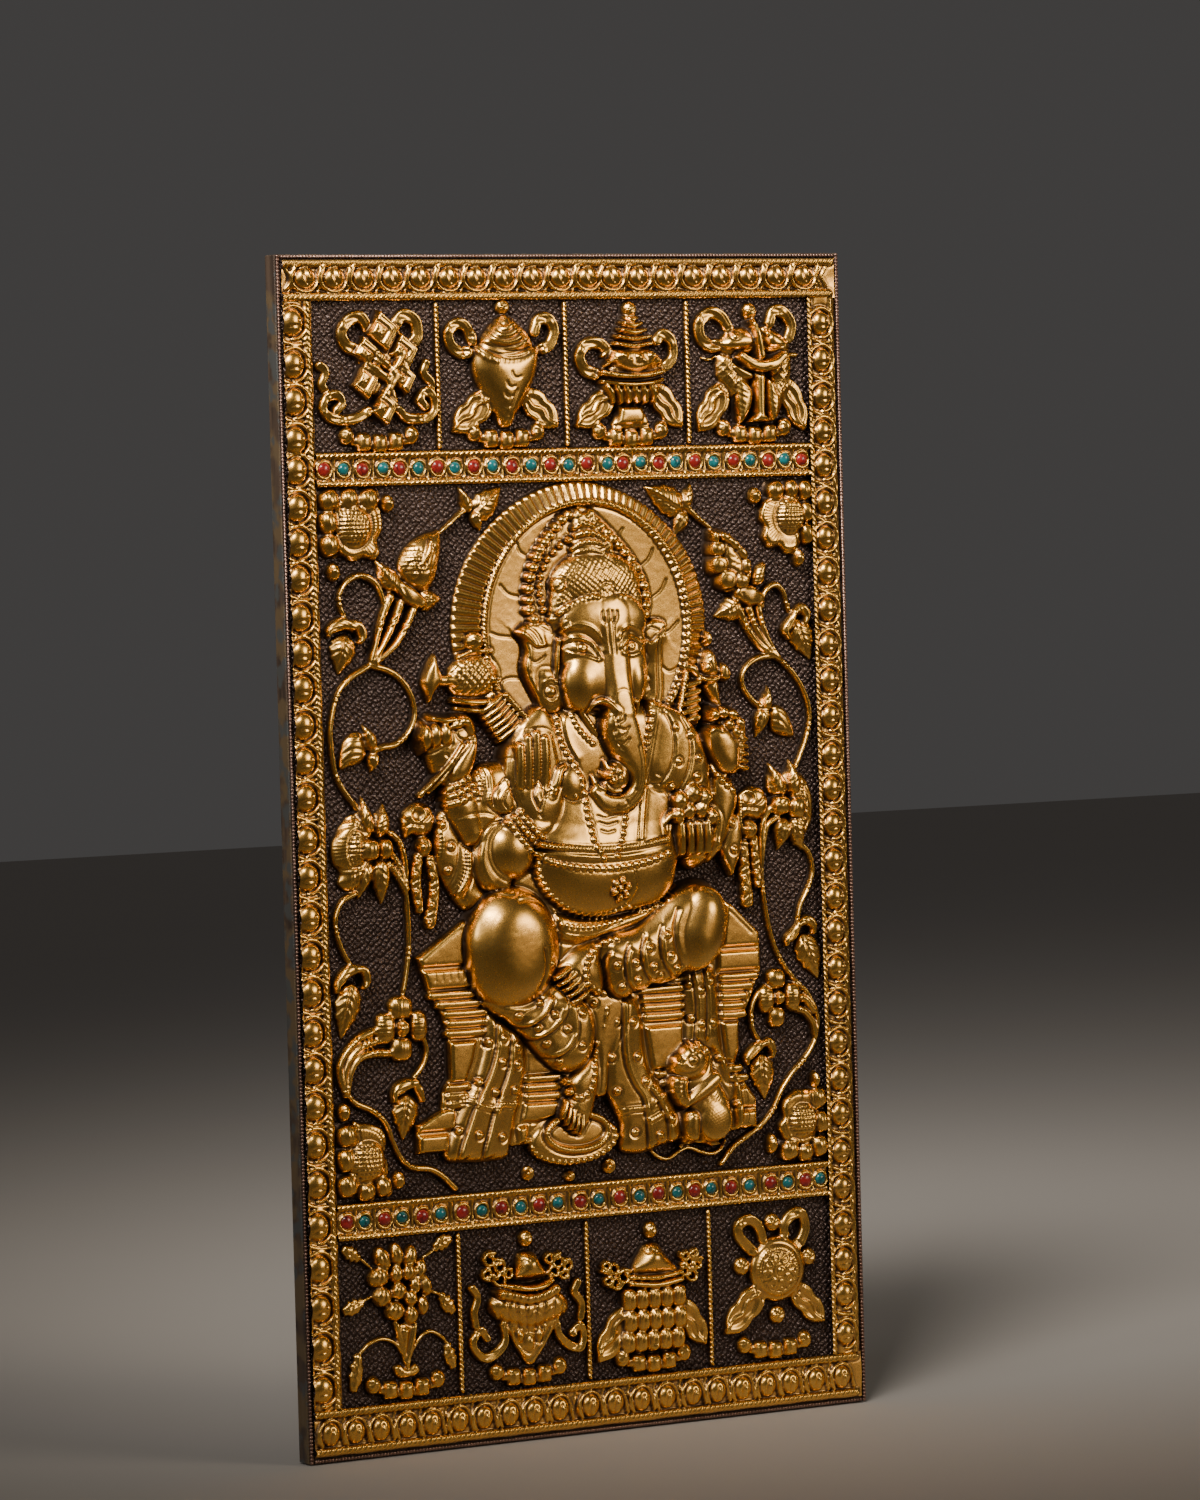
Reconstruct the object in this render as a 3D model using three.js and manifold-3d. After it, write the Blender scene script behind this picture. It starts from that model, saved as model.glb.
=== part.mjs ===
// A hammered brass wall plaque: an elephant-headed seated figure in high relief, framed by
// a bossed border, two bands of set stones and eight small symbols, on a flat wooden board.
// Millimetres, +Z up, the face looks along -Y, and the origin is the centre of the board's back.
import * as THREE from 'three';
import Module from 'manifold-3d';

const wasm = await Module();
wasm.setup();
const { Manifold, Mesh } = wasm;

// Board, sheet and wire
const WIRE_SPAN_X = 392;
const WIRE_SPAN_Z = 720;
const WIRE_R = 1.5;
const WIRE_SIDES = 8;
const GAP = 0.3;
const BOARD_THICK = 12;
const BOARD_MARGIN = 1.5;
const SHEET_THICK = 1;
const GROUND = BOARD_THICK + SHEET_THICK;
const BURY = 2;
const PLATE_EDGE = 0.6;

// Places on the relief are read on the face at the angle it is seen from: a point
// h above the ground is read LEAN * h too far to the right.
const LEAN = 0.577;
const READ_LEVEL = 1;

// Border
const BORDER_H = 1.5;
const ROPE_H = 3.6;
const ROPE_W = 4;
const BOSS_H = 7;
const BOSS_SIDES = 5;
const FRAME = { left: -195, right: 192.5, top: 358.5, bottom: -357 };
const STRIP = { left: -175.3, right: 171.8, top: 334, bottom: -330 };
const BOSSES = { side: 29, top: 19, bottom: 21 };

// Bands of stones
const STONE_H = 5.4;
const STONE_SIDES = 6;
const CORAL_R = 3.9;
const TURQUOISE_R = 3.5;
const BEZEL_H = 3;
const UPPER_BAND = { z: 233, low: 224.6, high: 241.4, first: -169, last: 166.5, count: 27 };
const LOWER_BAND = { z: -218, low: -227, high: -208.6, first: -168, last: 167, count: 26 };

const COLOURS = {
  brass: new THREE.MeshStandardMaterial({ color: 0xc08a35, roughness: 0.3, metalness: 1 }),
  board: new THREE.MeshStandardMaterial({ color: 0x4a3a30, roughness: 0.7, metalness: 0.1 }),
  wire: new THREE.MeshStandardMaterial({ color: 0x6b4a3a, roughness: 0.45, metalness: 1 }),
  coral: new THREE.MeshStandardMaterial({ color: 0xa82a2e, roughness: 0.35, metalness: 0 }),
  turquoise: new THREE.MeshStandardMaterial({ color: 0x1f7f88, roughness: 0.35, metalness: 0 }),
};

function signedVolume(verts, tris) {
  let sum = 0;
  for (const [a, b, c] of tris) {
    const [ax, ay, az] = verts[a];
    const [bx, by, bz] = verts[b];
    const [cx, cy, cz] = verts[c];
    sum += ax * (by * cz - bz * cy) + ay * (bz * cx - bx * cz) + az * (bx * cy - by * cx);
  }
  return sum / 6;
}

function solid(verts, tris) {
  const outward = signedVolume(verts, tris) > 0;
  const order = outward ? tris : tris.map(([a, b, c]) => [a, c, b]);
  return new Manifold(new Mesh({
    numProp: 3,
    vertProperties: new Float32Array(verts.flat()),
    triVerts: new Uint32Array(order.flat()),
  }));
}

// The point of the relief at x, z and h above the ground
function raised(x, z, h) {
  return [x, -(GROUND + h), z];
}

// A form on the flat ground starts at it; one on a shaped surface starts a little inside
function rootOf(level) {
  return level === 0 ? 0 : level - BURY;
}

// How far a form of half width r, rising from level to h, is set back to the left
function setBack(r, h, level) {
  const swell = Math.hypot(r, LEAN * (h - level)) - r;
  return LEAN * (level - READ_LEVEL) + swell / 2;
}

function middle(points) {
  const sum = points.reduce((acc, p) => [acc[0] + p[0], acc[1] + p[1]], [0, 0]);
  return [sum[0] / points.length, sum[1] / points.length];
}

// A closed body of stacked rings of equal length, each { points: [[x, z], ...], h } or, with
// heights, one for each point. It ends in a point at peakH, or flat where that is left out.
function stack(rings, peakH) {
  const n = rings[0].points.length;
  const verts = [];
  const tris = [];
  for (const ring of rings) {
    ring.points.forEach(([x, z], i) => {
      const h = ring.heights ? ring.heights[i] : ring.h;
      verts.push(raised(x, z, h));
    });
  }
  for (let k = 0; k + 1 < rings.length; k += 1) {
    for (let i = 0; i < n; i += 1) {
      const a = k * n + i;
      const b = k * n + ((i + 1) % n);
      tris.push([a, b, b + n], [a, b + n, a + n]);
    }
  }
  const last = (rings.length - 1) * n;
  for (let i = 1; i + 1 < n; i += 1) {
    tris.push([0, i + 1, i]);
    if (peakH === undefined) tris.push([last, last + i, last + i + 1]);
  }
  if (peakH !== undefined) {
    const peak = verts.push(raised(...middle(rings[rings.length - 1].points), peakH)) - 1;
    for (let i = 0; i < n; i += 1) tris.push([peak, last + i, last + ((i + 1) % n)]);
  }
  return solid(verts, tris);
}

function ellipse(cx, cz, rx, rz, sides, turn = 0) {
  const points = [];
  for (let i = 0; i < sides; i += 1) {
    const a = (2 * Math.PI * (i + 0.5)) / sides;
    const u = rx * Math.cos(a);
    const v = rz * Math.sin(a);
    const dx = u * Math.cos(turn) - v * Math.sin(turn);
    const dz = u * Math.sin(turn) + v * Math.cos(turn);
    points.push([cx + dx, cz + dz]);
  }
  return points;
}

// A rounded boss read at x, z: radii rx and rz, top at h, standing on a surface at level
function dome(x, z, rx, rz, h, { level = 0, sides = 6, rings = 1, root = rootOf(level) } = {}) {
  const back = setBack(rx, h, level);
  const cx = x - back;
  const wide = rx - (back - LEAN * (level - READ_LEVEL)) * 0.5;
  const layers = [{ points: ellipse(cx, z, wide, rz, sides), h: root }];
  for (let k = 1; k <= rings; k += 1) {
    const a = (k / (rings + 1)) * (Math.PI / 2);
    const s = Math.cos(a);
    layers.push({
      points: ellipse(cx, z, wide * s, rz * s, sides),
      h: level + (h - level) * Math.sin(a),
    });
  }
  return stack(layers, h);
}

// A swelling form with its own outline, read in place, rounded in by edge
function swell(outline, h, { level = 0, edge = 0.25, crown = 0.12 } = {}) {
  const [cx, cz] = middle(outline);
  const reach = Math.max(...outline.map((p) => Math.abs(p[0] - cx)));
  const back = setBack(reach, h, level);
  const scaled = (s) => outline.map(([x, z]) => [cx + (x - cx) * s - back, cz + (z - cz) * s]);
  const rise = h - level;
  return stack([
    { points: scaled(1), h: rootOf(level) },
    { points: scaled(1 - edge), h: level + rise * (1 - crown) },
  ], crown === 0 ? undefined : h);
}

const FOLDED = [[-1, 0], [0, 1], [1, 0]];
const ROUNDED = [[-1, 0], [-0.5, 0.92], [0.5, 0.92], [1, 0]];

// A long rounded form along points [x, z, width, h], each read in place
function limb(points, { level = 0, profile = FOLDED } = {}) {
  const m = profile.length;
  const verts = [];
  const tris = [];
  points.forEach(([x, z, width, h], i) => {
    const before = points[Math.max(i - 1, 0)];
    const after = points[Math.min(i + 1, points.length - 1)];
    const length = Math.hypot(after[0] - before[0], after[1] - before[1]);
    const nx = (after[1] - before[1]) / length;
    const nz = -(after[0] - before[0]) / length;
    const cx = x - setBack(width / 2, h, level);
    for (const [side, up] of profile) {
      const height = up === 0 ? rootOf(level) : level + (h - level) * up;
      verts.push(raised(cx + (nx * side * width) / 2, z + (nz * side * width) / 2, height));
    }
  });
  for (let i = 0; i + 1 < points.length; i += 1) {
    for (let k = 0; k < m; k += 1) {
      const a = i * m + k;
      const b = i * m + ((k + 1) % m);
      tris.push([a, b, b + m], [a, b + m, a + m]);
    }
  }
  const end = (points.length - 1) * m;
  for (let k = 1; k + 1 < m; k += 1) {
    tris.push([0, k + 1, k], [end, end + k, end + k + 1]);
  }
  return solid(verts, tris);
}

// A plain twisted rope is a low ridge of even width here
function rope(x0, z0, x1, z1, width = ROPE_W, h = ROPE_H) {
  return limb([[x0, z0, width, h], [x1, z1, width, h]]);
}

// A leaf from stem to tip, swelling to a peak near its middle
function leaf(x0, z0, x1, z1, width, h, level = 0) {
  const back = setBack(width / 2, h, level);
  const length = Math.hypot(x1 - x0, z1 - z0);
  const [ux, uz] = [(x1 - x0) / length, (z1 - z0) / length];
  const at = (along, across) => [x0 + ux * along + uz * across - back, z0 + uz * along - ux * across];
  const outline = [at(0, 0), at(length * 0.45, width / 2), at(length, 0), at(length * 0.45, -width / 2)];
  return stack([{ points: outline, h: rootOf(level) }], h);
}

// A low flat strip on the ground, with sloping edges
function plate(x0, x1, z0, z1, h) {
  const ring = (inset, up) => ({
    points: [
      [x0 + inset, z0 + inset],
      [x1 - inset, z0 + inset],
      [x1 - inset, z1 - inset],
      [x0 + inset, z1 - inset],
    ].map(([x, z]) => [x + LEAN * READ_LEVEL, z]),
    h: up,
  });
  return stack([ring(0, 0), ring(PLATE_EDGE, h)]);
}

function spread(first, last, count) {
  return Array.from({ length: count }, (_, i) => first + ((last - first) * i) / (count - 1));
}

// One stud of the border; neighbours keep clear of the ropes beside them
function boss(x, z, rx, rz) {
  return dome(x, z, rx, rz, BOSS_H, { level: BORDER_H, root: BORDER_H, sides: BOSS_SIDES, rings: 0 });
}

// The raised strips of the border, with their ropes and bosses
function border() {
  const { left, right, top, bottom } = FRAME;
  const parts = [
    plate(left, right, STRIP.top, top, BORDER_H),
    plate(left, right, bottom, STRIP.bottom, BORDER_H),
    plate(left, STRIP.left, STRIP.bottom - 1, STRIP.top + 1, BORDER_H),
    plate(STRIP.right, right, STRIP.bottom - 1, STRIP.top + 1, BORDER_H),
    rope(left + 1, 356, right - 2, 356),
    rope(left + 2, 336, right - 3, 336),
    rope(left + 2, -332, right - 3, -332),
    rope(left + 3, -355, right - 3, -355),
    rope(left + 1.8, 333, left + 1.8, -329, 2.6),
    rope(-177.3, 333, -177.3, -329),
    rope(174.6, 333, 174.6, -329),
    rope(190.4, 333, 190.4, -329, 2.6),
  ];
  for (const z of spread(320.5, -317, BOSSES.side)) {
    parts.push(boss(-185.5, z, 6.2, 8.5), boss(183.6, z - 1, 6, 8));
  }
  for (const x of spread(-178.5, 171, BOSSES.top)) {
    parts.push(boss(x, 346, 8, 7));
  }
  for (const x of spread(-183, 179, BOSSES.bottom)) {
    parts.push(boss(x, -343.5, 7, 8));
  }
  return parts;
}

function band({ low, high }) {
  const ends = [STRIP.left - 0.5, STRIP.right + 0.5];
  return [
    plate(ends[0], ends[1], low, high, BEZEL_H),
    rope(ends[0], low, ends[1], low),
    rope(ends[0], high, ends[1], high),
  ];
}

// The twisted rods between the small symbols
function dividers() {
  const upper = [-90, -1.5, 85].map((x) => rope(x, 331, x, 246, 3.6, 3.4));
  const lower = [-93, -3, 84.5].map((x) => rope(x, -232, x, -327, 3.6, 3.4));
  return [...upper, ...lower];
}

// A flat ribbon bent into an open loop
function loop(points, width = 5.6, h = 4.5) {
  return limb(points.map(([x, z]) => [x, z, width, h]));
}

// The row of five pads under each symbol
function pads(cx, z) {
  const offsets = [[-23, 3.5], [-12.5, -0.5], [-1.5, -1.5], [10, -0.5], [21, 3.5]];
  return offsets.map(([dx, dz]) => dome(cx + dx, z + dz, 6, 6, 5.5, { sides: 4, rings: 0 }));
}

// A raised square standing on one corner
function knotSquare(x, z, half) {
  return stack([
    { points: ellipse(x, z, half, half, 4, Math.PI / 4), h: 0 },
    { points: ellipse(x, z, half * 0.8, half * 0.8, 4, Math.PI / 4), h: 5.3 },
  ]);
}

function endlessKnot() {
  return [
    knotSquare(-128, 315.5, 11),
    knotSquare(-139, 300, 9),
    knotSquare(-114, 302, 9),
    knotSquare(-139, 285, 9),
    knotSquare(-115, 287, 8),
    knotSquare(-127, 270, 11),
    knotSquare(-127, 293, 8),
    loop([[-139, 320], [-146, 324], [-156, 318], [-155, 309], [-147, 306]]),
    loop([[-121, 322], [-113, 325.5], [-105, 319], [-107.5, 308]]),
    loop([[-170, 294], [-169, 281]], 5, 4),
    loop([[-158, 273], [-166, 275], [-168, 266], [-155, 262.5], [-140, 267]], 5.4),
    loop([[-100, 296], [-95.5, 282]], 5, 4),
    loop([[-106, 273], [-98, 275.5], [-96, 266], [-107, 262.5], [-118, 265]], 5.4),
    ...pads(-131.5, 249.5),
  ];
}

function conch() {
  return [
    dome(-45.5, 329, 4.5, 4, 7),
    swell([[-45, 324], [-32, 317], [-23, 304.5], [-45, 301], [-62, 305], [-56, 317]], 9),
    swell([[-66, 301], [-63, 281], [-48, 257.5], [-40, 257.5], [-26, 279], [-22, 300]], 10),
    loop([[-70, 312], [-76, 319.5], [-84, 314], [-80, 305], [-71, 302.5]]),
    loop([[-24, 317], [-17, 322], [-11, 314], [-15, 306], [-20, 303]]),
    leaf(-57, 274, -82, 254, 17, 5),
    leaf(-27, 276, -8, 256, 16, 5),
    ...pads(-44.5, 250),
  ];
}

function vase() {
  return [
    dome(44, 327, 5, 5, 8),
    swell([[40, 320], [48, 320], [58, 302], [32, 302]], 8),
    swell([[24, 290], [32, 301], [58, 301], [66, 290], [64, 285], [26, 285]], 9),
    swell([[25, 284], [65, 284], [54, 270], [35, 270]], 9),
    swell([[35, 268], [51, 268], [58, 256], [28, 256]], 6),
    loop([[26, 303], [16, 307], [8, 299], [11, 292], [18, 288]]),
    loop([[63, 308], [71, 311.5], [75, 302], [68, 291]]),
    leaf(29, 274, 6, 257, 15, 5),
    leaf(62, 279, 80, 256, 15, 5),
    ...pads(43, 249.5),
  ];
}

function twoFish() {
  return [
    dome(130, 325, 5, 5, 8),
    swell([[107, 306], [116, 316], [134, 313], [136, 303], [126, 298], [110, 299]], 9),
    swell([[138, 313], [148, 314], [158, 301], [146, 299]], 8),
    limb([[133, 317, 7, 10], [138, 298, 7, 11]]),
    limb([[121, 297, 6, 10], [135, 293, 8, 12], [151, 298, 6, 10]]),
    limb([[108, 298, 10, 8], [112, 284, 16, 9], [124, 268, 12, 7], [120, 257, 6, 4]]),
    limb([[155, 297, 8, 8], [153, 282, 15, 8], [143, 265, 10, 6], [148, 259, 6, 4]]),
    limb([[136, 291, 10, 8], [135, 257, 16, 5]]),
    loop([[112, 316], [103, 324], [93, 317], [96, 308], [104, 304]]),
    loop([[145, 319], [152, 325], [161, 318], [156, 306]]),
    leaf(106, 279, 92, 253, 17, 5),
    leaf(158, 281, 168, 252, 14, 5),
    ...pads(132, 250),
  ];
}

function lotusPlant() {
  const blooms = [
    [-146, -241], [-136, -239], [-126, -241],
    [-149, -252], [-137, -251], [-122, -251],
    [-145, -264], [-133, -263], [-119, -263],
    [-139, -275], [-127, -276],
  ];
  const stem = (points) => limb(points.map(([x, z, w]) => [x, z, w, 3.5]));
  return [
    ...blooms.map(([x, z]) => dome(x, z, 5.8, 5.8, 8, { sides: 5, rings: 0 })),
    swell([[-142, -281], [-125, -281], [-123, -290], [-131, -308], [-139, -292]], 6),
    stem([[-136, -296, 4], [-152, -291, 3], [-165, -303, 3]]),
    stem([[-127, -296, 4], [-113, -289, 3], [-102, -300, 3]]),
    leaf(-152, -249, -172, -235, 10, 4),
    leaf(-119, -246, -99, -234, 9, 4),
    leaf(-151, -263, -172, -274, 9, 4),
    leaf(-113, -264, -97, -279, 10, 4),
    leaf(-163, -298, -168, -321, 10, 4),
    leaf(-104, -296, -98, -313, 9, 4),
    ...pads(-131.5, -321),
  ];
}

function parasol() {
  return [
    dome(-47, -238, 5, 5, 8),
    swell([[-52, -247], [-41, -247], [-27, -268], [-46, -272], [-63, -268]], 9),
    swell([[-74, -273], [-60, -266], [-32, -267], [-18, -276], [-20, -287], [-46, -294], [-72, -286]], 10),
    swell([[-60, -293], [-32, -293], [-35, -306], [-45, -314], [-56, -306]], 5),
    dome(-68, -253, 6, 6, 6, { sides: 5, rings: 0 }),
    dome(-27, -253, 6, 6, 6, { sides: 5, rings: 0 }),
    loop([[-64, -292], [-67, -304], [-78, -308], [-84, -298], [-78, -292]], 6),
    loop([[-27, -292], [-21, -304], [-12, -306], [-9, -297], [-15, -296]], 6),
    loop([[-85, -266], [-84, -286]], 4.6, 4),
    loop([[-13, -268], [-9, -288]], 4.6, 4),
    ...pads(-46.5, -321),
  ];
}

function banner() {
  return [
    dome(41, -239, 5, 5, 8),
    swell([[37, -248], [46, -248], [61, -266], [62, -273], [26, -273], [26, -265]], 9),
    swell([[21, -275], [64, -275], [63, -285], [22, -285]], 8, { edge: 0.15 }),
    swell([[23, -287], [64, -287], [64, -298], [24, -298]], 8, { edge: 0.15 }),
    swell([[20, -300], [63, -300], [62, -311], [22, -311]], 8, { edge: 0.15 }),
    dome(14, -263, 6.5, 7, 6, { rings: 0 }),
    dome(70, -262, 6.5, 7, 6, { rings: 0 }),
    leaf(20, -289, 2, -318, 15, 5),
    leaf(65, -289, 79, -314, 14, 5),
    ...pads(42, -321),
  ];
}

function wheel() {
  return [
    dome(132, -271.5, 19, 20, 8, { sides: 10 }),
    dome(137, -272, 4, 4, 11, { level: 6, rings: 0 }),
    dome(130.5, -242, 5, 5.5, 7, { rings: 0 }),
    dome(106.5, -268, 5.5, 5.5, 7, { rings: 0 }),
    dome(155.5, -266, 5, 5.5, 7, { rings: 0 }),
    dome(132, -300, 5.5, 5.8, 7, { rings: 0 }),
    loop([[122, -249], [114, -240], [105, -245], [110, -255], [116, -259]], 5.4),
    loop([[139, -247], [148, -238], [153.5, -245], [147, -257]], 5.4),
    leaf(117, -286, 95, -308, 17, 5),
    leaf(147, -286, 166, -307, 15, 5),
    ...pads(130, -321),
  ];
}

// The rayed halo: flutes rise inwards to a rope ring, round a shallow disc
function halo() {
  const centre = [3.5, 133];
  const points = 44;
  const ring = (rx, rz, crestH, valleyH) => ({
    points: ellipse(...centre, rx, rz, points),
    heights: Array.from({ length: points }, (_, i) => (i % 2 === 0 ? crestH : valleyH)),
  });
  return [
    stack([ring(90, 90, 0, 0), ring(88.5, 88.5, 3, 1), ring(71, 78, 8.6, 7.2), ring(66, 73, 4, 4)]),
  ];
}

// Corner lotus: a stippled seed head in a petal ring, with round buds along the two edges
function cornerLotus(sx, sz, cx, cz) {
  const at = (dx, dz) => [cx + sx * dx, cz + sz * dz];
  const buds = [[-17, 15], [-17, 1], [-17, -13], [-2, 17], [11, 16], [-15, -28], [24, 12]];
  return [
    dome(...at(3, -3), 13, 13, 6.5, { sides: 8 }),
    ...buds.map(([dx, dz]) => dome(...at(dx, dz), 5.5, 5.5, 7, { sides: 5, rings: 0 })),
  ];
}

function cornerLotuses() {
  return [
    ...cornerLotus(1, 1, -151, 198),
    ...cornerLotus(-1, 1, 152, 199),
    ...cornerLotus(1, -1, -151, -182),
    ...cornerLotus(-1, -1, 152, -182),
  ];
}

function vine(points, h = 4) {
  return limb(points.map(([x, z, w = 4]) => [x, z, w, h]));
}

// A flower of four round petals about a button
function rosette(x, z, r, petals, petalR) {
  return [
    dome(x, z, r, r, 9, { rings: 0 }),
    ...petals.map(([px, pz]) => dome(px, pz, petalR, petalR, 7, { rings: 0 })),
  ];
}

function leftVine() {
  return [
    leaf(-66, 204, -50, 219, 13, 5),
    vine([[-72, 208, 7], [-93, 194, 3]]),
    swell([[-94, 193], [-113, 190], [-122, 172], [-113, 161], [-101, 161], [-92, 176]], 10),
    leaf(-122, 161, -134, 177, 9, 5),
    leaf(-109, 153, -94, 153, 9, 5),
    limb([[-116, 157, 14, 4.5], [-131, 131, 13, 4.5], [-146, 113, 4, 3.6]]),
    vine([[-133, 136], [-131, 154], [-146, 168], [-160, 158], [-157, 141]]),
    leaf(-154, 142, -171, 136, 9, 4.5),
    leaf(-157, 134, -163, 112, 14, 4.5),
    vine([[-144, 114], [-162, 101], [-169.5, 76], [-167, 46], [-156, 30]]),
    vine([[-144, 114], [-128, 109], [-114, 86], [-128, 66], [-143, 66]]),
    leaf(-145, 66, -166, 56, 17, 5),
    leaf(-141, 62, -146, 79, 8, 5),
    swell([[-153, 26], [-172, 12], [-170, -8], [-153, -18], [-143, -10], [-143, 16]], 8),
    dome(-146, 5, 7, 6, 11, { level: 6, rings: 0 }),
    leaf(-145, 16, -150, 35, 10, 6),
    leaf(-141, 13, -136, 30, 10, 6),
    leaf(-145, -6, -153, -22, 10, 6),
    leaf(-140, -2, -139, -26, 11, 6),
    limb([[-131, 14, 6, 4], [-123, -12, 9, 4], [-122, -40, 5, 4], [-127, -84, 5, 4]]),
    vine([[-160, -22], [-170, -42], [-160, -68]]),
    leaf(-154, -72, -172, -75, 9, 4.5),
    leaf(-163, -77, -168, -106, 15, 4.5),
    ...rosette(-127.5, -103, 7, [[-128, -90], [-139, -103], [-117, -103], [-129, -116]], 8),
    limb([
      [-143, -106, 10, 4], [-160, -111, 13, 4.5], [-168, -132, 6, 4], [-142, -158, 4, 4],
      [-128, -185, 4, 4], [-112, -189, 4, 4], [-97, -201, 3, 3],
    ]),
    vine([[-114, -111], [-112, -122], [-121, -136]]),
    leaf(-117, -140, -132, -142, 8, 4.5),
    leaf(-125, -144, -129, -170, 14, 4.5),
  ];
}

function rightVine() {
  return [
    leaf(79, 202, 54, 216, 14, 5),
    leaf(76, 191, 82, 218, 8, 5),
    vine([[82, 205, 7], [99, 190, 3]]),
    swell([[99, 191], [112, 188], [127, 168], [118, 152], [104, 154], [99, 168]], 10),
    leaf(128, 156, 137, 169, 11, 5),
    leaf(117, 144, 101, 139, 10, 5),
    limb([[122, 149, 13, 4.5], [131, 128, 13, 4.5], [148, 107, 4, 3.6]]),
    vine([[136, 126], [134, 146], [145, 153], [155, 136]]),
    dome(162, 137, 5, 5, 5, { rings: 0 }),
    dome(152, 127, 5.5, 6, 5, { rings: 0 }),
    leaf(157, 132, 167, 110, 14, 4.5),
    vine([[148, 107], [163, 93], [166, 68], [157, 42]]),
    vine([[140, 112], [121, 106], [118, 88], [133, 76]]),
    leaf(136, 91, 128, 62, 8, 5),
    leaf(137, 72, 155, 64, 18, 5),
    swell([[152, 38], [160, 36], [168, 15], [160, -5], [151, -8], [147, 15]], 7),
    leaf(144, 24, 137, 42, 10, 6),
    leaf(151, 24, 153, 43, 10, 6),
    dome(156, 16, 7, 6, 10, { level: 5, rings: 0 }),
    leaf(144, 8, 141, -8, 8, 6),
    limb([
      [142, 16, 8, 4], [130, 6, 9, 4], [129, -30, 5, 4], [136, -72, 4, 4], [150, -92, 5, 4], [166, -116, 8, 4],
      [155, -143, 5, 4], [137, -163, 4, 4], [127, -180, 4, 4], [110, -189, 4, 4], [96, -202, 4, 3.4],
    ]),
    vine([[159, -6], [165, -22], [153, -58]]),
    leaf(146, -66, 166, -55, 8, 4.5),
    leaf(157, -64, 167, -91, 15, 4.5),
    vine([[147, -108, 8], [163, -118, 6]]),
    ...rosette(138.5, -102, 6, [[137, -90], [128, -103], [148, -102], [137, -114]], 7),
    vine([[127, -94], [119, -110], [124, -130]]),
    leaf(114, -144, 133, -131, 9, 4.5),
    leaf(125, -138, 128, -164, 13, 4.5),
  ];
}

// The stepped throne that the figure sits on
function throne() {
  const h = 6;
  const slabs = [
    [[-117, -61], [-84, -41], [-84, -68], [-112, -68]],
    [[-116, -70], [-80, -70], [-80, -81], [-112, -81]],
    [[-121, -162], [-104, -155], [-90, -153], [-90, -167], [-119, -167]],
    [[-121, -169], [-97, -169], [-97, -180], [-121, -180]],
    [[104, -41], [126, -60], [126, -68], [100, -68]],
    [[96, -70], [126, -70], [126, -83], [96, -83]],
    [[95, -114], [110, -114], [106, -140], [99, -138]],
    [[112, -155], [121, -165], [121, -168], [112, -168]],
    [[112, -170], [121, -170], [121, -181], [112, -181]],
  ];
  const treads = [
    [-111, -70, -85.5], [-106, -70, -91.5], [-100, -74, -97.5], [-97, -76, -103], [-100, -78, -108.5],
    [-101, -86, -142], [-100, -88, -147],
    [96, 121, -87], [96, 117, -93], [96, 113, -99], [97, 111, -105], [97, 112, -110],
    [38, 68, -94], [39, 68, -101], [40, 68, -108], [46, 62, -144],
    [-44, -18, -141], [-44, -18, -147], [-44, -20, -152],
  ];
  return [
    ...slabs.map((outline) => swell(outline, h + 1, { edge: 0.12, crown: 0 })),
    ...treads.map(([x0, x1, z]) => plate(x0, x1, z - 2, z + 2, h)),
    plate(-97, -78, -138, -113, h),
    plate(42, 68, -140, -114, h),
    plate(-46, -21, -165, -155, h),
  ];
}

function scarves() {
  const fold = (points, h = 9) => limb(points.map(([x, z, w]) => [x, z, w, h]));
  return [
    fold([[-68, -98, 8], [-75, -135, 13], [-92, -165, 16], [-95, -185, 15]]),
    fold([[-57, -103, 8], [-62, -135, 13], [-76, -168, 15], [-79, -187, 15]]),
    fold([[-48, -110, 7], [-48, -138, 11], [-59, -168, 14], [-63, -187, 14]]),
    fold([[20, -92, 9], [19, -125, 17], [24, -160, 18], [32, -190, 20]]),
    fold([[32, -94, 8], [37, -122, 13], [48, -155, 14], [54, -188, 16]]),
    fold([[74, -80, 10], [71, -127, 12]], 11),
    fold([[85, -80, 9], [80, -127, 9]], 11),
    fold([[93, -80, 8], [93, -128, 9], [108, -152, 7], [108, -180, 7]]),
  ];
}

function legs() {
  const swag = (points, h) => limb(points.map(([x, z, w]) => [x, z, w, h]));
  return [
    swell([[-30, -24], [20, -44], [66, -34], [66, -80], [20, -96], [-30, -96]], 12, { edge: 0.1, crown: 0 }),
    dome(-51, -59.5, 29.5, 38, 26, { sides: 10, rings: 2 }),
    swag([[-64, -94, 7], [-42, -102, 14], [-18, -84, 10]], 15),
    swag([[-50, -110, 6], [-28, -108, 16], [-9, -88, 9]], 16),
    swag([[-42, -119, 5], [-19, -119, 16], [-1, -96, 10]], 16),
    swag([[-28, -132, 5], [-5, -128, 15], [2, -98, 10]], 16),
    dome(84, -58, 21.5, 24, 24, { sides: 8, rings: 2 }),
    swag([[20, -64, 9], [19, -80, 13], [26, -94, 8]], 15),
    swag([[34, -58, 9], [33, -75, 14], [40, -91, 8]], 16),
    swag([[47, -54, 9], [46, -71, 14], [53, -89, 8]], 17),
    swag([[60, -50, 9], [58, -67, 14], [67, -86, 8]], 18),
    limb([[13, -64, 20, 14], [-4, -78, 20, 16], [-17, -89, 9, 12]], { level: 4 }),
    limb([[4, -136, 14, 11], [-5, -158, 19, 13], [-12, -177, 12, 9]]),
    swell(ellipse(-9, -178.5, 31.5, 16.5, 12), 7, { edge: 0.2, crown: 0.05 }),
  ];
}

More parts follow.
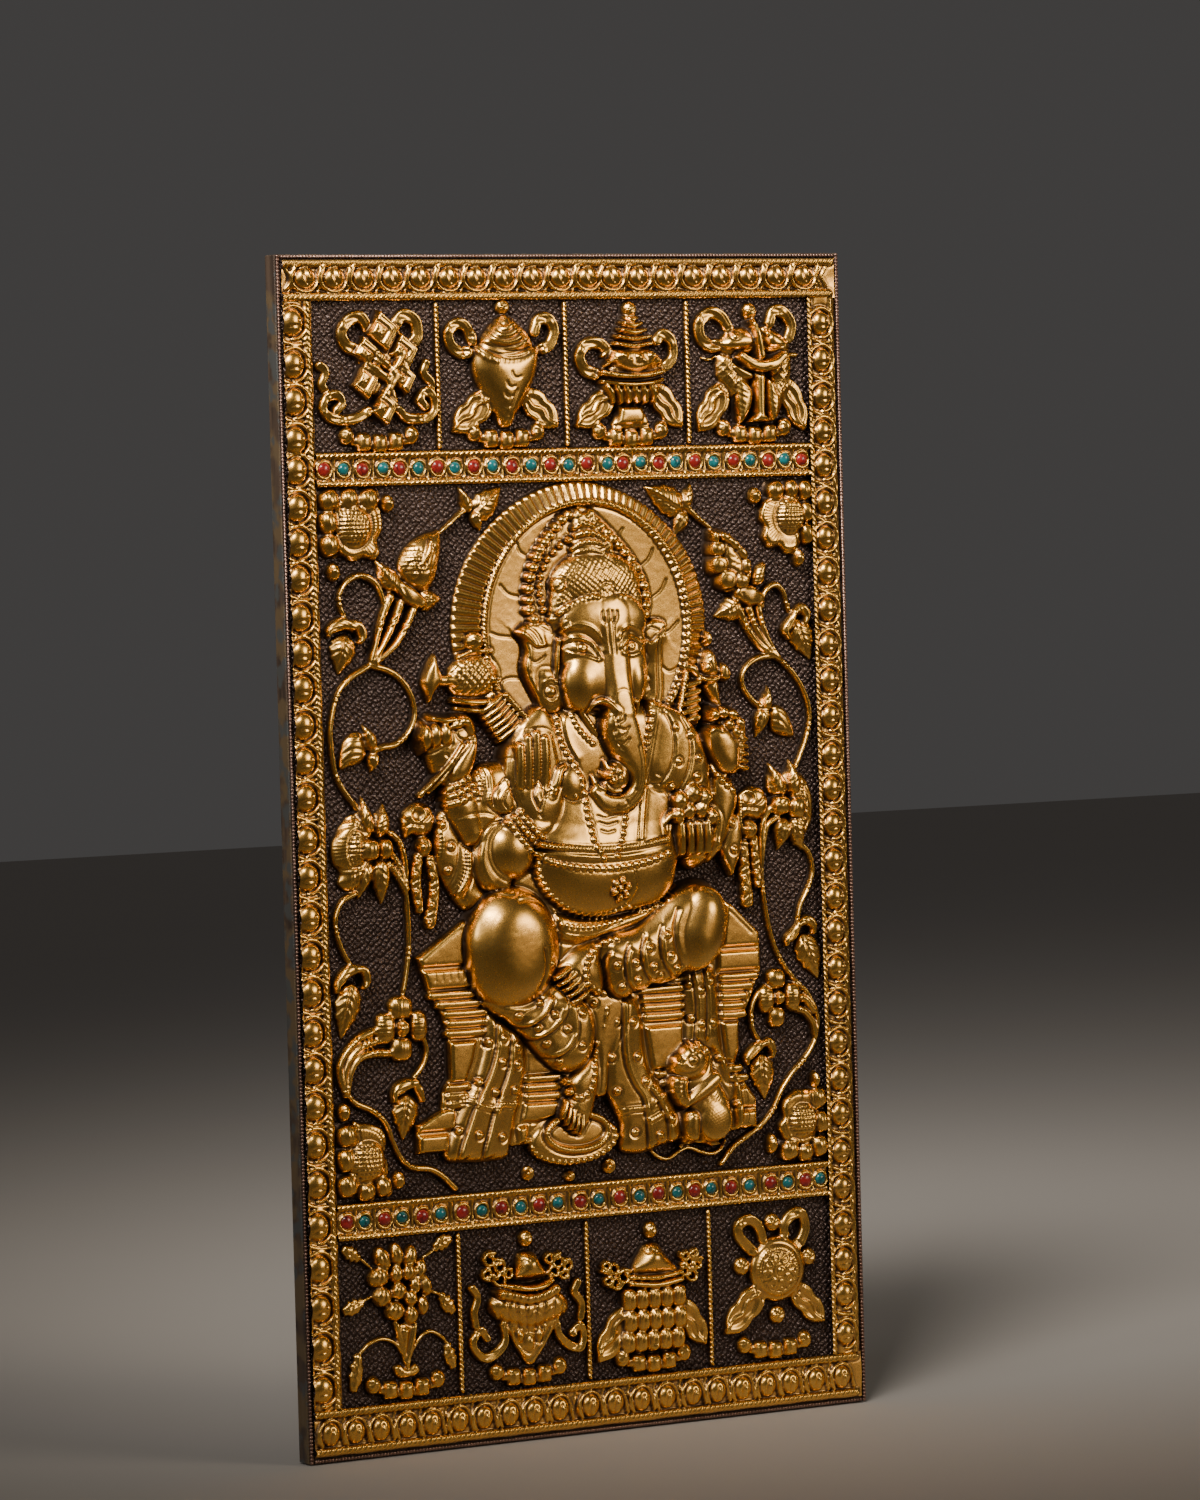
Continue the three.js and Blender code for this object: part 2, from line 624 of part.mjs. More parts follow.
function torso() {
  return [
    swell([
      [-50, 18], [-50, 58], [-26, 82], [52, 82], [80, 72], [91, 50], [90, 8], [66, -8], [-30, -4],
    ], 10, { edge: 0.1 }),
    dome(17, -18, 49, 28, 22, { sides: 10, rings: 2 }),
    dome(-5, 39, 10, 11, 14, { level: 8, rings: 0 }),
    limb([[-28, 3, 7, 14], [15, -2, 8, 20], [58, 2, 7, 14]], { level: 8 }),
    limb([[57, 78, 14, 13], [62, 60, 16, 15], [57, 38, 14, 13]], { level: 8 }),
    limb([[73, 74, 12, 12], [79, 58, 16, 14], [76, 34, 14, 12]], { level: 8 }),
    dome(28, -27, 7, 7, 24, { level: 18, rings: 0 }),
  ];
}

// Raised palm, bent arm and the back hand of the viewer's left, with what it holds
function leftArms() {
  const finger = (x, z) => limb([[x, z - 20, 5.6, 20], [x - 0.5, z, 4, 18]], { level: 10 });
  return [
    dome(-50, 1, 21, 19, 17, { sides: 8, rings: 2 }),
    limb([[-71, 18, 8, 9], [-71, -16, 10, 9]]),
    limb([[-46, 12, 18, 16], [-32, 18, 18, 18]], { level: 6 }),
    dome(-27, 29, 13.5, 18.5, 20, { level: 9, sides: 8 }),
    finger(-39, 64),
    finger(-33.5, 67),
    finger(-28, 69),
    finger(-22.5, 67),
    limb([[-16, 32, 7, 18], [-12, 51, 4, 15]], { level: 9 }),
    limb([[-46, 46, 22, 9], [-80, 40, 24, 10]], { profile: ROUNDED }),
    limb([[-84, 44, 26, 10], [-76, 2, 14, 9]], { profile: ROUNDED }),
    dome(-87, 60, 17, 18, 11, { sides: 8 }),
    limb([[-104, 72, 9, 11], [-90, 73, 11, 14], [-76, 78, 8, 9]]),
    limb([[-109, 37, 3, 4], [-96, 49, 5, 9]]),
    dome(-73, 106, 18, 13, 9, { sides: 10 }),
    limb([[-90, 91, 6, 6], [-61, 89, 6, 8]]),
    leaf(-103, 90, -99, 121, 15, 6),
    dome(-70, 126, 5, 5, 10, { rings: 0 }),
    limb([[-92, 22, 16, 7], [-88, 0, 26, 9], [-74, -30, 12, 6]]),
    dome(-113, 22, 12, 9.5, 8, { sides: 8 }),
    dome(-110, 5, 6, 6, 9, { rings: 0 }),
    limb([[-114, -1, 7, 5], [-115, -34, 5, 4]]),
    limb([[-106, -2, 7, 5], [-105, -42, 7, 5]]),
  ];
}

// The bowl of sweets, the sleeve and the back hand of the viewer's right, with its club
function rightArms() {
  const finger = (x) => limb([[x, 9, 4.8, 20], [x + 0.5, -6, 4, 17]], { level: 10 });
  const sweets = [[71, 25], [80, 28], [89, 26], [76, 17], [85, 18], [93, 14]];
  return [
    dome(76, 1, 20, 19, 17, { level: 4, sides: 10 }),
    ...sweets.map(([x, z]) => dome(x, z, 5.5, 5.5, 19, { level: 9, sides: 5, rings: 0 })),
    finger(72.5),
    finger(78.5),
    finger(84.5),
    finger(90.5),
    swell([[92, 44], [106, 36], [112, 26], [104, 2], [90, -10]], 13, { edge: 0.2 }),
    swell([[93, 70], [103, 76], [114, 66], [115, 50], [110, 40], [98, 46]], 12),
    limb([[96, 76, 8, 10], [106, 77, 9, 12], [116, 70, 9, 10]]),
    limb([[117, 62, 5, 6], [119, 42, 4, 5]]),
    limb([[95, 98, 12, 7], [100, 80, 6, 6]]),
    swell([[86, 98], [90, 116], [99, 114], [103, 98]], 9),
    dome(92.5, 124, 4.5, 4.5, 8, { rings: 0 }),
    leaf(86, 103, 72, 106, 8, 7),
    leaf(101, 102, 109, 103, 9, 7),
    leaf(106, 14, 105, -24, 18, 8),
    dome(123, 21, 10, 10, 7, { sides: 8 }),
    dome(120, 5, 5.5, 6, 8, { rings: 0 }),
    limb([[116, -6, 7, 5], [117, -42, 7, 5]]),
    limb([[122, -2, 7, 5], [125, -32, 5, 4]]),
  ];
}

function head() {
  const bead = (x, z) => dome(x, z, 3.2, 3.2, 7.5, { level: 4, root: 4, sides: 4, rings: 0 });
  const strands = [
    [-3, 201], [-9, 196], [-15, 190], [-21, 183], [-26, 175], [-30, 167], [-32, 158], [-32, 149],
    [21, 197], [27, 191], [33, 184], [39, 177], [44, 169], [48, 160], [51, 150],
  ];
  const leftEar = [[-42, 131], [-36, 137], [-22, 138], [-8, 120], [-6, 92], [-14, 81], [-26, 84], [-37, 112]];
  const rightEar = [[44, 128], [52, 136], [63, 134], [60, 96], [57, 83], [47, 85], [43, 100]];
  return [
    swell(leftEar, 9, { edge: 0.18 }),
    swell(rightEar, 9, { edge: 0.18 }),
    dome(21, 126, 33, 40, 17, { level: 4, sides: 10 }),
    dome(15, 160, 31, 19, 18, { level: 4, sides: 10 }),
    dome(15, 184, 14, 14, 13, { level: 4 }),
    ...strands.map(([x, z]) => bead(x, z)),
    limb([[-9, 143, 5, 15], [8, 147, 5, 17]], { level: 9 }),
    dome(5, 101, 14.5, 15, 24, { level: 10, sides: 8 }),
    dome(38.5, 103, 9, 15, 22, { level: 8, sides: 8 }),
    limb([[-8, 122, 5, 19], [18, 121, 5, 21]], { level: 14 }),
    limb([
      [28, 138, 12, 21], [27, 108, 14, 25], [25, 76, 25, 27], [29, 64, 24, 27],
      [36, 50, 19, 25], [34, 33, 16, 23], [22, 25, 14, 22], [9, 36, 9, 19],
    ], { level: 9, profile: ROUNDED }),
    dome(26, 42, 9, 9, 25, { level: 16 }),
    limb([[9, 85, 3, 20], [15, 89, 5, 25], [23, 85, 6, 27]], { level: 14 }),
  ];
}

function mouse() {
  return [
    swell([[62, -139], [68, -132], [84, -129], [86, -143], [74, -147]], 16, { edge: 0.3 }),
    limb([[80, -144, 14, 14], [90, -162, 24, 15]]),
    dome(90, -172, 14, 14, 18, { sides: 8 }),
    limb([[70, -149, 12, 13], [73, -165, 16, 13], [76, -183, 12, 9]]),
    limb([[44, -190, 2.6, 4], [54, -195, 3, 5], [70, -191, 3, 5], [88, -195, 3, 5], [97, -186, 3, 5]]),
    dome(-43, -197.5, 4.6, 4.6, 5),
    dome(-15, -202, 4.4, 3.4, 5),
    dome(14, -197, 4.8, 4.8, 5),
  ];
}

function toMesh(name, body, material) {
  const { numProp, vertProperties, triVerts } = body.getMesh();
  const positions = new Float32Array((vertProperties.length / numProp) * 3);
  for (let i = 0; i < positions.length / 3; i += 1) {
    for (let k = 0; k < 3; k += 1) positions[i * 3 + k] = vertProperties[i * numProp + k];
  }
  const geometry = new THREE.BufferGeometry();
  geometry.setAttribute('position', new THREE.BufferAttribute(positions, 3));
  geometry.setIndex(new THREE.BufferAttribute(new Uint32Array(triVerts), 1));
  geometry.computeVertexNormals();
  const mesh = new THREE.Mesh(geometry, material);
  mesh.name = name;
  return mesh;
}

function reliefSheet() {
  const halfX = WIRE_SPAN_X / 2 - WIRE_R - GAP;
  const halfZ = WIRE_SPAN_Z / 2 - WIRE_R - GAP;
  const outline = [[-halfX, -halfZ], [halfX, -halfZ], [halfX, halfZ], [-halfX, halfZ]];
  const sheet = stack([{ points: outline, h: -SHEET_THICK }, { points: outline, h: 0 }]);
  const raisedForms = [
    border(), band(UPPER_BAND), band(LOWER_BAND), dividers(),
    endlessKnot(), conch(), vase(), twoFish(), lotusPlant(), parasol(), banner(), wheel(),
    cornerLotuses(), leftVine(), rightVine(), halo(), throne(),
    scarves(), legs(), torso(), leftArms(), rightArms(), head(), mouse(),
  ].flat();
  return toMesh('relief_sheet', Manifold.union([sheet, ...raisedForms]), COLOURS.brass);
}

function backingBoard() {
  const wide = WIRE_SPAN_X + 2 * BOARD_MARGIN;
  const tall = WIRE_SPAN_Z + 2 * BOARD_MARGIN;
  const mesh = new THREE.Mesh(new THREE.BoxGeometry(wide, BOARD_THICK, tall), COLOURS.board);
  mesh.name = 'backing_board';
  mesh.position.set(0, -BOARD_THICK / 2, 0);
  return mesh;
}

function beadedWire(side, length, x, z, upright) {
  const turned = new THREE.CylinderGeometry(WIRE_R, WIRE_R, length, WIRE_SIDES);
  turned.rotateY(Math.PI / WIRE_SIDES);
  if (upright) turned.rotateX(Math.PI / 2);
  else turned.rotateZ(Math.PI / 2);
  const flatR = WIRE_R * Math.cos(Math.PI / WIRE_SIDES);
  const mesh = new THREE.Mesh(turned, COLOURS.wire);
  mesh.name = `beaded_wire_${side}`;
  mesh.position.set(x, -(BOARD_THICK + flatR), z);
  return mesh;
}

function wires() {
  const x = WIRE_SPAN_X / 2;
  const z = WIRE_SPAN_Z / 2;
  const short = WIRE_SPAN_X - 2 * WIRE_R - 2 * GAP;
  const long = WIRE_SPAN_Z + 2 * WIRE_R;
  return [
    beadedWire('top', short, 0, z, false),
    beadedWire('bottom', short, 0, -z, false),
    beadedWire('left', long, -x, 0, true),
    beadedWire('right', long, x, 0, true),
  ];
}

// One low cabochon with a flat underside, resting on its bezel
function stones(rowName, { z, first, last, count }) {
  return spread(first, last, count).map((x, i) => {
    const red = i % 2 === 0;
    const r = red ? CORAL_R : TURQUOISE_R;
    const cx = x - LEAN * (BEZEL_H - READ_LEVEL);
    const body = stack([{ points: ellipse(cx, z, r, r, STONE_SIDES), h: BEZEL_H }], STONE_H);
    const number = String(i + 1).padStart(2, '0');
    return toMesh(`stone_${rowName}_${number}`, body, red ? COLOURS.coral : COLOURS.turquoise);
  });
}

const plaque = new THREE.Group();
plaque.add(backingBoard());
plaque.add(reliefSheet());
plaque.add(...wires());
plaque.add(...stones('upper', UPPER_BAND));
plaque.add(...stones('lower', LOWER_BAND));

export default plaque;
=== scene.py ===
"""A hammered brass wall plaque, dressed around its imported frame.

The sheet's relief is worked as heights above its ground, in mm, the way the metal is pushed out from
behind and chased from the front. Places are read on the face at the camera's slant, and each form is
set back by its own height, so that it stands where the solids have it.
"""
import math

import bmesh
import bpy
import numpy as np
from mathutils import Matrix, Vector


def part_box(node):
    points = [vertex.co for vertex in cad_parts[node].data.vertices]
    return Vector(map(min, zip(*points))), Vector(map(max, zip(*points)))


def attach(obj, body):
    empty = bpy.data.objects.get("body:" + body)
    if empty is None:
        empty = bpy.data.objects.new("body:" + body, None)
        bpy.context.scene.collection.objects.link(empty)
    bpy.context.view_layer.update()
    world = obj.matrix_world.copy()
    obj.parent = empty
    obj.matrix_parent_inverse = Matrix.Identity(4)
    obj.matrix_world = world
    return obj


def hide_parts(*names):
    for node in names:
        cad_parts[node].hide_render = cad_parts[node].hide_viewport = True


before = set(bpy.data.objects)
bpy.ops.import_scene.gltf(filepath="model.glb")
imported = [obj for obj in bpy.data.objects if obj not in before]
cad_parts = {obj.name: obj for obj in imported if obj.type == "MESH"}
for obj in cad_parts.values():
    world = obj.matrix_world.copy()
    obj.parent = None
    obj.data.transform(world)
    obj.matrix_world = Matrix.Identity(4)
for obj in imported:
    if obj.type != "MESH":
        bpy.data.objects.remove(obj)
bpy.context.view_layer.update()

MM = 0.001
TURN = 2 * math.pi

# Heights of the relief in mm above the sheet's ground
GROUND = 13.0  # how far the ground itself stands in front of the board's back
SUNK = -3.0  # where no form has been raised yet
KEEP_ABOVE = -1.5  # a spot lower than this belongs to no piece
BARE = 0.2  # a spot lower than this counts as bare ground
READ_LEVEL = 1.0  # a form this high stands just where it is read
TOP_LEVEL = 26.8  # nothing stands higher

# Slopes: the camera's slant, and the metal's fall outside a form on bare ground or on another form
LEAN = 0.577
FOOT_SKIRT = 1.6
SKIRT = 3.0


def gauss(field, sigma):
    """field blurred evenly both ways, sigma in cells."""
    reach = max(1, int(3 * sigma))
    weights = np.exp(-0.5 * (np.arange(-reach, reach + 1) / sigma) ** 2)
    weights /= weights.sum()
    for axis in (0, 1):
        pad = [(reach, reach) if a == axis else (0, 0) for a in (0, 1)]
        wide = np.pad(field, pad, mode="edge")
        length = field.shape[axis]
        field = sum(
            w * (wide[k : k + length] if axis == 0 else wide[:, k : k + length])
            for k, w in enumerate(weights)
        )
    return field


def spline(points, closed=False, fine=6):
    """A smooth path through rows of numbers, all columns alike."""
    p = np.asarray(points, float)
    if len(p) < 3 and not closed:
        t = np.linspace(0, 1, fine + 1)[:, None]
        return p[0] * (1 - t) + p[-1] * t
    if closed:
        q = np.vstack([p[-1], p, p[0], p[1]])
    else:
        q = np.vstack([2 * p[0] - p[1], p, 2 * p[-1] - p[-2]])
    t = (np.arange(fine) / fine)[:, None]
    out = []
    for a, b, c, d in zip(q[:-3], q[1:-2], q[2:-1], q[3:]):
        bend = (2 * a - 5 * b + 4 * c - d) * t**2
        out.append(0.5 * (2 * b + (c - a) * t + bend + (3 * b - a - 3 * c + d) * t**3))
    path = np.vstack(out)
    return path if closed else np.vstack([path, p[-1:]])


def closed_up(ring):
    """A ring of points with its first point again at its end."""
    return np.vstack([ring, ring[:1]])


def evenly(path, pitch):
    """Points of a path at even steps, with the path's direction at each."""
    step = np.hypot(*np.diff(path[:, :2], axis=0).T)
    along = np.concatenate([[0], np.cumsum(step)])
    at = np.linspace(0, along[-1], max(2, int(round(along[-1] / pitch)) + 1))
    columns = lambda places, wanted: np.stack([np.interp(places, along, path[:, k]) for k in wanted], 1)
    spots = columns(at, range(path.shape[1]))
    ahead, behind = columns(at + 0.3, (0, 1)), columns(at - 0.3, (0, 1))
    way = ahead - behind
    return spots, way / np.maximum(np.hypot(*way.T), 1e-9)[:, None]


def turned(x, z, cx, cz, angle):
    """Places about a centre, turned so that the first number runs along angle."""
    c, s = math.cos(angle), math.sin(angle)
    return (x - cx) * c + (z - cz) * s, -(x - cx) * s + (z - cz) * c


def oval(cx, cz, rx, rz, turn=0.0, count=28, start=0.0, end=TURN):
    """Points of an ellipse, or of a part of one."""
    a = np.linspace(start, end, count, endpoint=abs(end - start) < TURN - 1e-6)
    u, v = rx * np.cos(a), rz * np.sin(a)
    c, s = math.cos(turn), math.sin(turn)
    return np.stack([cx + u * c - v * s, cz + u * s + v * c], 1)


def coil(cx, cz, r, turns=1.5, start=0.0, way=1, end_r=0.15):
    """Points of a spiral from its outer end inwards."""
    a = np.linspace(0, TURN * turns, int(10 * turns) + 4)
    k = r * (1 - (1 - end_r) * a / a[-1])
    return np.stack([cx + k * np.cos(start + way * a), cz + k * np.sin(start + way * a)], 1)


def between(a, b, count):
    """Straight strokes from one edge to another, evenly spread."""
    pa, _ = evenly(spline(a), 1)
    pb, _ = evenly(spline(b), 1)
    at = np.linspace(0, 1, count)
    pick = lambda p: p[(at * (len(p) - 1)).round().astype(int)][:, :2]
    return [np.stack([m, n]) for m, n in zip(pick(pa), pick(pb))]


def outer_slope(level):
    """How steeply the metal falls outside a form that stands at this level."""
    return SKIRT if level > 0.5 else FOOT_SKIRT


def edge_distance(outline, x, z):
    """Distance inside a closed outline, negative outside it."""
    best = np.full(x.shape, 1e9)
    odd = np.zeros(x.shape, bool)
    for (ax, az), (bx, bz) in zip(outline, np.roll(outline, -1, 0)):
        dx, dz = bx - ax, bz - az
        t = np.clip(((x - ax) * dx + (z - az) * dz) / max(dx * dx + dz * dz, 1e-9), 0, 1)
        best = np.minimum(best, (x - ax - t * dx) ** 2 + (z - az - t * dz) ** 2)
        if az != bz:
            odd ^= ((az > z) != (bz > z)) & (x < dx * (z - az) / dz + ax)
    return np.where(odd, 1, -1) * np.sqrt(best)


def path_distance(path, x, z):
    """Distance from a path, the place along it in mm, the side of it, and its columns there."""
    best = np.full(x.shape, 1e9)
    run = np.zeros(x.shape)
    side = np.zeros(x.shape)
    extra = np.zeros((path.shape[1] - 2,) + x.shape)
    done = 0.0
    for a, b in zip(path[:-1], path[1:]):
        dx, dz = b[0] - a[0], b[1] - a[1]
        length = math.hypot(dx, dz)
        if length < 1e-6:
            continue
        t = np.clip(((x - a[0]) * dx + (z - a[1]) * dz) / length**2, 0, 1)
        ex, ez = x - a[0] - t * dx, z - a[1] - t * dz
        near = ex * ex + ez * ez
        win = near < best
        best = np.where(win, near, best)
        run = np.where(win, done + t * length, run)
        side = np.where(win, np.sign(ex * dz - ez * dx), side)
        for k in range(len(extra)):
            extra[k] = np.where(win, a[k + 2] + (b[k + 2] - a[k + 2]) * t, extra[k])
        done += length
    return np.sqrt(best), run, side, extra


class Relief:
    """One panel of the sheet: heights above the ground on an even grid, and what owns each spot."""

    def __init__(self, x0, x1, z0, z1, step):
        nx, nz = int(round((x1 - x0) / step)), int(round((z1 - z0) / step))
        self.x = np.linspace(x0, x1, nx + 1)
        self.z = np.linspace(z0, z1, nz + 1)
        self.step = (x1 - x0) / nx
        self.h = np.full((nz + 1, nx + 1), SUNK)
        self.owner = np.zeros(self.h.shape, np.int16)
        self.names = []
        self.part = 0

    def piece(self, name):
        """What is raised from here on belongs to this piece."""
        if name not in self.names:
            self.names.append(name)
        self.part = self.names.index(name)

    def window(self, x, z, margin):
        """The stretch of grid round these places, with its coordinates."""
        i0 = max(0, int(np.searchsorted(self.x, np.min(x) - margin)))
        i1 = min(len(self.x), int(np.searchsorted(self.x, np.max(x) + margin)))
        j0 = max(0, int(np.searchsorted(self.z, np.min(z) - margin)))
        j1 = min(len(self.z), int(np.searchsorted(self.z, np.max(z) + margin)))
        win = (slice(j0, max(j1, j0)), slice(i0, max(i1, i0)))
        grid = np.meshgrid(self.x[win[1]], self.z[win[0]])
        return win, grid[0], grid[1]

    def sample(self, x, z):
        """Heights at places between the grid's points."""
        fx = np.clip((x - self.x[0]) / self.step, 0, len(self.x) - 1.001)
        fz = np.clip((z - self.z[0]) / (self.z[1] - self.z[0]), 0, len(self.z) - 1.001)
        i, j = fx.astype(int), fz.astype(int)
        a, b = fx - i, fz - j
        h = self.h
        low = h[j, i] * (1 - a) + h[j, i + 1] * a
        high = h[j + 1, i] * (1 - a) + h[j + 1, i + 1] * a
        return low * (1 - b) + high * b

    def settle(self, points):
        """Places read on the face, moved to where the camera's ray meets the relief."""
        p = np.array(points, float)
        levels = np.arange(TOP_LEVEL, -0.01, -0.2)
        x = p[:, :1] - LEAN * (levels - READ_LEVEL)[None]
        z = np.repeat(p[:, 1:2], len(levels), 1)
        hit = self.sample(x, z) >= levels[None]
        first = np.where(hit.any(1), hit.argmax(1), len(levels) - 1)
        p[:, 0] = x[np.arange(len(p)), first]
        return p

    def raise_to(self, win, height, inside, crease=0.0, soft=0.0):
        """Brings the sheet up to height, with a chased crease outside the form's edge or a soft join.

        A soft join swells what stands there and leaves the spot to the piece that has it.
        """
        old = self.h[win]
        if soft:
            meet = np.maximum(soft - np.abs(height - old), 0) ** 2 / (4 * soft)
            self.h[win] = np.maximum(height, old) + np.where(old > BARE, meet, 0)
            return
        if crease:
            out = -inside
            cut = crease * np.exp(-(((out - 0.7) / 0.6) ** 2)) * (out > -0.3)
            old = np.where(old > BARE, np.maximum(old - cut, 0.1), old)
        grown = height > old
        self.h[win] = np.where(grown, height, old)
        self.owner[win] = np.where(grown & (height > KEEP_ABOVE), self.part, self.owner[win])

    def blob(self, x, z, rx, rz, h, level=0.0, turn=0.0, power=0.5, crease=0.4, soft=0.0, squared=2.0):
        """A rounded boss read at x, z; squared over 2 fills its corners."""
        wide = math.hypot(rx * math.cos(turn), rz * math.sin(turn))
        rise = LEAN * (h - level)
        narrow = min(rise * rise / (4 * wide), 0.35 * wide)
        cx = x - LEAN * (level - READ_LEVEL) - narrow
        squeeze = 1 - narrow / wide
        reach = max(rx, rz)
        win, gx, gz = self.window([cx], [z], reach + 8 + max(0, level) / SKIRT)
        u, v = turned((gx - cx) / squeeze, gz - z, 0, 0, turn)
        k = (np.abs(u / rx) ** squared + np.abs(v / rz) ** squared) ** (1 / squared)
        inside = (1 - k) * min(rx, rz)
        top = level + (h - level) * np.clip(1 - k * k, 0, None) ** power
        height = np.where(k < 1, top, level + inside * outer_slope(level))
        self.raise_to(win, height, inside, crease, soft)

    def shape(self, outline, h, level=0.0, edge=4.0, crown=0.25, smooth=True, crease=0.5, fine=5, soft=0.0):
        """A form with its own outline, rounded up from its edge and crowned towards its middle."""
        p = spline(outline, True, fine) if smooth else np.asarray(outline, float)
        lo, hi = p[:, 0].min(), p[:, 0].max()
        wide = (hi - lo) / 2
        rise = LEAN * (h - level) * (1 - 0.6 * crown)
        narrow = min((math.hypot(edge, rise) - edge) / 2, 0.35 * wide)
        mid = (lo + hi) / 2
        set_back = LEAN * (level - READ_LEVEL) + narrow
        p = np.stack([mid + (p[:, 0] - mid) * (1 - narrow / wide) - set_back, p[:, 1]], 1)
        win, gx, gz = self.window(p[:, 0], p[:, 1], 3 + max(0, level) / SKIRT)
        if not gx.size:
            return p
        inside = edge_distance(p, gx, gz)
        t = np.clip(inside / edge, 0, 1)
        deep = max(inside.max(), 1e-6)
        bulge = np.clip(inside / deep, 0, 1)
        rounded, crowned = np.sqrt(1 - (1 - t) ** 2), 1 - (1 - bulge) ** 2
        top = level + (h - level) * ((1 - crown) * rounded + crown * crowned)
        if edge > 4:
            eased = gauss(np.where(inside > 0, top, level), 0.2 * edge / self.step)
            top += (eased - top) * np.clip(inside / (0.45 * edge), 0, 1)
        height = np.where(inside > 0, top, level + inside * outer_slope(level))
        self.raise_to(win, height, inside, crease, soft)
        return p

    def limb(self, points, level=0.0, flat=0.0, crease=0.4, fine=6, twist=0.0, ridges=0.0, soft=0.0):
        """A long form along x, z, width, height; flat squares its top, twist cords it, ridges ring it."""
        path = spline(points, False, fine)
        way = np.gradient(path[:, :2], axis=0)
        across = np.abs(way[:, 1]) / np.maximum(np.hypot(*way.T), 1e-9)
        half = path[:, 2] / 2
        rise = LEAN * np.maximum(path[:, 3] - level, 0)
        narrow = np.minimum(rise**2 / (4 * np.maximum(half, 0.1)), 0.3 * half) * across**2
        path = path.copy()
        path[:, 0] -= LEAN * (level - READ_LEVEL) + narrow
        path[:, 2] = 2 * (half - narrow)
        win, gx, gz = self.window(path[:, 0], path[:, 1], path[:, 2].max() / 2 + 3 + max(0, level) / SKIRT)
        far, run, side, (width, top) = path_distance(path, gx, gz)
        r = np.maximum(width / 2, 0.2)
        k = np.clip(far / r, 0, 1)
        arch = np.sqrt(np.clip(1 - k ** (2 + 4 * flat), 0, 1))
        if twist:
            wave = np.abs(np.sin(math.pi * (run + far * side * 0.9) / twist))
            arch = arch * (0.3 + 0.7 * wave**0.75)
        if ridges:
            arch = arch * (0.8 + 0.2 * np.abs(np.sin(math.pi * run / ridges)) ** 0.6)
        inside = r - far
        height = np.where(inside > 0, level + (top - level) * arch, level + inside * outer_slope(level))
        self.raise_to(win, height, inside, crease, soft)

    def folds(self, paths, rise=1.4, reach=6.0, cut=0.8, side=1):
        """Overlaps of cloth: the surface swells up to each line on one side and drops at it."""
        for path in paths:
            p = self.settle(evenly(spline(np.asarray(path, float)[:, :2], False, 5), 2.5)[0])
            win, gx, gz = self.window(p[:, 0], p[:, 1], reach * 2)
            if not gx.size:
                continue
            far, run, way, _ = path_distance(p, gx, gz)
            ends = np.clip(np.minimum(run, run.max() - run) / 3.0 + 0.15, 0, 1)
            swell = rise * np.exp(-((far / reach) ** 1.5)) * np.clip(0.5 + far * way * side / 0.9, 0, 1)
            groove = cut * np.exp(-(((far - 0.5 * (way != side)) / 0.75) ** 2))
            self.add(win, (swell - groove) * ends)

    def rope(self, points, width=3.6, h=3.6, level=0.0, pitch=3.4):
        """A twisted cord."""
        self.limb([[x, z, width + 0.7, h + 0.9] for x, z in points], level, 0.6, 0.3, twist=pitch)

    def add(self, win, amount):
        """Works a detail onto whatever stands there, clear of the bare ground."""
        old = self.h[win]
        self.h[win] = np.where(old > 0.25, np.maximum(old + amount, 0.05), old)

    def studs(self, places, r=1.7, h=1.5, ring=0.0):
        """Small round knobs on the surface, each with a chased ring if one is asked for."""
        for x, z in self.settle(places)[:, :2]:
            win, gx, gz = self.window([x], [z], r + 3)
            far = np.hypot(gx - x, gz - z)
            amount = h * np.sqrt(np.clip(1 - (far / r) ** 2, 0, 1))
            if ring:
                amount = amount - ring * np.exp(-(((far - r - 0.8) / 0.55) ** 2))
            self.add(win, amount)

    def beads(self, points, r=1.7, h=1.7, pitch=None, fine=6):
        """A string of beads laid on the surface along a path."""
        spots, _ = evenly(spline(points, False, fine), pitch or 2.1 * r)
        spots = self.settle(spots)
        win, gx, gz = self.window(spots[:, 0], spots[:, 1], r + 2)
        best = np.full(gx.shape, 1e9)
        for x, z in spots[:, :2]:
            best = np.minimum(best, np.hypot(gx - x, gz - z))
        groove = 0.45 * np.exp(-(((best - r - 0.3) / 0.5) ** 2))
        self.add(win, h * np.sqrt(np.clip(1 - (best / r) ** 2, 0, 1)) - groove)

    def chase(self, paths, width=1.1, depth=0.6, smooth=True, on_top=True, closed=False):
        """Lines pressed into the metal with a blunt tool; a negative depth raises them."""
        for path in paths:
            p = np.asarray(path, float)[:, :2]
            if smooth:
                p = spline(p, closed, 5)
            if closed:
                p = closed_up(p)
            if on_top:
                p = self.settle(evenly(p, 2.5)[0])
            win, gx, gz = self.window(p[:, 0], p[:, 1], width + 2)
            if not gx.size:
                continue
            far = path_distance(p, gx, gz)[0]
            self.add(win, -depth * np.exp(-((far / (width * 0.6)) ** 2)))

    def texture(self, outline, pattern, level=None, soften=1.0):
        """Adds pattern(x, z) inside an outline; level says how high the surface there stands."""
        p = spline(outline, True, 5)
        if level is None:
            p = self.settle(p)
            shift = 0.0
        else:
            shift = LEAN * (level - READ_LEVEL)
            p = np.stack([p[:, 0] - shift, p[:, 1]], 1)
        win, gx, gz = self.window(p[:, 0], p[:, 1], 2)
        mask = np.clip(edge_distance(p, gx, gz) / soften, 0, 1)
        self.add(win, pattern(gx + shift, gz) * mask)


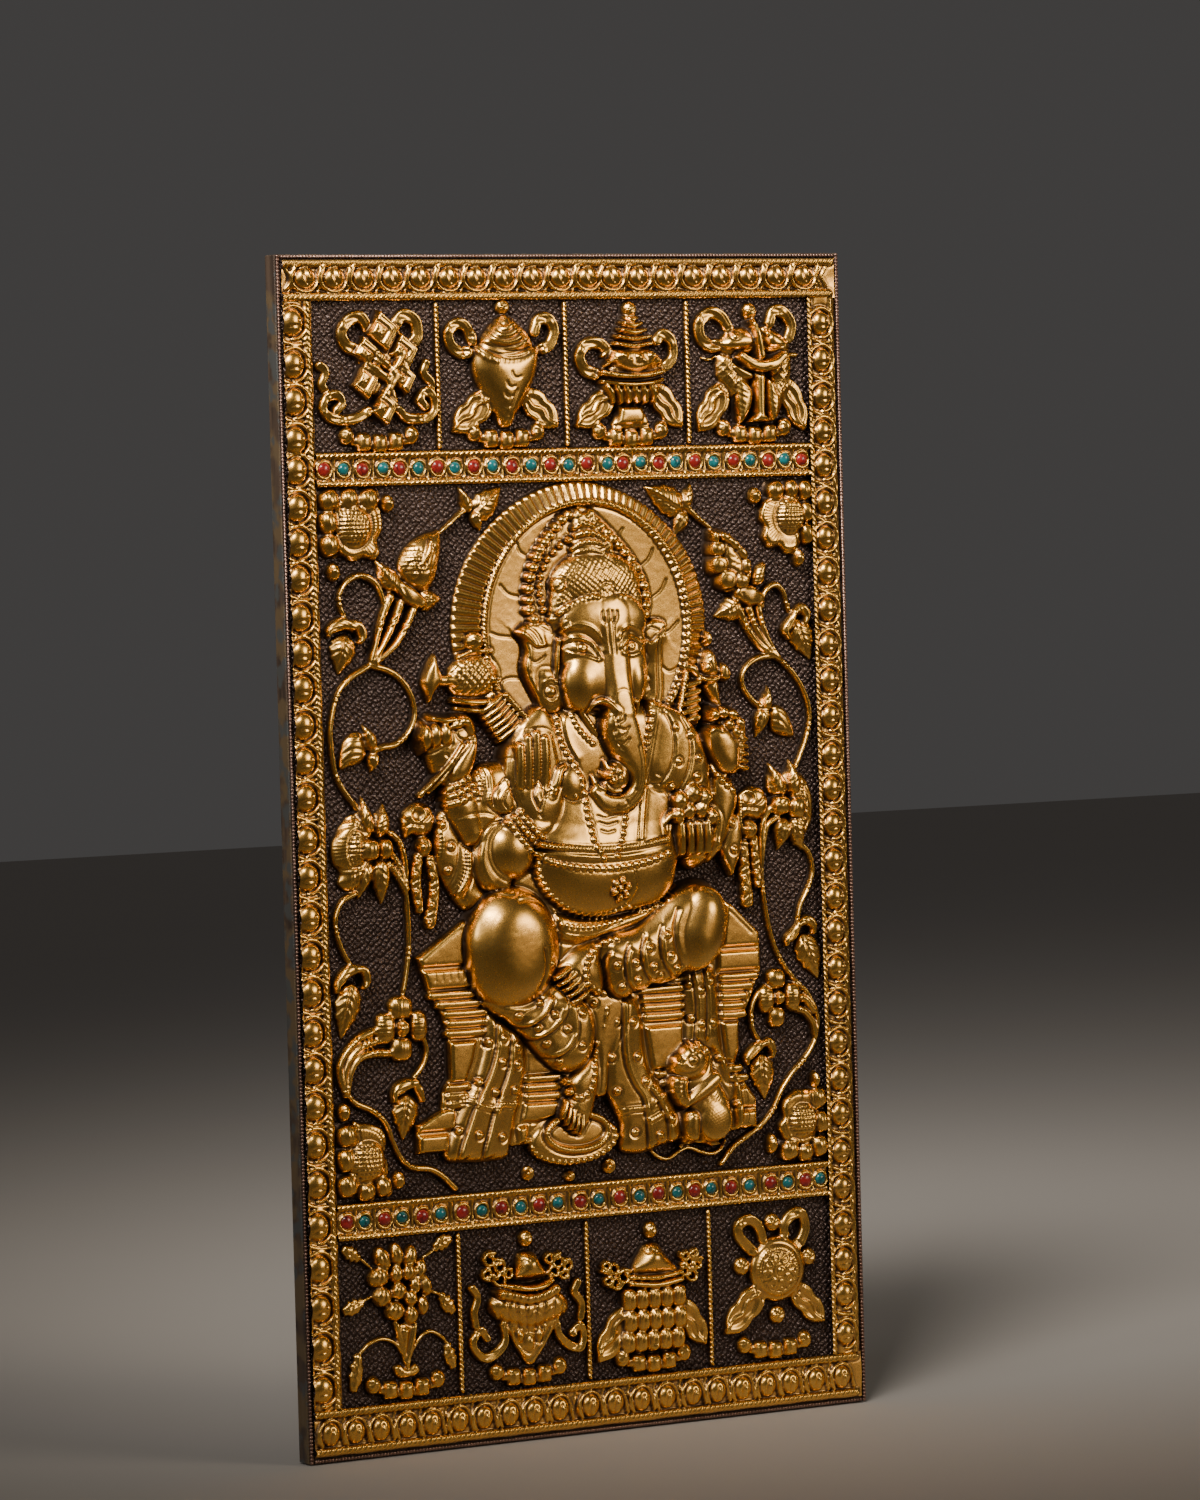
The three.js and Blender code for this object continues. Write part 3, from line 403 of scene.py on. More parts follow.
def lattice(angle, pitch, depth, cross=True, lift=0.0):
    """A pattern of crossed or single grooves at an angle."""
    def pattern(x, z):
        u = x * math.cos(angle) + z * math.sin(angle)
        v = -x * math.sin(angle) + z * math.cos(angle)
        groove = lambda w: np.clip(1 - np.abs(np.sin(math.pi * w / pitch)) * 2.2, 0, 1)
        cut = np.maximum(groove(u), groove(v)) if cross else groove(v)
        return lift - depth * cut
    return pattern


def scale_marks(pitch, depth, down=1):
    """A pattern of overlapping round scales, opening downwards or upwards."""
    def pattern(x, z):
        row = np.floor(z * down / (pitch * 0.5))
        cut = np.zeros(np.shape(x))
        lift = np.zeros(np.shape(x))
        for k in (0, 1):
            r = row + k
            cx = (np.round(x / pitch - (r % 2) * 0.5) + (r % 2) * 0.5) * pitch
            far = np.hypot(x - cx, z * down - r * pitch * 0.5)
            cut = np.maximum(cut, np.exp(-(((far - pitch * 0.5) / (pitch * 0.1)) ** 2)))
        return lift - depth * cut
    return pattern


# The border and the stone bands: heights, and the places of bosses and stones along their strips
STRIP_H = 2.2
BOSS_H = 7.2
BEZEL_H = 3.0
TOP_BOSSES = (
    -178.5, -159, -139, -119.5, -100.5, -81, -62, -42.5, -23, -3.5, 16, 33, 52, 71, 91, 111, 131, 151, 171)
BOTTOM_BOSSES = (
    -183, -166, -149, -131, -114, -95, -78, -60, -43, -25, -3.5, 14, 33, 51, 70, 87.5, 106, 124, 141, 160,
    179)
LEFT_BOSSES = (
    321, 296, 274, 251, 233, 211, 190, 168.5, 145.5, 124, 103, 81, 60, 38, 13, -9.5, -34, -57, -79, -103,
    -125, -147, -170, -194, -219, -244, -268, -292, -317)
RIGHT_BOSSES = (
    318, 295, 272, 250, 229, 206, 184, 162, 139, 117, 94.5, 72, 48, 26.5, 4, -18.5, -42, -63, -86, -108.5,
    -133, -156, -178, -202, -224.5, -248, -270, -292, -317)
UPPER_STONES = (
    -169, -156, -143, -129, -118, -105, -92, -80, -67, -54, -40.5, -27, -13.5, -1, 12, 26.5, 37.5, 50, 63,
    75, 89, 102.5, 117, 129, 142, 154, 166.5)
LOWER_STONES = (
    -168, -156, -142.5, -130.5, -116.5, -104, -89, -75.5, -62, -48.5, -35.5, -22.5, -6.5, 6.5, 21.5, 35.5, 49,
    62.5, 75, 87, 101.5, 115, 130.5, 143, 156, 167,
)


def plain_strip(panel, x0, x1, z0, z1):
    """A flat raised strip of the sheet, with the slow unevenness of hammered work."""
    win, gx, gz = panel.window([x0, x1], [z0, z1], 0)
    along = np.sin(gx * 0.31 + np.sin(gz * 0.17) * 2)
    upright = np.sin(gz * 0.27 + 1.3 * np.sin(gx * 0.13))
    panel.raise_to(win, STRIP_H + 0.18 * along + 0.18 * upright, np.ones(gx.shape))


def turned_frame(x, z, angle):
    """Places about a centre: u runs along angle, v a quarter turn on."""
    c, s = math.cos(angle), math.sin(angle)
    return lambda u, v: [x + u * c - v * s, z + u * s + v * c]


def paisley(panel, x, z, rx, rz, way):
    """A drop-shaped boss with a struck comma, in a strap like a U that opens upwards where way is 1."""
    at = lambda u, v: [x + u * rx, z + way * v * rz]
    panel.blob(x, z, rx, rz, BOSS_H, STRIP_H, power=0.5, crease=0.35)
    strap = ((-0.86, 1.0, 3.0), (-1.14, 0.45, 4.6), (-1.15, -0.3, 3.2), (-0.74, -0.92, 2.0), (0, -1.16, 1.7),
             (0.72, -0.9, 1.7), (1.12, -0.3, 2.2), (1.24, 0.35, 3.0), (1.42, 0.95, 2.6))
    panel.limb([[*at(u, v), w, 5.4] for u, v, w in strap], STRIP_H, fine=4, crease=0.3)
    panel.chase([[at(0.06, 0.8), at(0.16, 0.3), at(0.34, -0.2)]], 1.3, 1.2)
    panel.chase([[at(0.42, 0.78), at(0.46, 0.3), at(0.42, -0.1)]], 1.3, -0.9)
    panel.studs([at(0.38, -0.38)], 0.9, -1.3)


def dart(panel, x, z, way, size=5.0):
    """A small three-cornered leaf in the gap between two bosses, with its curled stalk."""
    at = turned_frame(x, z, way)
    panel.shape(
        [at(size * 0.9, 0), at(-size * 0.1, size * 0.42), at(-size * 0.1, -size * 0.42)], 3.4, STRIP_H,
        1.6, 0.4, smooth=False, crease=0.3)
    stalk = [at(-size * 0.3, 0.4), at(-size * 1.0, 1.4), at(-size * 1.9, 0.2), at(-size * 2.5, -1.8)]
    panel.limb([[px, pz, 1.4, 3.0] for px, pz in stalk], STRIP_H, crease=0.2)


def top_border(panel):
    """The strip along the top: bosses that open upwards, darts between them, a cord at each edge."""
    panel.piece("border_top")
    plain_strip(panel, -196, 196, 333.6, 359)
    panel.rope([[-194, 356], [191, 356]], 4.2, 3.8, STRIP_H)
    panel.rope([[-193, 336.2], [190, 336.2]], 4.2, 3.8, STRIP_H)
    edges = [(a + b) / 2 for a, b in zip(TOP_BOSSES, TOP_BOSSES[1:])]
    for x in edges + [TOP_BOSSES[0] - 9.7, TOP_BOSSES[-1] + 9.7]:
        dart(panel, x, 341.4, math.pi / 2, 4.6)
    for x in TOP_BOSSES:
        paisley(panel, x, 347, 7.5, 6.8, 1)
    for x, way in ((-191, 1), (184.5, -1), (188, -1)):
        panel.limb([[x, 353, 1.8, 3.6], [x + way * 3.4, 347, 2.2, 4.2], [x, 340.5, 1.8, 3.4]], STRIP_H)


def bottom_border(panel):
    """The strip along the bottom, with its bosses and darts the other way up."""
    panel.piece("border_bottom")
    plain_strip(panel, -196, 196, -358, -329)
    panel.rope([[-193, -332], [190, -332]], 4.2, 3.8, STRIP_H)
    panel.rope([[-192, -354.6], [190, -354.6]], 4.0, 3.6, STRIP_H)
    for a, b in zip(BOTTOM_BOSSES, BOTTOM_BOSSES[1:]):
        dart(panel, (a + b) / 2, -338.6, -math.pi / 2, 4.6)
    for x in BOTTOM_BOSSES:
        paisley(panel, x, -343.8, 6.6, 7.2, -1)


def side_border(panel, name, bosses, rope_x, thin_x, line_x, x, r):
    """An upright strip: bosses one above the other, swept leaves between them, cords at both sides."""
    panel.piece(name)
    lo, hi = sorted((rope_x, thin_x))
    plain_strip(panel, lo - 3, hi + 3, -332, 335)
    panel.rope([[rope_x, 333], [rope_x, -329]], 3.8, 3.8, STRIP_H)
    panel.rope([[thin_x, 333], [thin_x, -329]], 2.6, 2.8, STRIP_H, 2.2)
    panel.chase([[[line_x, 333], [line_x, 0], [line_x, -329]]], 1.1, 0.5)
    for above, below in zip(bosses, bosses[1:]):
        z = (above + below) / 2
        sweep = [[x - r - 1.5, z + 2.6, 1.2, 3.0], [x - 1, z - 0.4, 2.4, 4.0], [x + r + 2, z - 0.8, 1.0, 3.0]]
        panel.limb(sweep, STRIP_H, crease=0.3)
        panel.limb(
            [[x + r - 1, z + 3.4, 1.2, 3.0], [x + r + 1.6, z + 0.6, 2.2, 3.8], [x + r + 1.2, z - 3, 1, 3]],
            STRIP_H)
        panel.limb([[x - r - 1.4, z - 1.2, 2.6, 3.6], [x - r + 1.5, z - 4.4, 1.2, 3.0]], STRIP_H)
    for z in bosses:
        panel.blob(x, z, r, r + 0.9, BOSS_H, STRIP_H, power=0.5, crease=0.35)
        rim = oval(x + 0.4, z, r + 2.2, r + 2.7, 0, 26, -0.5 * math.pi, 0.86 * math.pi)
        panel.limb([[px, pz, 2.1, 4.2] for px, pz in rim], STRIP_H, fine=1, crease=0.4)
        panel.chase([[[x - 1, z - 2.6], [x + 2.4, z - 1.6], [x + 6, z - 2.4]]], 1.2, 0.9)
        panel.studs([[x + r * 0.78, z + 1.2]], 0.9, -1.5)


def stone_band(panel, name, z, low, high, stones):
    """A strip of square collars with raised oval bezels, between two cords."""
    panel.piece(name)
    plain_strip(panel, -177, 174, low - 2, high + 2)
    panel.rope([[-176, low], [172.5, low]], 3.9, 3.9, 1.0)
    panel.rope([[-176, high], [172.5, high]], 3.9, 3.9, 1.0)
    inner = (high - low) / 2 - 2.1
    panel.shape(
        [[-176, z - inner], [172.5, z - inner], [172.5, z + inner], [-176, z + inner]], 2.2, 1.0, 0.8, 0,
        smooth=False, crease=0.3)
    edges = [(a + b) / 2 for a, b in zip(stones, stones[1:])]
    for x in edges:
        panel.limb([[x, z - inner, 1.8, 3.4], [x, z + inner, 1.8, 3.4]], 1.6, crease=0.5)
    for i, x in enumerate(stones):
        r = 5.0 if i % 2 == 0 else 4.6
        ring = oval(x, z, r, r + 0.1, 0, 22)
        panel.limb([[px, pz, 1.9, 4.2] for px, pz in closed_up(ring)], 2.0, fine=1, crease=0.4)
        for side in (-1, 1):
            panel.chase([[[x + side * 5.2, z + 5], [x + side * 5.9, z], [x + side * 5.2, z - 5]]], 0.8, 0.35)


# The rows of symbols
def beside(points, off):
    """The line at an even distance beside a path, left of its way where off is positive."""
    p, way = evenly(spline(np.asarray(points, float)[:, :2]), 1.5)
    return np.stack([p[:, 0] - way[:, 1] * off, p[:, 1] + way[:, 0] * off], 1)


def shrunk(outline, share):
    """An outline drawn in towards its middle."""
    p = np.asarray(outline, float)
    mid = p.mean(0)
    return mid + (p - mid) * share


def ribbon(panel, points, width=5.6, h=4.6, lobed=True):
    """A flat band bent into a curve, dished in a row of lobes or along its length, with rolled rims."""
    width += 2.4
    panel.limb([[x, z, width, h + 1.6] for x, z in points], 0, 0.8, 0.5)
    panel.chase([beside(points, 0.06 * width)], 0.5 * width, 1.7, smooth=False)
    if lobed:
        spots, _ = evenly(spline(points), 2.3 * width)
        panel.studs(spots[1:-1], 0.34 * width, 0.9)
    for share in (0.37, -0.37):
        panel.chase([beside(points, share * width)], 0.8, 0.7, smooth=False)


def curl(panel, x, z, r, h=5.5, level=0.0, way=1, start=0.5):
    """A round rolled end with a spiral chased into it."""
    panel.blob(x, z, r, r, h + 0.5, level)
    panel.chase([coil(x, z, r * 0.66, 1.1, start, way, 0.25)], 1.2, 1.3)


def scroll_knots(panel, curls):
    """Loose rings of curled ribbon, one over another."""
    for x, z, r, way in curls:
        ring = coil(x, z, 1.1 * r, 1.1, 1.2 * x, way, 0.4)
        panel.limb([[px, pz, 3.4, 7.2] for px, pz in ring[::2]], 1.0, 0.1, 0.9)


def pad_row(panel, cx, z):
    """The cloud bank under each symbol: three squared pads between two rolled ends."""
    panel.limb([[cx - 20, z + 1, 7, 4], [cx, z - 3, 8, 4.4], [cx + 19, z + 1, 7, 4]])
    for dx, dz, w in ((-11.2, -0.2, 11.4), (-0.4, -1.2, 11.4), (10.6, -0.2, 11.6)):
        x = cx + dx
        box = [
            [x - w / 2, z + dz + 3.6], [x - w * 0.3, z + dz + 6], [x + w * 0.35, z + dz + 5.8],
            [x + w / 2, z + dz + 3], [x + w / 2, z + dz - 3.8], [x + w * 0.35, z + dz - 6],
            [x - w * 0.3, z + dz - 6], [x - w / 2, z + dz - 3.8]]
        panel.shape(box, 7.4, 0, 3.6, 0.35, crease=0.9)
        panel.chase([[[x - w * 0.4, z + dz + 3.4], [x, z + dz + 2.6], [x + w * 0.4, z + dz + 3.2]]], 0.9, 0.5)
    curl(panel, cx - 22.5, z + 3.6, 6.0, 7.0, 0, -1, 0)
    curl(panel, cx + 21.5, z + 3.4, 6.2, 7.0, 0, 1, 2.6)


def leaf_frame(x0, z0, x1, z1, width):
    """Places on a leaf: t runs from its base to its tip, v across it, to 1 at its widest."""
    length = math.hypot(x1 - x0, z1 - z0)
    ux, uz = (x1 - x0) / length, (z1 - z0) / length
    return lambda t, v: [x0 + ux * length * t - uz * v * width / 2, z0 + uz * length * t + ux * v * width / 2]


def pod_leaf(panel, x0, z0, x1, z1, width):
    """A two-lobed leaf from base to tip, dished inside a rolled rim, with a wavy midrib."""
    at = leaf_frame(x0, z0, x1, z1, width + 2.5)
    lobes = ((-0.04, 0.45), (0.12, 0.88), (0.3, 1.04), (0.47, 0.92), (0.62, 1.0), (0.8, 0.8), (0.94, 0.38))
    rim = [at(t, v) for t, v in lobes] + [at(1.03, 0)] + [at(t, -v * 0.96) for t, v in reversed(lobes)]
    panel.shape(rim, 5.6, 0, 2.0, 0.1)
    panel.texture(shrunk(rim, 0.74), lambda x, z: -1.4 + 0 * x, soften=2.8)
    midrib = [at(0.06, 0.1), at(0.3, -0.16), at(0.5, 0.14), at(0.7, -0.1), at(0.92, 0.02)]
    panel.chase([midrib], 2.2, -1.7)
    panel.chase([beside(midrib, 1.4)], 0.9, 0.8, smooth=False)
    panel.chase([shrunk(rim, 0.86)], 0.8, 0.5, closed=True)


TURBAN_PETALS = 8


def turban(panel, x, z, rx, rz, h=8.5):
    """A small round bud of petals swirling about its eye."""
    panel.blob(x, z, rx * 1.14, rz * 1.12, 0.88 * h, power=0.4)
    for k in range(TURBAN_PETALS):
        a = TURN * k / TURBAN_PETALS
        swirl = [
            [x + rx * t * math.cos(a + 0.9 * t),
             z + rz * t * math.sin(a + 0.9 * t)] for t in (0.3, 0.65, 1.0)]
        panel.chase([swirl], 1.1, 1.2)
    panel.studs([[x, z]], 1.5, 0.9)


def floret(panel, x, z, r):
    """Four tiny petals about an eye."""
    panel.studs([[x + r * math.cos(a), z + r * math.sin(a)] for a in (0.4, 1.97, 3.54, 5.11)], r * 0.55, 0.7)
    panel.studs([[x, z]], r * 0.4, 0.9)


KNOT_ACROSS = (0.81, -0.58)
KNOT_ALONG = (0.55, 0.83)


def knot_place(x, z, p, q):
    """A place on the knot, p across it and q along it."""
    return [x + p * KNOT_ACROSS[0] + q * KNOT_ALONG[0], z + p * KNOT_ACROSS[1] + q * KNOT_ALONG[1]]


def knot_bar(panel, x, z, along, length, width=5.6, h=6.6):
    """One straight ribbon of the knot, with its double line."""
    way = KNOT_ALONG if along else KNOT_ACROSS
    a = [x - way[0] * length / 2, z - way[1] * length / 2]
    b = [x + way[0] * length / 2, z + way[1] * length / 2]
    panel.limb([[*a, width + 1.4, h], [*b, width + 1.4, h]], 0, 1.0, 0.8)
    panel.chase([beside([a, b], width * 0.24), beside([a, b], -width * 0.24)], 0.9, 1.0, smooth=False)


def knot_frame(panel, x, z, p, q, h=7.0):
    """A frame of the knot: nested lines round a floret."""
    p, q = p + 1.5, q + 1.5
    corners = [
        knot_place(x, z, -p, -q), knot_place(x, z, p, -q), knot_place(x, z, p, q), knot_place(x, z, -p, q)]
    panel.shape(corners, h + 1.6, 0, 1.8, 0, smooth=False, crease=0.6)
    for share, depth in ((0.82, 0.9), (0.5, 2.0)):
        ring = shrunk(corners, share)
        panel.chase([closed_up(ring)], 1.0, depth, smooth=False)
    floret(panel, x, z, 1.7)


def endless_knot(panel):
    """Crossed straight ribbons in frames, with loose ribbons at both sides."""
    panel.piece("endless_knot")
    ribbon(
        panel, [[-138, 317], [-143, 323.5], [-151, 322], [-156, 315], [-153, 307], [-146.5, 304]], 6.4, 4.8)
    ribbon(panel, [[-121, 318], [-114, 324.5], [-106, 321], [-104.5, 313], [-107, 309]], 7.0, 4.8)
    ribbon(panel, [[-171, 295], [-167.5, 291], [-170, 284], [-167, 278]], 4.8, 4.4)
    ribbon(
        panel, [[-161, 269], [-157, 273], [-161, 277.5], [-168, 275.5], [-169.5, 268.5], [-164, 263.5],
         [-155, 262.5], [-147, 264], [-140, 267.5]], 5.0, 5.4)
    ribbon(panel, [[-99, 296], [-101, 290], [-96, 284], [-96, 280]], 4.6, 4.4)
    ribbon(
        panel, [[-101, 270], [-104.5, 274], [-100, 278.5], [-95, 275], [-94.5, 268], [-99.5, 263.5],
         [-107, 262.5], [-114, 263.5], [-119, 268]], 5.0, 5.4)
    plate = [
        [-139, 317], [-131, 325], [-115, 316], [-110, 311], [-106, 301], [-110, 294], [-106.5, 287],
        [-113.5, 278], [-120, 281], [-117, 271], [-127, 260], [-137.5, 269], [-134, 277], [-141, 277],
        [-149, 285], [-144, 293], [-148, 301], [-141, 308]]
    panel.shape(plate, 4.6, 0, 2, 0, smooth=False)
    knot_frame(panel, -137, 301, 9.6, 5.6)
    knot_frame(panel, -113.8, 303, 7.4, 6.6)
    knot_frame(panel, -114.3, 287, 6.4, 5.8)
    knot_frame(panel, -139.5, 286.5, 6.4, 8.4)
    knot_bar(panel, -126.5, 294.5, False, 17, 5.2, 8.0)
    knot_bar(panel, -121.5, 293.5, True, 19, 5.4, 9.0)
    knot_bar(panel, -131.5, 289.5, False, 15, 5.0, 9.0)
    knot_bar(panel, -127, 279.5, True, 22, 6.4, 8.8)
    floret(panel, -130.3, 294, 1.2)
    floret(panel, -119.7, 292, 1.2)
    floret(panel, -123.6, 286, 1.1)
    knot_frame(panel, -127.6, 269.5, 6.4, 6.8)
    knot_frame(panel, -128, 315.4, 8.2, 7.6, 8)
    pad_row(panel, -131.5, 249.5)


def conch_shell(panel):
    """A ribbed shell with its whorls on top, on a cloud bank."""
    panel.piece("conch_shell")
    ribbon(
        panel, [[-67, 309], [-71, 317], [-77, 319.5], [-83, 315], [-82, 307], [-76, 302], [-71, 302]], 6.0,
        4.8)
    curl(panel, -66, 312.5, 3.6, 5.5, 0, 1, 1)
    curl(panel, -69.5, 302.5, 3.4, 5.2, 0, -1, 4)
    ribbon(panel, [[-24, 314], [-21, 321], [-14, 321.5], [-10, 315], [-13, 307], [-18, 304]], 6.4, 4.8)
    curl(panel, -18, 303, 3, 5, 0, 1, 1)
    pod_leaf(panel, -55, 275, -82, 254.5, 17)
    pod_leaf(panel, -31, 276, -8, 256, 16)
    body = [
        [-68, 301], [-68, 289], [-62.5, 277], [-55, 267], [-50.5, 258], [-46.5, 255.5], [-41, 256.5],
        [-36.5, 264], [-29.5, 274], [-23, 286], [-20, 297], [-22, 306], [-45, 309], [-64, 308]]
    panel.shape(body, 12.4, 0, 8, 0.4)
    panel.chase(
        [[[-60, 277], [-54, 270], [-52, 262], [-49, 258.5]],
         [[-35, 279], [-39, 269], [-41, 262], [-43, 258]]], 1.1, 0.8)
    for x, z, r in (
            (-34.5, 289.5, 3.6), (-38.5, 283.5, 3.4), (-40.5, 277.5, 3.2), (-42, 271.5, 3),
            (-43, 266, 2.8), (-44, 261, 2.6)):
        panel.chase([oval(x, z, r, r, 0, 9, math.pi * 0.95, math.pi * 1.75)], 0.9, 0.7, smooth=False)
    cap = [
        [-63, 308], [-58, 316], [-51, 322], [-45, 325], [-39, 323.5], [-31, 317], [-24.5, 309],
        [-24.5, 305], [-33, 300.5], [-45, 299], [-56, 302]]
    panel.shape(cap, 13.5, 0, 8, 0.35, crease=0.9)
    low = [[-61.5, 307], [-54, 302.5], [-45, 300.5], [-34, 301.5], [-26, 305]]
    panel.chase([low], 1.0, 0.8)
    for lift in (1, 2, 3, 4):
        k = 1 - lift * 0.17
        band = [[-44 + (x + 45) * k, z + lift * 4.3] for x, z in low]
        panel.chase([band], 1.1, 1.3)
        panel.folds([band], 1.3, 3.0, 0.3, 1)
    panel.chase(
        between([[-65, 306], [-58, 301], [-47, 297.8]], [[-63, 303], [-57, 298], [-47.5, 295.3]], 12), 0.8,
        -0.9, smooth=False)
    panel.chase(
        between([[-46, 297.6], [-34, 298.5], [-25, 302]], [[-46, 295.2], [-34, 295.8], [-24.5, 299]], 15),
        0.6, 0.5, smooth=False)
    panel.studs([[-48, 322], [-43.5, 323.5]], 1.7, 1.0)
    turban(panel, -45, 329.3, 4.9, 4.2, 7)
    pad_row(panel, -44.5, 250)


def treasure_vase(panel):
    """A round vase with a banded neck and a bud on top."""
    panel.piece("treasure_vase")
    ribbon(panel, [[27, 302], [21, 306.5], [12, 306], [7.5, 299], [10.5, 291], [17, 288]], 6.4, 5)
    curl(panel, 20.5, 289, 3.6, 5.4, 0, 1, 2)
    ribbon(panel, [[62, 308], [67, 311.5], [73, 307], [73.5, 298], [68, 292]], 6.0, 5)
    pod_leaf(panel, 30, 275, 4, 256, 15)
    pod_leaf(panel, 60, 279, 80, 254.5, 15)
    panel.shape([[25, 291], [32, 303], [57, 304], [66, 294], [66, 287], [45, 284], [25, 286]], 9.5, 0, 8, 0.3)
    panel.shape(
        [[25, 283], [24, 280], [30, 274], [37, 270], [54, 270], [62, 275], [66, 281], [65, 284]], 9.5, 0,
        7, 0.3)
    for k in range(6):
        x = 29.5 + 6.1 * k
        panel.limb(
            [[x - 1.5, 280, 4.4, 10.4], [x + 0.8, 276, 5.2, 11], [x + 2.6 - 0.2 * k, 271, 3.2, 8.6]], 6.5,
            crease=0.9)
    panel.limb(
        [[24, 283.4, 2.6, 8.5], [34, 281.8, 3.2, 11], [45, 281.2, 3.4, 11.4], [57, 282, 3.2, 11],
         [66.5, 284, 2.6, 8.5]], 5)
    panel.rope([[24, 288.6], [34, 287], [45, 286.4], [57, 287], [66.5, 289]], 2.8, 12, 7, 2.0)
    rim = [
        [26, 292], [30, 300], [34, 303], [57, 303], [66, 297], [66, 293], [60, 291.5], [52, 288.5],
        [44, 288], [37, 290], [31, 294]]
    panel.shape(rim, 13, 5, 4, 0.3)
    panel.chase([[[28.5, 294.5], [35, 291.8], [44, 290], [52, 290.4], [60, 293], [64.5, 295.5]]], 0.9, 0.8)
    for x, z in ((39.5, 298.6), (50, 297.6), (59, 298.2)):
        panel.blob(x, z, 3.9, 3.2, 14.5, 10)
        panel.chase([coil(x, z, 2.6, 1.3, 0.4, 1, 0.2)], 0.8, 0.9)
    panel.studs([[33.5, 297.5], [45, 296], [55, 295.6], [62.5, 299]], 1.2, 0.9)
    panel.shape(
        [[33, 302], [38, 312], [41, 322], [47, 322], [52, 312], [60, 302]], 9.5, 0, 6, 0.4, smooth=False)
    for z, half, w, h in (
            (305.2, 12.4, 4.4, 12), (309.4, 11.0, 3.8, 13), (313.4, 8.0, 4.4, 12), (317.6, 6.0, 4.0, 11),
            (321, 3.8, 3.4, 10)):
        panel.limb(
            [[44.8 - half, z + 1.2, 0.7 * w, h - 1], [44.8, z - 0.4, w, h],
             [45 + half, z + 1.0, 0.7 * w, h - 1]], 4, 0.2, 0.5)
    panel.beads([[35, 310.2], [45, 308.9], [55.5, 310.2]], 0.9, 0.9, 2.2)
    panel.beads([[34, 306.1], [45, 304.6], [56.5, 305.9]], 1.0, 0.9, 3.2)
    turban(panel, 43.5, 326.8, 5.4, 5.2, 9)
    panel.shape(
        [[28, 257.5], [34.5, 268], [52, 268], [57, 257], [57, 253], [28, 253]], 6.0, 0, 3, 0.2,
        smooth=False)
    panel.shape(
        [[33, 256.8], [35.5, 267.4], [50.5, 267.4], [53.5, 263], [52.5, 257.4]], 8.0, 3, 1.6, 0.1,
        smooth=False)
    panel.limb([[23, 299, 3, 5.2], [28, 300.5, 4.4, 6], [32, 299, 3, 6]])
    pad_row(panel, 43, 249.5)


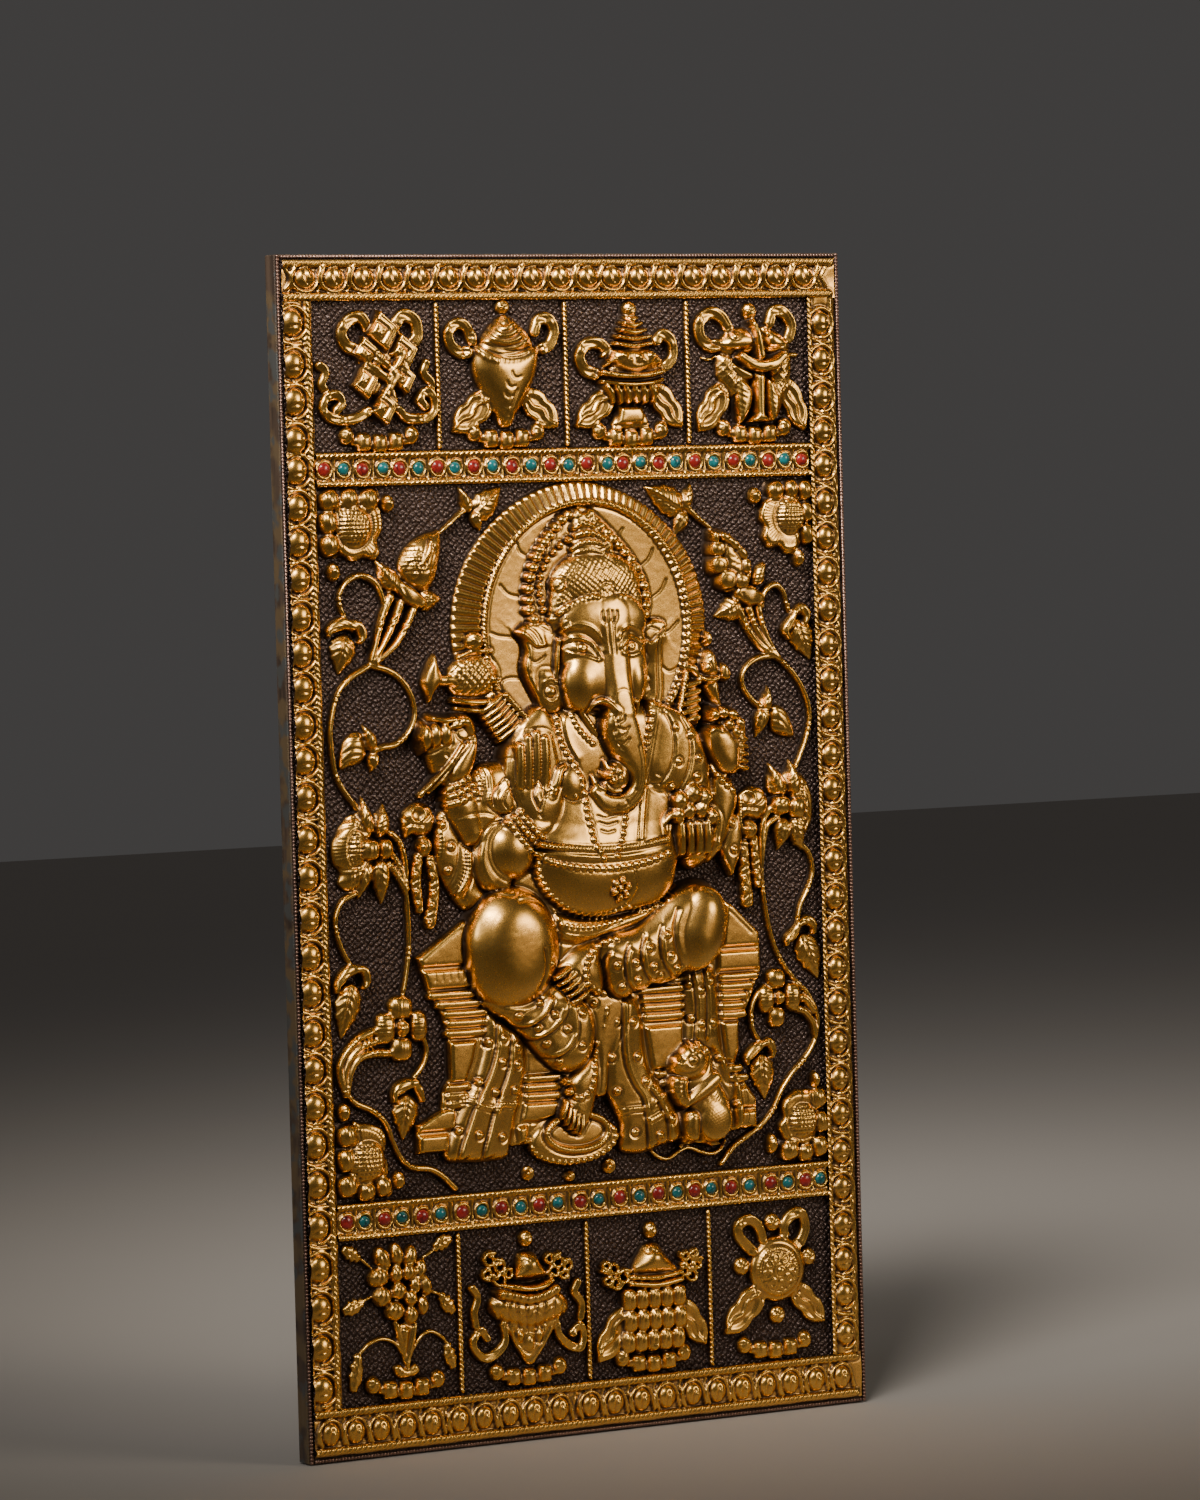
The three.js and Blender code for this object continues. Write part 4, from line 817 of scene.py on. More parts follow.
def golden_fish(panel):
    """Two scaled fish hanging head to head, tied with a ribbon."""
    panel.piece("golden_fish")
    ribbon(
        panel, [[114, 315], [109, 322], [101, 324.5], [93.5, 319], [94, 309.5], [100, 304.5],
         [105, 304.5]], 6.6, 5)
    ribbon(panel, [[144, 318], [147, 325], [154, 324.5], [160, 317], [158, 308.5]], 6.6, 5)
    pod_leaf(panel, 111, 278, 91, 252, 17)
    pod_leaf(panel, 155, 281, 169, 251.5, 14.5)
    panel.shape(
        [[94.5, 297.5], [101, 297], [108, 300], [112, 302], [104, 296], [98, 294.8]], 4.6, 0, 1.6, 0.2)
    panel.shape([[157, 300], [165, 299.5], [165, 296.5], [157, 296]], 4, 0, 1.4, 0.2)
    left = [
        [106, 300], [104, 292], [105, 284], [110, 276], [117, 270], [121, 262], [119, 257], [126, 258],
        [130, 266], [130, 280], [125, 290], [116, 300]]
    panel.shape(left, 8.5, 0, 6, 0.35)
    right = [
        [146, 300], [158, 302], [160.5, 292], [159, 281], [154, 272], [151, 262], [146, 257], [142, 262],
        [143, 280]]
    panel.shape(right, 8.0, 0, 6, 0.35)
    for outline in ([[106, 299], [104.5, 288], [109, 277], [119, 270], [122, 282], [119, 297]],
                    [[149, 297], [158.5, 298], [160, 286], [154, 275], [149, 280]]):
        panel.texture(outline, scale_marks(5.4, 1.5, 1), 5)
    head = [
        [104.5, 304], [107, 309.5], [114, 314.5], [124, 316], [133, 313.5], [137.5, 307], [136, 301],
        [127, 297.5], [114, 298], [106.5, 300.5]]
    panel.shape(head, 11, 0, 8, 0.35)
    panel.chase([[[104, 306.5], [110, 303.5], [118, 301.2], [127, 301.4], [133, 304]]], 1.6, 1.6)
    panel.chase([[[108, 300], [118, 297.6], [127, 298.5]]], 1.0, 0.7)
    panel.studs([[120.3, 310.6]], 2.1, 1.1, 1.0)
    second = [[137, 315], [143, 315.5], [152, 312], [159, 305], [158, 299.5], [148, 298], [139, 302]]
    panel.shape(second, 9.5, 0, 7, 0.35)
    panel.chase([[[138, 306], [146, 302.5], [156, 303.8]]], 1.4, 1.3)
    panel.studs([[143.4, 311.5]], 1.7, 1.0, 0.8)
    for fin, a, b in (
            ([[119, 283], [124, 283], [131, 277], [131, 268], [126, 260], [120.5, 257]],
             [[120, 281], [119, 262]], [[130, 277], [123, 259]]),
            ([[141, 283], [146, 281], [151, 272], [150, 262], [145, 257], [142, 264]],
             [[142, 281], [143, 262]], [[150, 275], [147, 259]]),
            ([[116, 292], [122, 284], [131, 283], [132, 287], [124, 291]], [[118, 291], [129, 286]],
             [[119, 287], [130, 283.5]]),
            ([[142, 291], [147, 285], [152, 289], [150, 294]], [[143, 290], [150, 288]],
             [[144, 287], [149, 285]])):
        panel.shape(fin, 9.5, 4, 2.5, 0.25)
        panel.chase(between(a, b, 7), 0.7, 0.5, smooth=False)
    panel.shape(
        [[131, 288], [140.5, 288], [139.5, 262], [146, 256.5], [126, 256.5], [131.5, 262]], 10.5, 2, 2.5,
        0.2, smooth=False)
    panel.chase([[[134.6, 287], [134.2, 272], [130, 262]], [[136.5, 287], [136, 262]]], 1.0, 0.9)
    panel.limb(
        [[122.5, 297.5, 6.5, 13], [129, 293, 7.5, 14.5], [137, 291.3, 8, 15], [146, 293, 7.5, 14.5],
         [152.5, 297.5, 6.5, 13]], 5, 0.9, 0.8)
    panel.chase([[[123.5, 299.8], [130, 295.6], [137, 294], [146, 295.6], [152, 299.8]],
                 [[123.5, 295], [130, 290.5], [138, 288.6], [146, 290.4]]], 0.8, 0.6)
    panel.limb([[132, 318, 5, 12.5], [134, 311, 6.5, 14], [137, 298, 8.5, 13.5]], 5, 0.6, 0.9)
    panel.chase([[[133.4, 315], [135.6, 300]]], 0.9, 0.7)
    turban(panel, 129.8, 325.4, 5.4, 5.2, 9)
    panel.limb([[131, 320, 4.5, 8], [132, 317, 4.5, 9]])
    pad_row(panel, 132, 250)


LEAF_TEETH = 4


def toothed_leaf(panel, x0, z0, x1, z1, width, side=0):
    """A small saw-edged leaf on a short stalk; side +1 or -1 keeps the deep teeth to one edge."""
    at = leaf_frame(x0, z0, x1, z1, width)
    rim = [at(0, 0.25)]
    for edge in (1, -1):
        saw = []
        for k in range(LEAF_TEETH):
            t = (k + 0.4) / LEAF_TEETH
            swell = math.sin(math.pi * min(t * 0.92 + 0.08, 1)) ** 0.6
            saw += [
                at(t, edge * swell),
                at(t + 0.5 / LEAF_TEETH, edge * (0.72 if side in (0, edge) else 1) * swell)]
        rim += saw if edge == 1 else saw[::-1]
        if edge == 1:
            rim.append(at(1, 0))
    rim.append(at(0, -0.25))
    panel.shape(rim, 4.6, 0, 1.6, 0.35, smooth=False)
    panel.chase([[at(0.05, 0), at(0.9, 0)]], 0.9, 0.8)
    for k in range(LEAF_TEETH):
        t = (k + 0.2) / LEAF_TEETH * 0.85
        panel.chase([[at(t, 0), at(t + 0.16, 0.62)], [at(t, 0), at(t + 0.16, -0.62)]], 0.7, 0.45)


def lotus_plant(panel):
    """A bunch of buds on a stalk, with toothed leaves."""
    panel.piece("lotus_plant")
    stalk = lambda pts, w=2.6: panel.limb([[x, z, w, 3.6] for x, z in pts])
    stalk([[-152, -248], [-161, -240]])
    stalk([[-121, -245], [-110, -239]])
    stalk([[-151, -263], [-160, -266]])
    stalk([[-116, -263], [-106, -267]])
    toothed_leaf(panel, -160, -241, -173, -233, 11.5)
    toothed_leaf(panel, -111, -239, -97, -232.5, 11, side=-1)
    toothed_leaf(panel, -158, -266, -174, -272, 11, side=-1)
    toothed_leaf(panel, -107, -266, -96.5, -279, 11, side=1)
    panel.limb([[-138, -280, 5, 4.5], [-134, -294, 6, 5], [-130.5, -308, 4.5, 4.6]], 0, 0.5)
    panel.limb([[-124, -279, 5, 4.5], [-127, -293, 6, 5], [-130.5, -308, 4.5, 4.6]], 0, 0.5)
    panel.shape([[-138, -282], [-124, -281], [-126, -291], [-131, -304], [-136, -291]], 4.6, 0, 3, 0.2)
    panel.shape([[-134, -285], [-128, -285], [-129, -290], [-131, -299], [-133, -291]], 6.0, 2, 2, 0.3)
    panel.chase(
        [[[-137.5, -282], [-134, -293], [-131.5, -303]], [[-124.5, -281], [-127.5, -293], [-130, -303]]],
        0.9, 0.8)
    stalk([[-133, -302], [-138, -294], [-147, -290], [-156, -292], [-162, -297]], 3.2)
    stalk([[-128, -301], [-121, -291], [-114, -288.5], [-106, -293], [-102, -298]], 3.2)
    toothed_leaf(panel, -163, -297, -168, -321, 11.5, side=-1)
    toothed_leaf(panel, -103, -296, -98, -313, 10.5, side=1)
    panel.shape(
        [[-141, -308], [-136, -306], [-131, -309], [-125, -306], [-121, -311], [-126, -315], [-137, -315]],
        5, 0, 2.5, 0.3)
    panel.chase(
        [[[-139, -311], [-134, -309]], [[-138, -313], [-133, -311]], [[-123, -310], [-128, -312]]], 0.7,
        0.5)
    buds = (
        (-146, -242, 5.0, 7.6, 0.5), (-136.5, -240, 4.8, 7.0, 0.2), (-127.5, -242, 4.8, 7.0, -0.4),
        (-121.5, -251, 5.0, 7.0, -0.5), (-149, -252.5, 6.6, 5.6, 0.1), (-137, -251.5, 5.0, 5.2, 0),
        (-128.5, -251, 4.8, 4.8, 0), (-117, -260.5, 4.4, 6.0, 0.2), (-146.5, -264.5, 6.2, 5.6, -0.2),
        (-135.5, -262, 5.4, 5.2, 0), (-124.5, -259.5, 4.2, 5.0, 0), (-127.6, -267, 4.8, 4.8, 0),
        (-119.5, -272, 4.4, 5.4, 0.2), (-138.5, -273.5, 6.2, 5.4, 0), (-127.5, -277, 5.0, 5.0, 0))
    for x, z, rx, rz, turn in buds:
        panel.blob(x, z, rx * 1.24, rz * 1.18, 8.6 + 0.6 * math.sin(x + z), 0, turn, 0.34, 1.2)
        at = turned_frame(x, z, turn)
        panel.chase([[at(-rx * 0.3, rz * 0.75), at(-rx * 0.55, 0), at(-rx * 0.1, -rz * 0.75)],
                     [at(rx * 0.4, rz * 0.7), at(rx * 0.6, 0), at(rx * 0.15, -rz * 0.75)]], 1.0, 1.1)
    pad_row(panel, -131.5, -321)


def parasol(panel):
    """A domed parasol with a pleated skirt, scroll knots and ribbons."""
    panel.piece("parasol")
    for points in (
            [[-64, -289], [-63, -298], [-69, -305], [-78, -308], [-84, -303], [-85, -296], [-80, -291.5],
             [-76, -296]], [[-27, -290], [-25, -299], [-18, -306], [-11, -307], [-8, -300], [-11, -294.5],
             [-16, -298]], [[-85, -265], [-81.5, -271], [-84, -279], [-83, -288]],
            [[-11.5, -267], [-14, -273], [-9, -281], [-10, -289]]):
        ribbon(panel, points, 4.6, 5.0, lobed=False)
    panel.shape(
        [[-63, -288], [-58, -301], [-53, -309], [-46, -316], [-39, -310], [-32, -301], [-26, -288],
         [-44, -286]], 6.6, 0, 2.6, 0.2)
    panel.chase([[[-59, -294], [-54, -304], [-46, -311.5], [-38, -304.5], [-30.5, -293]],
                 [[-55, -292], [-51, -302], [-46, -306.5], [-40, -302], [-35, -292]]], 1.2, 1.3)
    for x, z, r in ((-52, -296.5, 3.2), (-45.5, -301, 4.2), (-38.5, -296.5, 3.2)):
        panel.blob(x, z, r, r * 1.4, 8.4, 3, crease=0.8)
        panel.chase(
            [[[x, z + r], [x, z - r]], [[x - r * 0.5, z + r * 0.6], [x - r * 0.4, z - r * 0.7]]], 0.8, 0.8)
    skirt = [
        [-74, -273], [-68, -269], [-60, -268], [-46, -270], [-32, -268], [-25, -270], [-18.5, -276],
        [-17, -283], [-24, -289], [-35, -292], [-46, -294.5], [-58, -291], [-69, -286], [-74.5, -280]]
    panel.shape(skirt, 10.5, 0, 8, 0.35)
    tongues = between(
        [[-72, -277], [-60, -275], [-46, -278], [-32, -275], [-20, -279]],
        [[-70, -285], [-58, -290], [-46, -293.5], [-35, -291], [-21, -286]], 9)
    panel.chase(tongues, 1.2, 1.0, smooth=False)
    panel.chase(
        [[[-72.5, -279], [-67, -283], [-62, -279], [-56, -284], [-51, -280], [-45, -285], [-40, -280],
          [-34, -284], [-28, -279], [-22, -282], [-18.5, -279]]], 0.8, 0.6)
    band = [[-64, -267], [-56, -269], [-46, -271.5], [-35, -270], [-27, -267]]
    low = [[-67, -272], [-57, -275], [-46, -278], [-35, -276], [-25, -272]]
    panel.limb([[x, z - 2.6, 7, 12] for x, z in band], 6, 0.5)
    panel.chase(between([[x, z + 0.6] for x, z in band], low, 9), 1.1, 1.1, smooth=False)
    panel.limb(
        [[-62, -265, 3.2, 10], [-54, -266.5, 4, 12.6], [-46, -267.6, 4, 13], [-37, -266.8, 4, 12.6],
         [-29, -264, 3.2, 10]], 5, 0.5)
    panel.chase(
        between([[-56, -261], [-47, -262.5], [-36, -261.5], [-30, -259.5]],
         [[-57, -264.2], [-47, -265.8], [-36, -265], [-29, -262.5]], 17), 0.7, -0.9, smooth=False)
    cap = [
        [-53, -246], [-41, -246], [-37, -252], [-31, -260], [-32, -262.5], [-46, -264], [-57, -262],
        [-56, -256]]
    panel.shape(cap, 12, 0, 7, 0.35)
    panel.chase(
        [[[-56.5, -260], [-46, -262], [-32, -260]],
         [[-52, -249.5], [-49, -252], [-46, -249.8], [-43, -252], [-41, -249.5]]], 1.0, 0.9)
    turban(panel, -46.8, -237.6, 5.2, 5.0, 9)
    curls = (
        (-72.5, -248.5, 4.6, 1), (-66.5, -253, 4.2, -1), (-74.5, -257, 3.6, -1), (-66, -260.5, 4.6, 1),
        (-60.5, -257, 3.6, 1), (-31, -250.5, 3.8, -1), (-25, -253, 4.6, 1), (-19, -256, 3.6, -1),
        (-28, -259.5, 4.2, -1), (-21.5, -262, 3.2, 1))
    scroll_knots(panel, curls)
    pad_row(panel, -46.5, -321)


def victory_banner(panel):
    """A banner in three pleated tiers under a cone with a bud, between scroll knots."""
    panel.piece("victory_banner")
    pod_leaf(panel, 24, -289, 2, -318, 17)
    pod_leaf(panel, 62, -287, 80, -314, 15)
    for z, x0, h in ((-307.5, 21.2, 9.2), (-294.5, 23, 9.4), (-281.4, 22.6, 9.4)):
        panel.shape(
            [[x0 - 1, z + 6], [65, z + 6], [65.5, z - 5.6], [x0 - 1, z - 5.6]], h - 1.2, 0, 3, 0.1,
            smooth=False)
        for k in range(5):
            x = x0 + 4 + 8.8 * k
            panel.blob(x, z, 5.2, 7.0, h + 0.8, h - 5, 0, 0.45, 0.5, squared=3.2)
            panel.chase(
                [[[x + 2.2, z + 4], [x + 1.4, z], [x + 1.2, z - 4]],
                 [[x - 1, z + 4.4], [x - 1.8, z], [x - 1.4, z - 4.6]]], 1.0, 1.3)
    panel.limb([[26, -271.4, 4, 8.6], [44, -273.4, 4.6, 10], [62, -271.4, 4, 8.6]], 2, 0.6)
    panel.limb([[26, -267.6, 3.4, 8.4], [44, -268.8, 3.8, 10.4], [62, -267.2, 3.4, 8.4]], 2, 0.4)
    panel.chase(
        between([[29, -266.8], [44, -267.8], [50, -267.6]], [[28, -269], [43, -270.4], [49, -270.2]], 16),
        0.7, -0.9, smooth=False)
    cone = [
        [37, -248], [46.5, -248], [53, -256], [61, -264.5], [60, -267], [44, -268.5], [27, -266.5],
        [26, -262], [31, -254]]
    panel.shape(cone, 12, 0, 9, 0.4)
    panel.chase([[[38, -251], [41, -253.5], [44, -251.2], [47, -253.5], [50, -252]]], 1.3, 1.2)
    panel.chase([[[28.5, -263], [44, -265.4], [59, -264]]], 0.8, 0.4)
    turban(panel, 41.4, -239.6, 5.0, 5.2, 9)
    curls = (
        (21.5, -267, 4.6, 1), (15.5, -270, 4.0, -1), (9.5, -269, 3.2, 1), (14, -262, 4.2, -1),
        (8.5, -259.5, 3.6, 1), (64.5, -266.5, 4.0, -1), (70, -269.5, 4.2, 1), (68, -262, 4.0, -1),
        (74, -263, 3.6, 1), (65, -257, 3.0, 1), (72, -256.5, 2.8, -1))
    scroll_knots(panel, curls)
    panel.studs([[44.6, -312]], 2.2, 1.4)
    panel.blob(44.6, -312.4, 2.6, 2.4, 4)
    pad_row(panel, 42, -321)


def dharma_wheel(panel):
    """A round boss chased as a wheel of eight, with a bud at each side."""
    panel.piece("wheel")
    pod_leaf(panel, 121, -284, 93.5, -309, 17)
    pod_leaf(panel, 144, -284, 167, -308, 15)
    ribbon(
        panel, [[122, -252], [119, -244], [112, -239.5], [105, -242], [105, -249], [110, -255],
         [114, -259]], 6.2, 5)
    ribbon(
        panel, [[138, -251], [138, -244], [144, -238.5], [151, -239], [153.5, -247], [150, -255],
         [146, -257.5]], 6.2, 5)
    for x, z in ((129.8, -242.3), (106.8, -268), (155.6, -266), (132, -300.5)):
        turban(panel, x, z, 5.6, 5.5, 7.6)
    panel.blob(132.5, -271.6, 21, 21.2, 11, 0, power=0.42, crease=0.8)
    ring = lambda r, n=40: oval(134.4, -272.2, r, r * 1.02, 0, n)
    panel.chase([ring(16.4)], 1.0, 0.6, closed=True)
    cogs = [np.stack([a, b]) for a, b in zip(ring(12.9, 46), ring(14.9, 46))]
    panel.chase(cogs, 0.8, -1.1, smooth=False)
    panel.chase([ring(12.2)], 0.9, 0.7, closed=True)
    for k in range(8):
        a = TURN * k / 8 + 0.2
        x, z = 134.6 + 8.6 * math.cos(a), -272.2 + 8.8 * math.sin(a)
        panel.chase([oval(x, z, 3.0, 2.3, a, 10)], 0.9, -1.4, closed=True)
        panel.studs([[x, z]], 0.9, 1.0)
        panel.studs([[134.6 + 11.4 * math.cos(a + 0.39), -272.2 + 11.6 * math.sin(a + 0.39)]], 0.9, 0.9)
    panel.chase([oval(135.6, -272.2, 4.4, 4.4, 0, 14)], 0.9, -0.7, closed=True)
    panel.studs([[136.2, -272.2]], 2.7, 1.8)
    pad_row(panel, 130, -321)


def symbol_dividers(panel, name, places, z0, z1):
    """The upright cords between the symbols of a row."""
    panel.piece(name)
    for x in places:
        panel.rope([[x, z0], [x, z1]], 3.8, 3.8, 0, 3.0)


# The figure, its halo and its throne
HALO = (3.5, 132.5)
FLUTES = 100


def halo(panel):
    """Rounded flutes rising to a corded ring, round a smooth disc with a few struck arcs."""
    panel.piece("halo")
    cx, cz = HALO
    win, gx, gz = panel.window([cx - 93, cx + 93], [cz - 93, cz + 93], 0)
    angle = np.arctan2(gz - cz, gx - cx)
    far = np.hypot(gx - cx, gz - cz)
    cord = 1 / np.hypot(np.cos(angle) / 72.0, np.sin(angle) / 77.0)
    rim = 90 + 0.5 * np.sin(5 * angle)
    t = np.clip((rim - far) / (rim - cord), 0, 1)
    ridge = np.abs(np.sin(angle * FLUTES / 2)) ** 0.8
    end = np.sqrt(1 - (1 - np.clip((rim - far) / 2.6, 0, 1)) ** 2)
    flute = end * (1.5 + 1.7 * ridge + 5.0 * t * (0.72 + 0.28 * ridge))
    height = np.where(far > rim, (rim - far) * FOOT_SKIRT, flute)
    panel.raise_to(win, np.where(far < cord, 0, height), rim - far, 0)
    disc = 3.9 + 0.9 * np.clip(far / cord, 0, 1) ** 4
    panel.raise_to(win, np.where(far < cord, disc, SUNK), cord - far, 0)
    ring = oval(cx + 5.2, cz + 0.5, 72.4, 77.2, count=90)
    panel.limb([[x, z, 5.0, 9.0] for x, z in closed_up(ring)], 3, 0, 0, fine=1, twist=2.5)
    edge = oval(cx + 4.0, cz + 0.5, 69.4, 74.2, count=90)
    panel.chase([edge], 1.2, 0.5, smooth=False, on_top=False, closed=True)
    ticks = [
        [(-58, 132), (-53, 130), (-44, 129)], [(-51, 161), (-45, 155), (-36, 153)],
        [(-39, 186), (-36, 180), (-29, 177)], [(-18, 194), (-17, 189), (-12, 186)],
        [(57, 180), (54, 174), (49, 170)], [(66, 161), (62, 154), (54, 149)],
        [(74, 135), (67, 129), (60, 127)], [(-57, 99), (-48, 104), (-38, 104)],
        [(61, 108), (67, 104), (75, 108)], [(36, 193), (33, 189), (33, 185)]]
    panel.chase(ticks, 1.0, 0.75)


def left_ear(panel):
    """The broad ear at the viewer's left, with its rolled rim."""
    outline = [
        (-43, 131.5), (-38, 136), (-30, 138.5), (-21, 138), (-12, 133), (-9, 120), (-8, 105), (-6, 92),
        (-10, 84.5), (-18, 80.5), (-26, 84.5), (-32, 94), (-37.5, 104), (-39, 111), (-37, 119), (-38, 126)]
    panel.shape(outline, 10, 3.5, 3, 0.1)
    panel.folds(
        [[(-42, 131), (-37, 126), (-34.5, 119), (-35.5, 109), (-31, 97), (-25, 88)]], 1.6, 3.2, 0.9, -1)
    panel.folds([[(-42.5, 131.5), (-34, 128), (-27, 122.5), (-19, 123)]], 2.4, 7, 1.0, -1)
    panel.chase([[(-36, 133.5), (-31, 131), (-26, 125)], [(-33, 135.5), (-27, 132), (-22.5, 125)]], 1.2, 0.8)
    panel.chase(
        [[(-32, 116), (-28.5, 113), (-24, 114.5), (-21, 117)],
         [(-31, 107), (-29.5, 98), (-24, 90), (-18, 86.5)]], 1.1, 0.7)
    panel.shape(
        [(-27, 98), (-26, 108), (-20, 110), (-12, 106), (-8, 96), (-10, 86), (-18, 82), (-25, 87)], 12,
        8.5, 4, 0.5, crease=0.3)
    panel.chase([[(-25, 104), (-26, 96), (-22, 88), (-15, 85)]], 1.0, 0.6)
    panel.limb([[-12, 127, 4.5, 14], [-13.5, 112, 5, 14], [-14, 104, 3, 13]], 9)
    panel.studs([(-17.5, 95)], 3.2, 2.0, 0.7)
    panel.chase(
        [[(-21, 91), (-17.5, 88.6), (-13.5, 91)], [(-22, 101), (-17, 103.5), (-12.5, 100)]], 1.2, -1.0)
    panel.beads([(-11, 107), (-13, 101)], 1.2, 1.2)


def right_ear(panel):
    """The narrower ear at the viewer's right."""
    outline = [
        (44, 128), (48, 134), (55, 137), (63, 136), (65.5, 132), (62, 125), (61.5, 108), (61.5, 92),
        (58.5, 82), (52, 81.5), (46, 86), (43, 92), (43, 105)]
    panel.shape(outline, 10, 3.5, 2.6, 0.1)
    panel.folds([[(64, 132), (58.5, 124), (57.5, 108), (57.5, 92), (55, 83)]], 1.2, 3, 0.8, 1)
    panel.folds([[(47, 128), (53, 123), (58, 126), (65, 131.5)]], 2.2, 6, 0.9, 1)
    panel.chase(
        [[(50, 118), (53, 114), (51, 108)], [(49, 104), (53, 101), (52, 95)],
         [(49, 131), (54, 132), (60, 130)], [(50, 90), (53, 93), (52, 98)]], 1.1, 0.7)


def crown(panel):
    """Chains of bosses and beads over a domed cap, with a knob on top."""
    panel.shape(
        [(-2, 206), (-12, 198), (-22, 186), (-30, 172), (-34, 156), (-33, 143), (-24, 134), (-10, 132),
         (30, 140), (46, 131), (54, 142), (53, 158), (46, 172), (34, 187), (20, 200), (10, 207)], 7.4, 4,
        2.5, 0.1)
    panel.blob(15, 159, 32.5, 21.5, 18, 7, power=0.45)
    panel.shape(
        [(-17, 134), (-18, 152), (-13, 166), (0, 176), (20, 178), (38, 172), (47, 158), (48, 138),
         (30, 144), (5, 146)], 15.5, 7, 6, 0.25)
    panel.blob(13, 182, 16, 12, 13.5, 6, power=0.42)
    panel.blob(11, 191, 12, 11, 12.4, 6, power=0.42)
    panel.shape(
        [(-1, 192), (-1, 199), (2, 206), (8, 203.5), (14, 206), (18, 200), (18, 192), (9, 195)], 11.4, 6,
        2.5, 0.3)
    left_outer = [
        (-2, 202), (-6.5, 199.5), (-11, 195), (-15.5, 190), (-19, 186), (-22.5, 181.5), (-25, 177),
        (-27.5, 171), (-29.5, 165), (-31, 158), (-31, 151), (-31, 145), (-28, 139.5)]
    right_outer = [
        (16, 199), (20.5, 195), (25, 191), (29, 187), (33, 183), (37.5, 178.5), (41.5, 174), (44.5, 169),
        (47.5, 163), (50, 157.5), (51, 151.5), (51, 145.5), (50, 140), (47, 135.5)]
    for chain in (left_outer, right_outer):
        for x, z in chain:
            panel.blob(x, z, 3.9, 3.0, 11, 7, crease=0.5)
            panel.chase([[(x - 2.4, z + 0.8), (x + 0.4, z + 1.5), (x + 2.6, z + 0.2)]], 0.8, 0.6)
    for chain in (
            [(-3, 187), (-8, 184), (-12.5, 180), (-17, 176), (-19.5, 171), (-22, 165.5), (-23, 160),
             (-23, 155), (-22, 150), (-21, 145), (-17, 139), (-14, 134.5)],
            [(25, 181), (30, 175), (36, 170), (40, 165), (43, 159), (45, 153)]):
        for x, z in chain:
            panel.blob(x, z, 2.4, 2.4, 11.5, 8, crease=0.4)
    panel.beads([(-1, 187), (4, 190), (12, 191), (20, 189), (26, 184)], 2.2, 2.0)
    panel.beads([(0, 181.5), (6, 185), (14, 185.5), (22, 184), (28, 179)], 1.7, 1.4)
    panel.beads([(-3, 176.5), (4, 179.5), (12, 180.5), (20, 179), (27, 175.5)], 1.1, 1.0)
    panel.beads([(2, 194), (8, 197), (15, 195)], 1.9, 1.4)
    panel.chase([[(1, 204), (3, 199), (8, 201), (13, 199), (15, 204)]], 1, 0.8)
    mesh = [
        (-15, 150), (-14, 163), (-3, 174), (14, 177), (30, 174), (42, 164), (47, 150), (40, 151.5),
        (34, 153.5), (28, 152.5), (23.5, 150), (19, 152.5), (13, 154), (4, 151.5), (-4, 149)]
    panel.texture(mesh, lattice(0.9, 2.8, 1.0, True, 0.25))
    panel.texture([(-16, 139), (-16, 150), (-2, 150), (3, 146), (-1, 141)], lattice(0.3, 2.8, 0.8, True, 0.2))
    panel.texture([(38, 138), (39, 150), (47, 149), (48, 138)], lattice(0.3, 2.8, 0.6))
    panel.studs([(-10.5, 160)], 4.2, 1.8, 0.7)
    panel.chase([oval(-10.5, 160, 2.2, 2.2)], 0.8, 0.7, False, closed=True)
    panel.studs([(24, 155)], 5.0, 1.0, 0.8)
    panel.chase([oval(24, 155, 3.2, 3.2), oval(24, 155, 1.4, 1.4)], 0.8, 0.8, False, closed=True)
    panel.beads(
        [(-10, 143), (-4, 146.5), (4, 149), (13, 151.8), (19, 150), (23.5, 147.2), (28, 150), (34, 151),
         (40, 149), (44, 144), (46, 137)], 2.4, 2.6, 3.6)
    panel.studs([(23.5, 143.6)], 1.3, 1.4, 0.5)


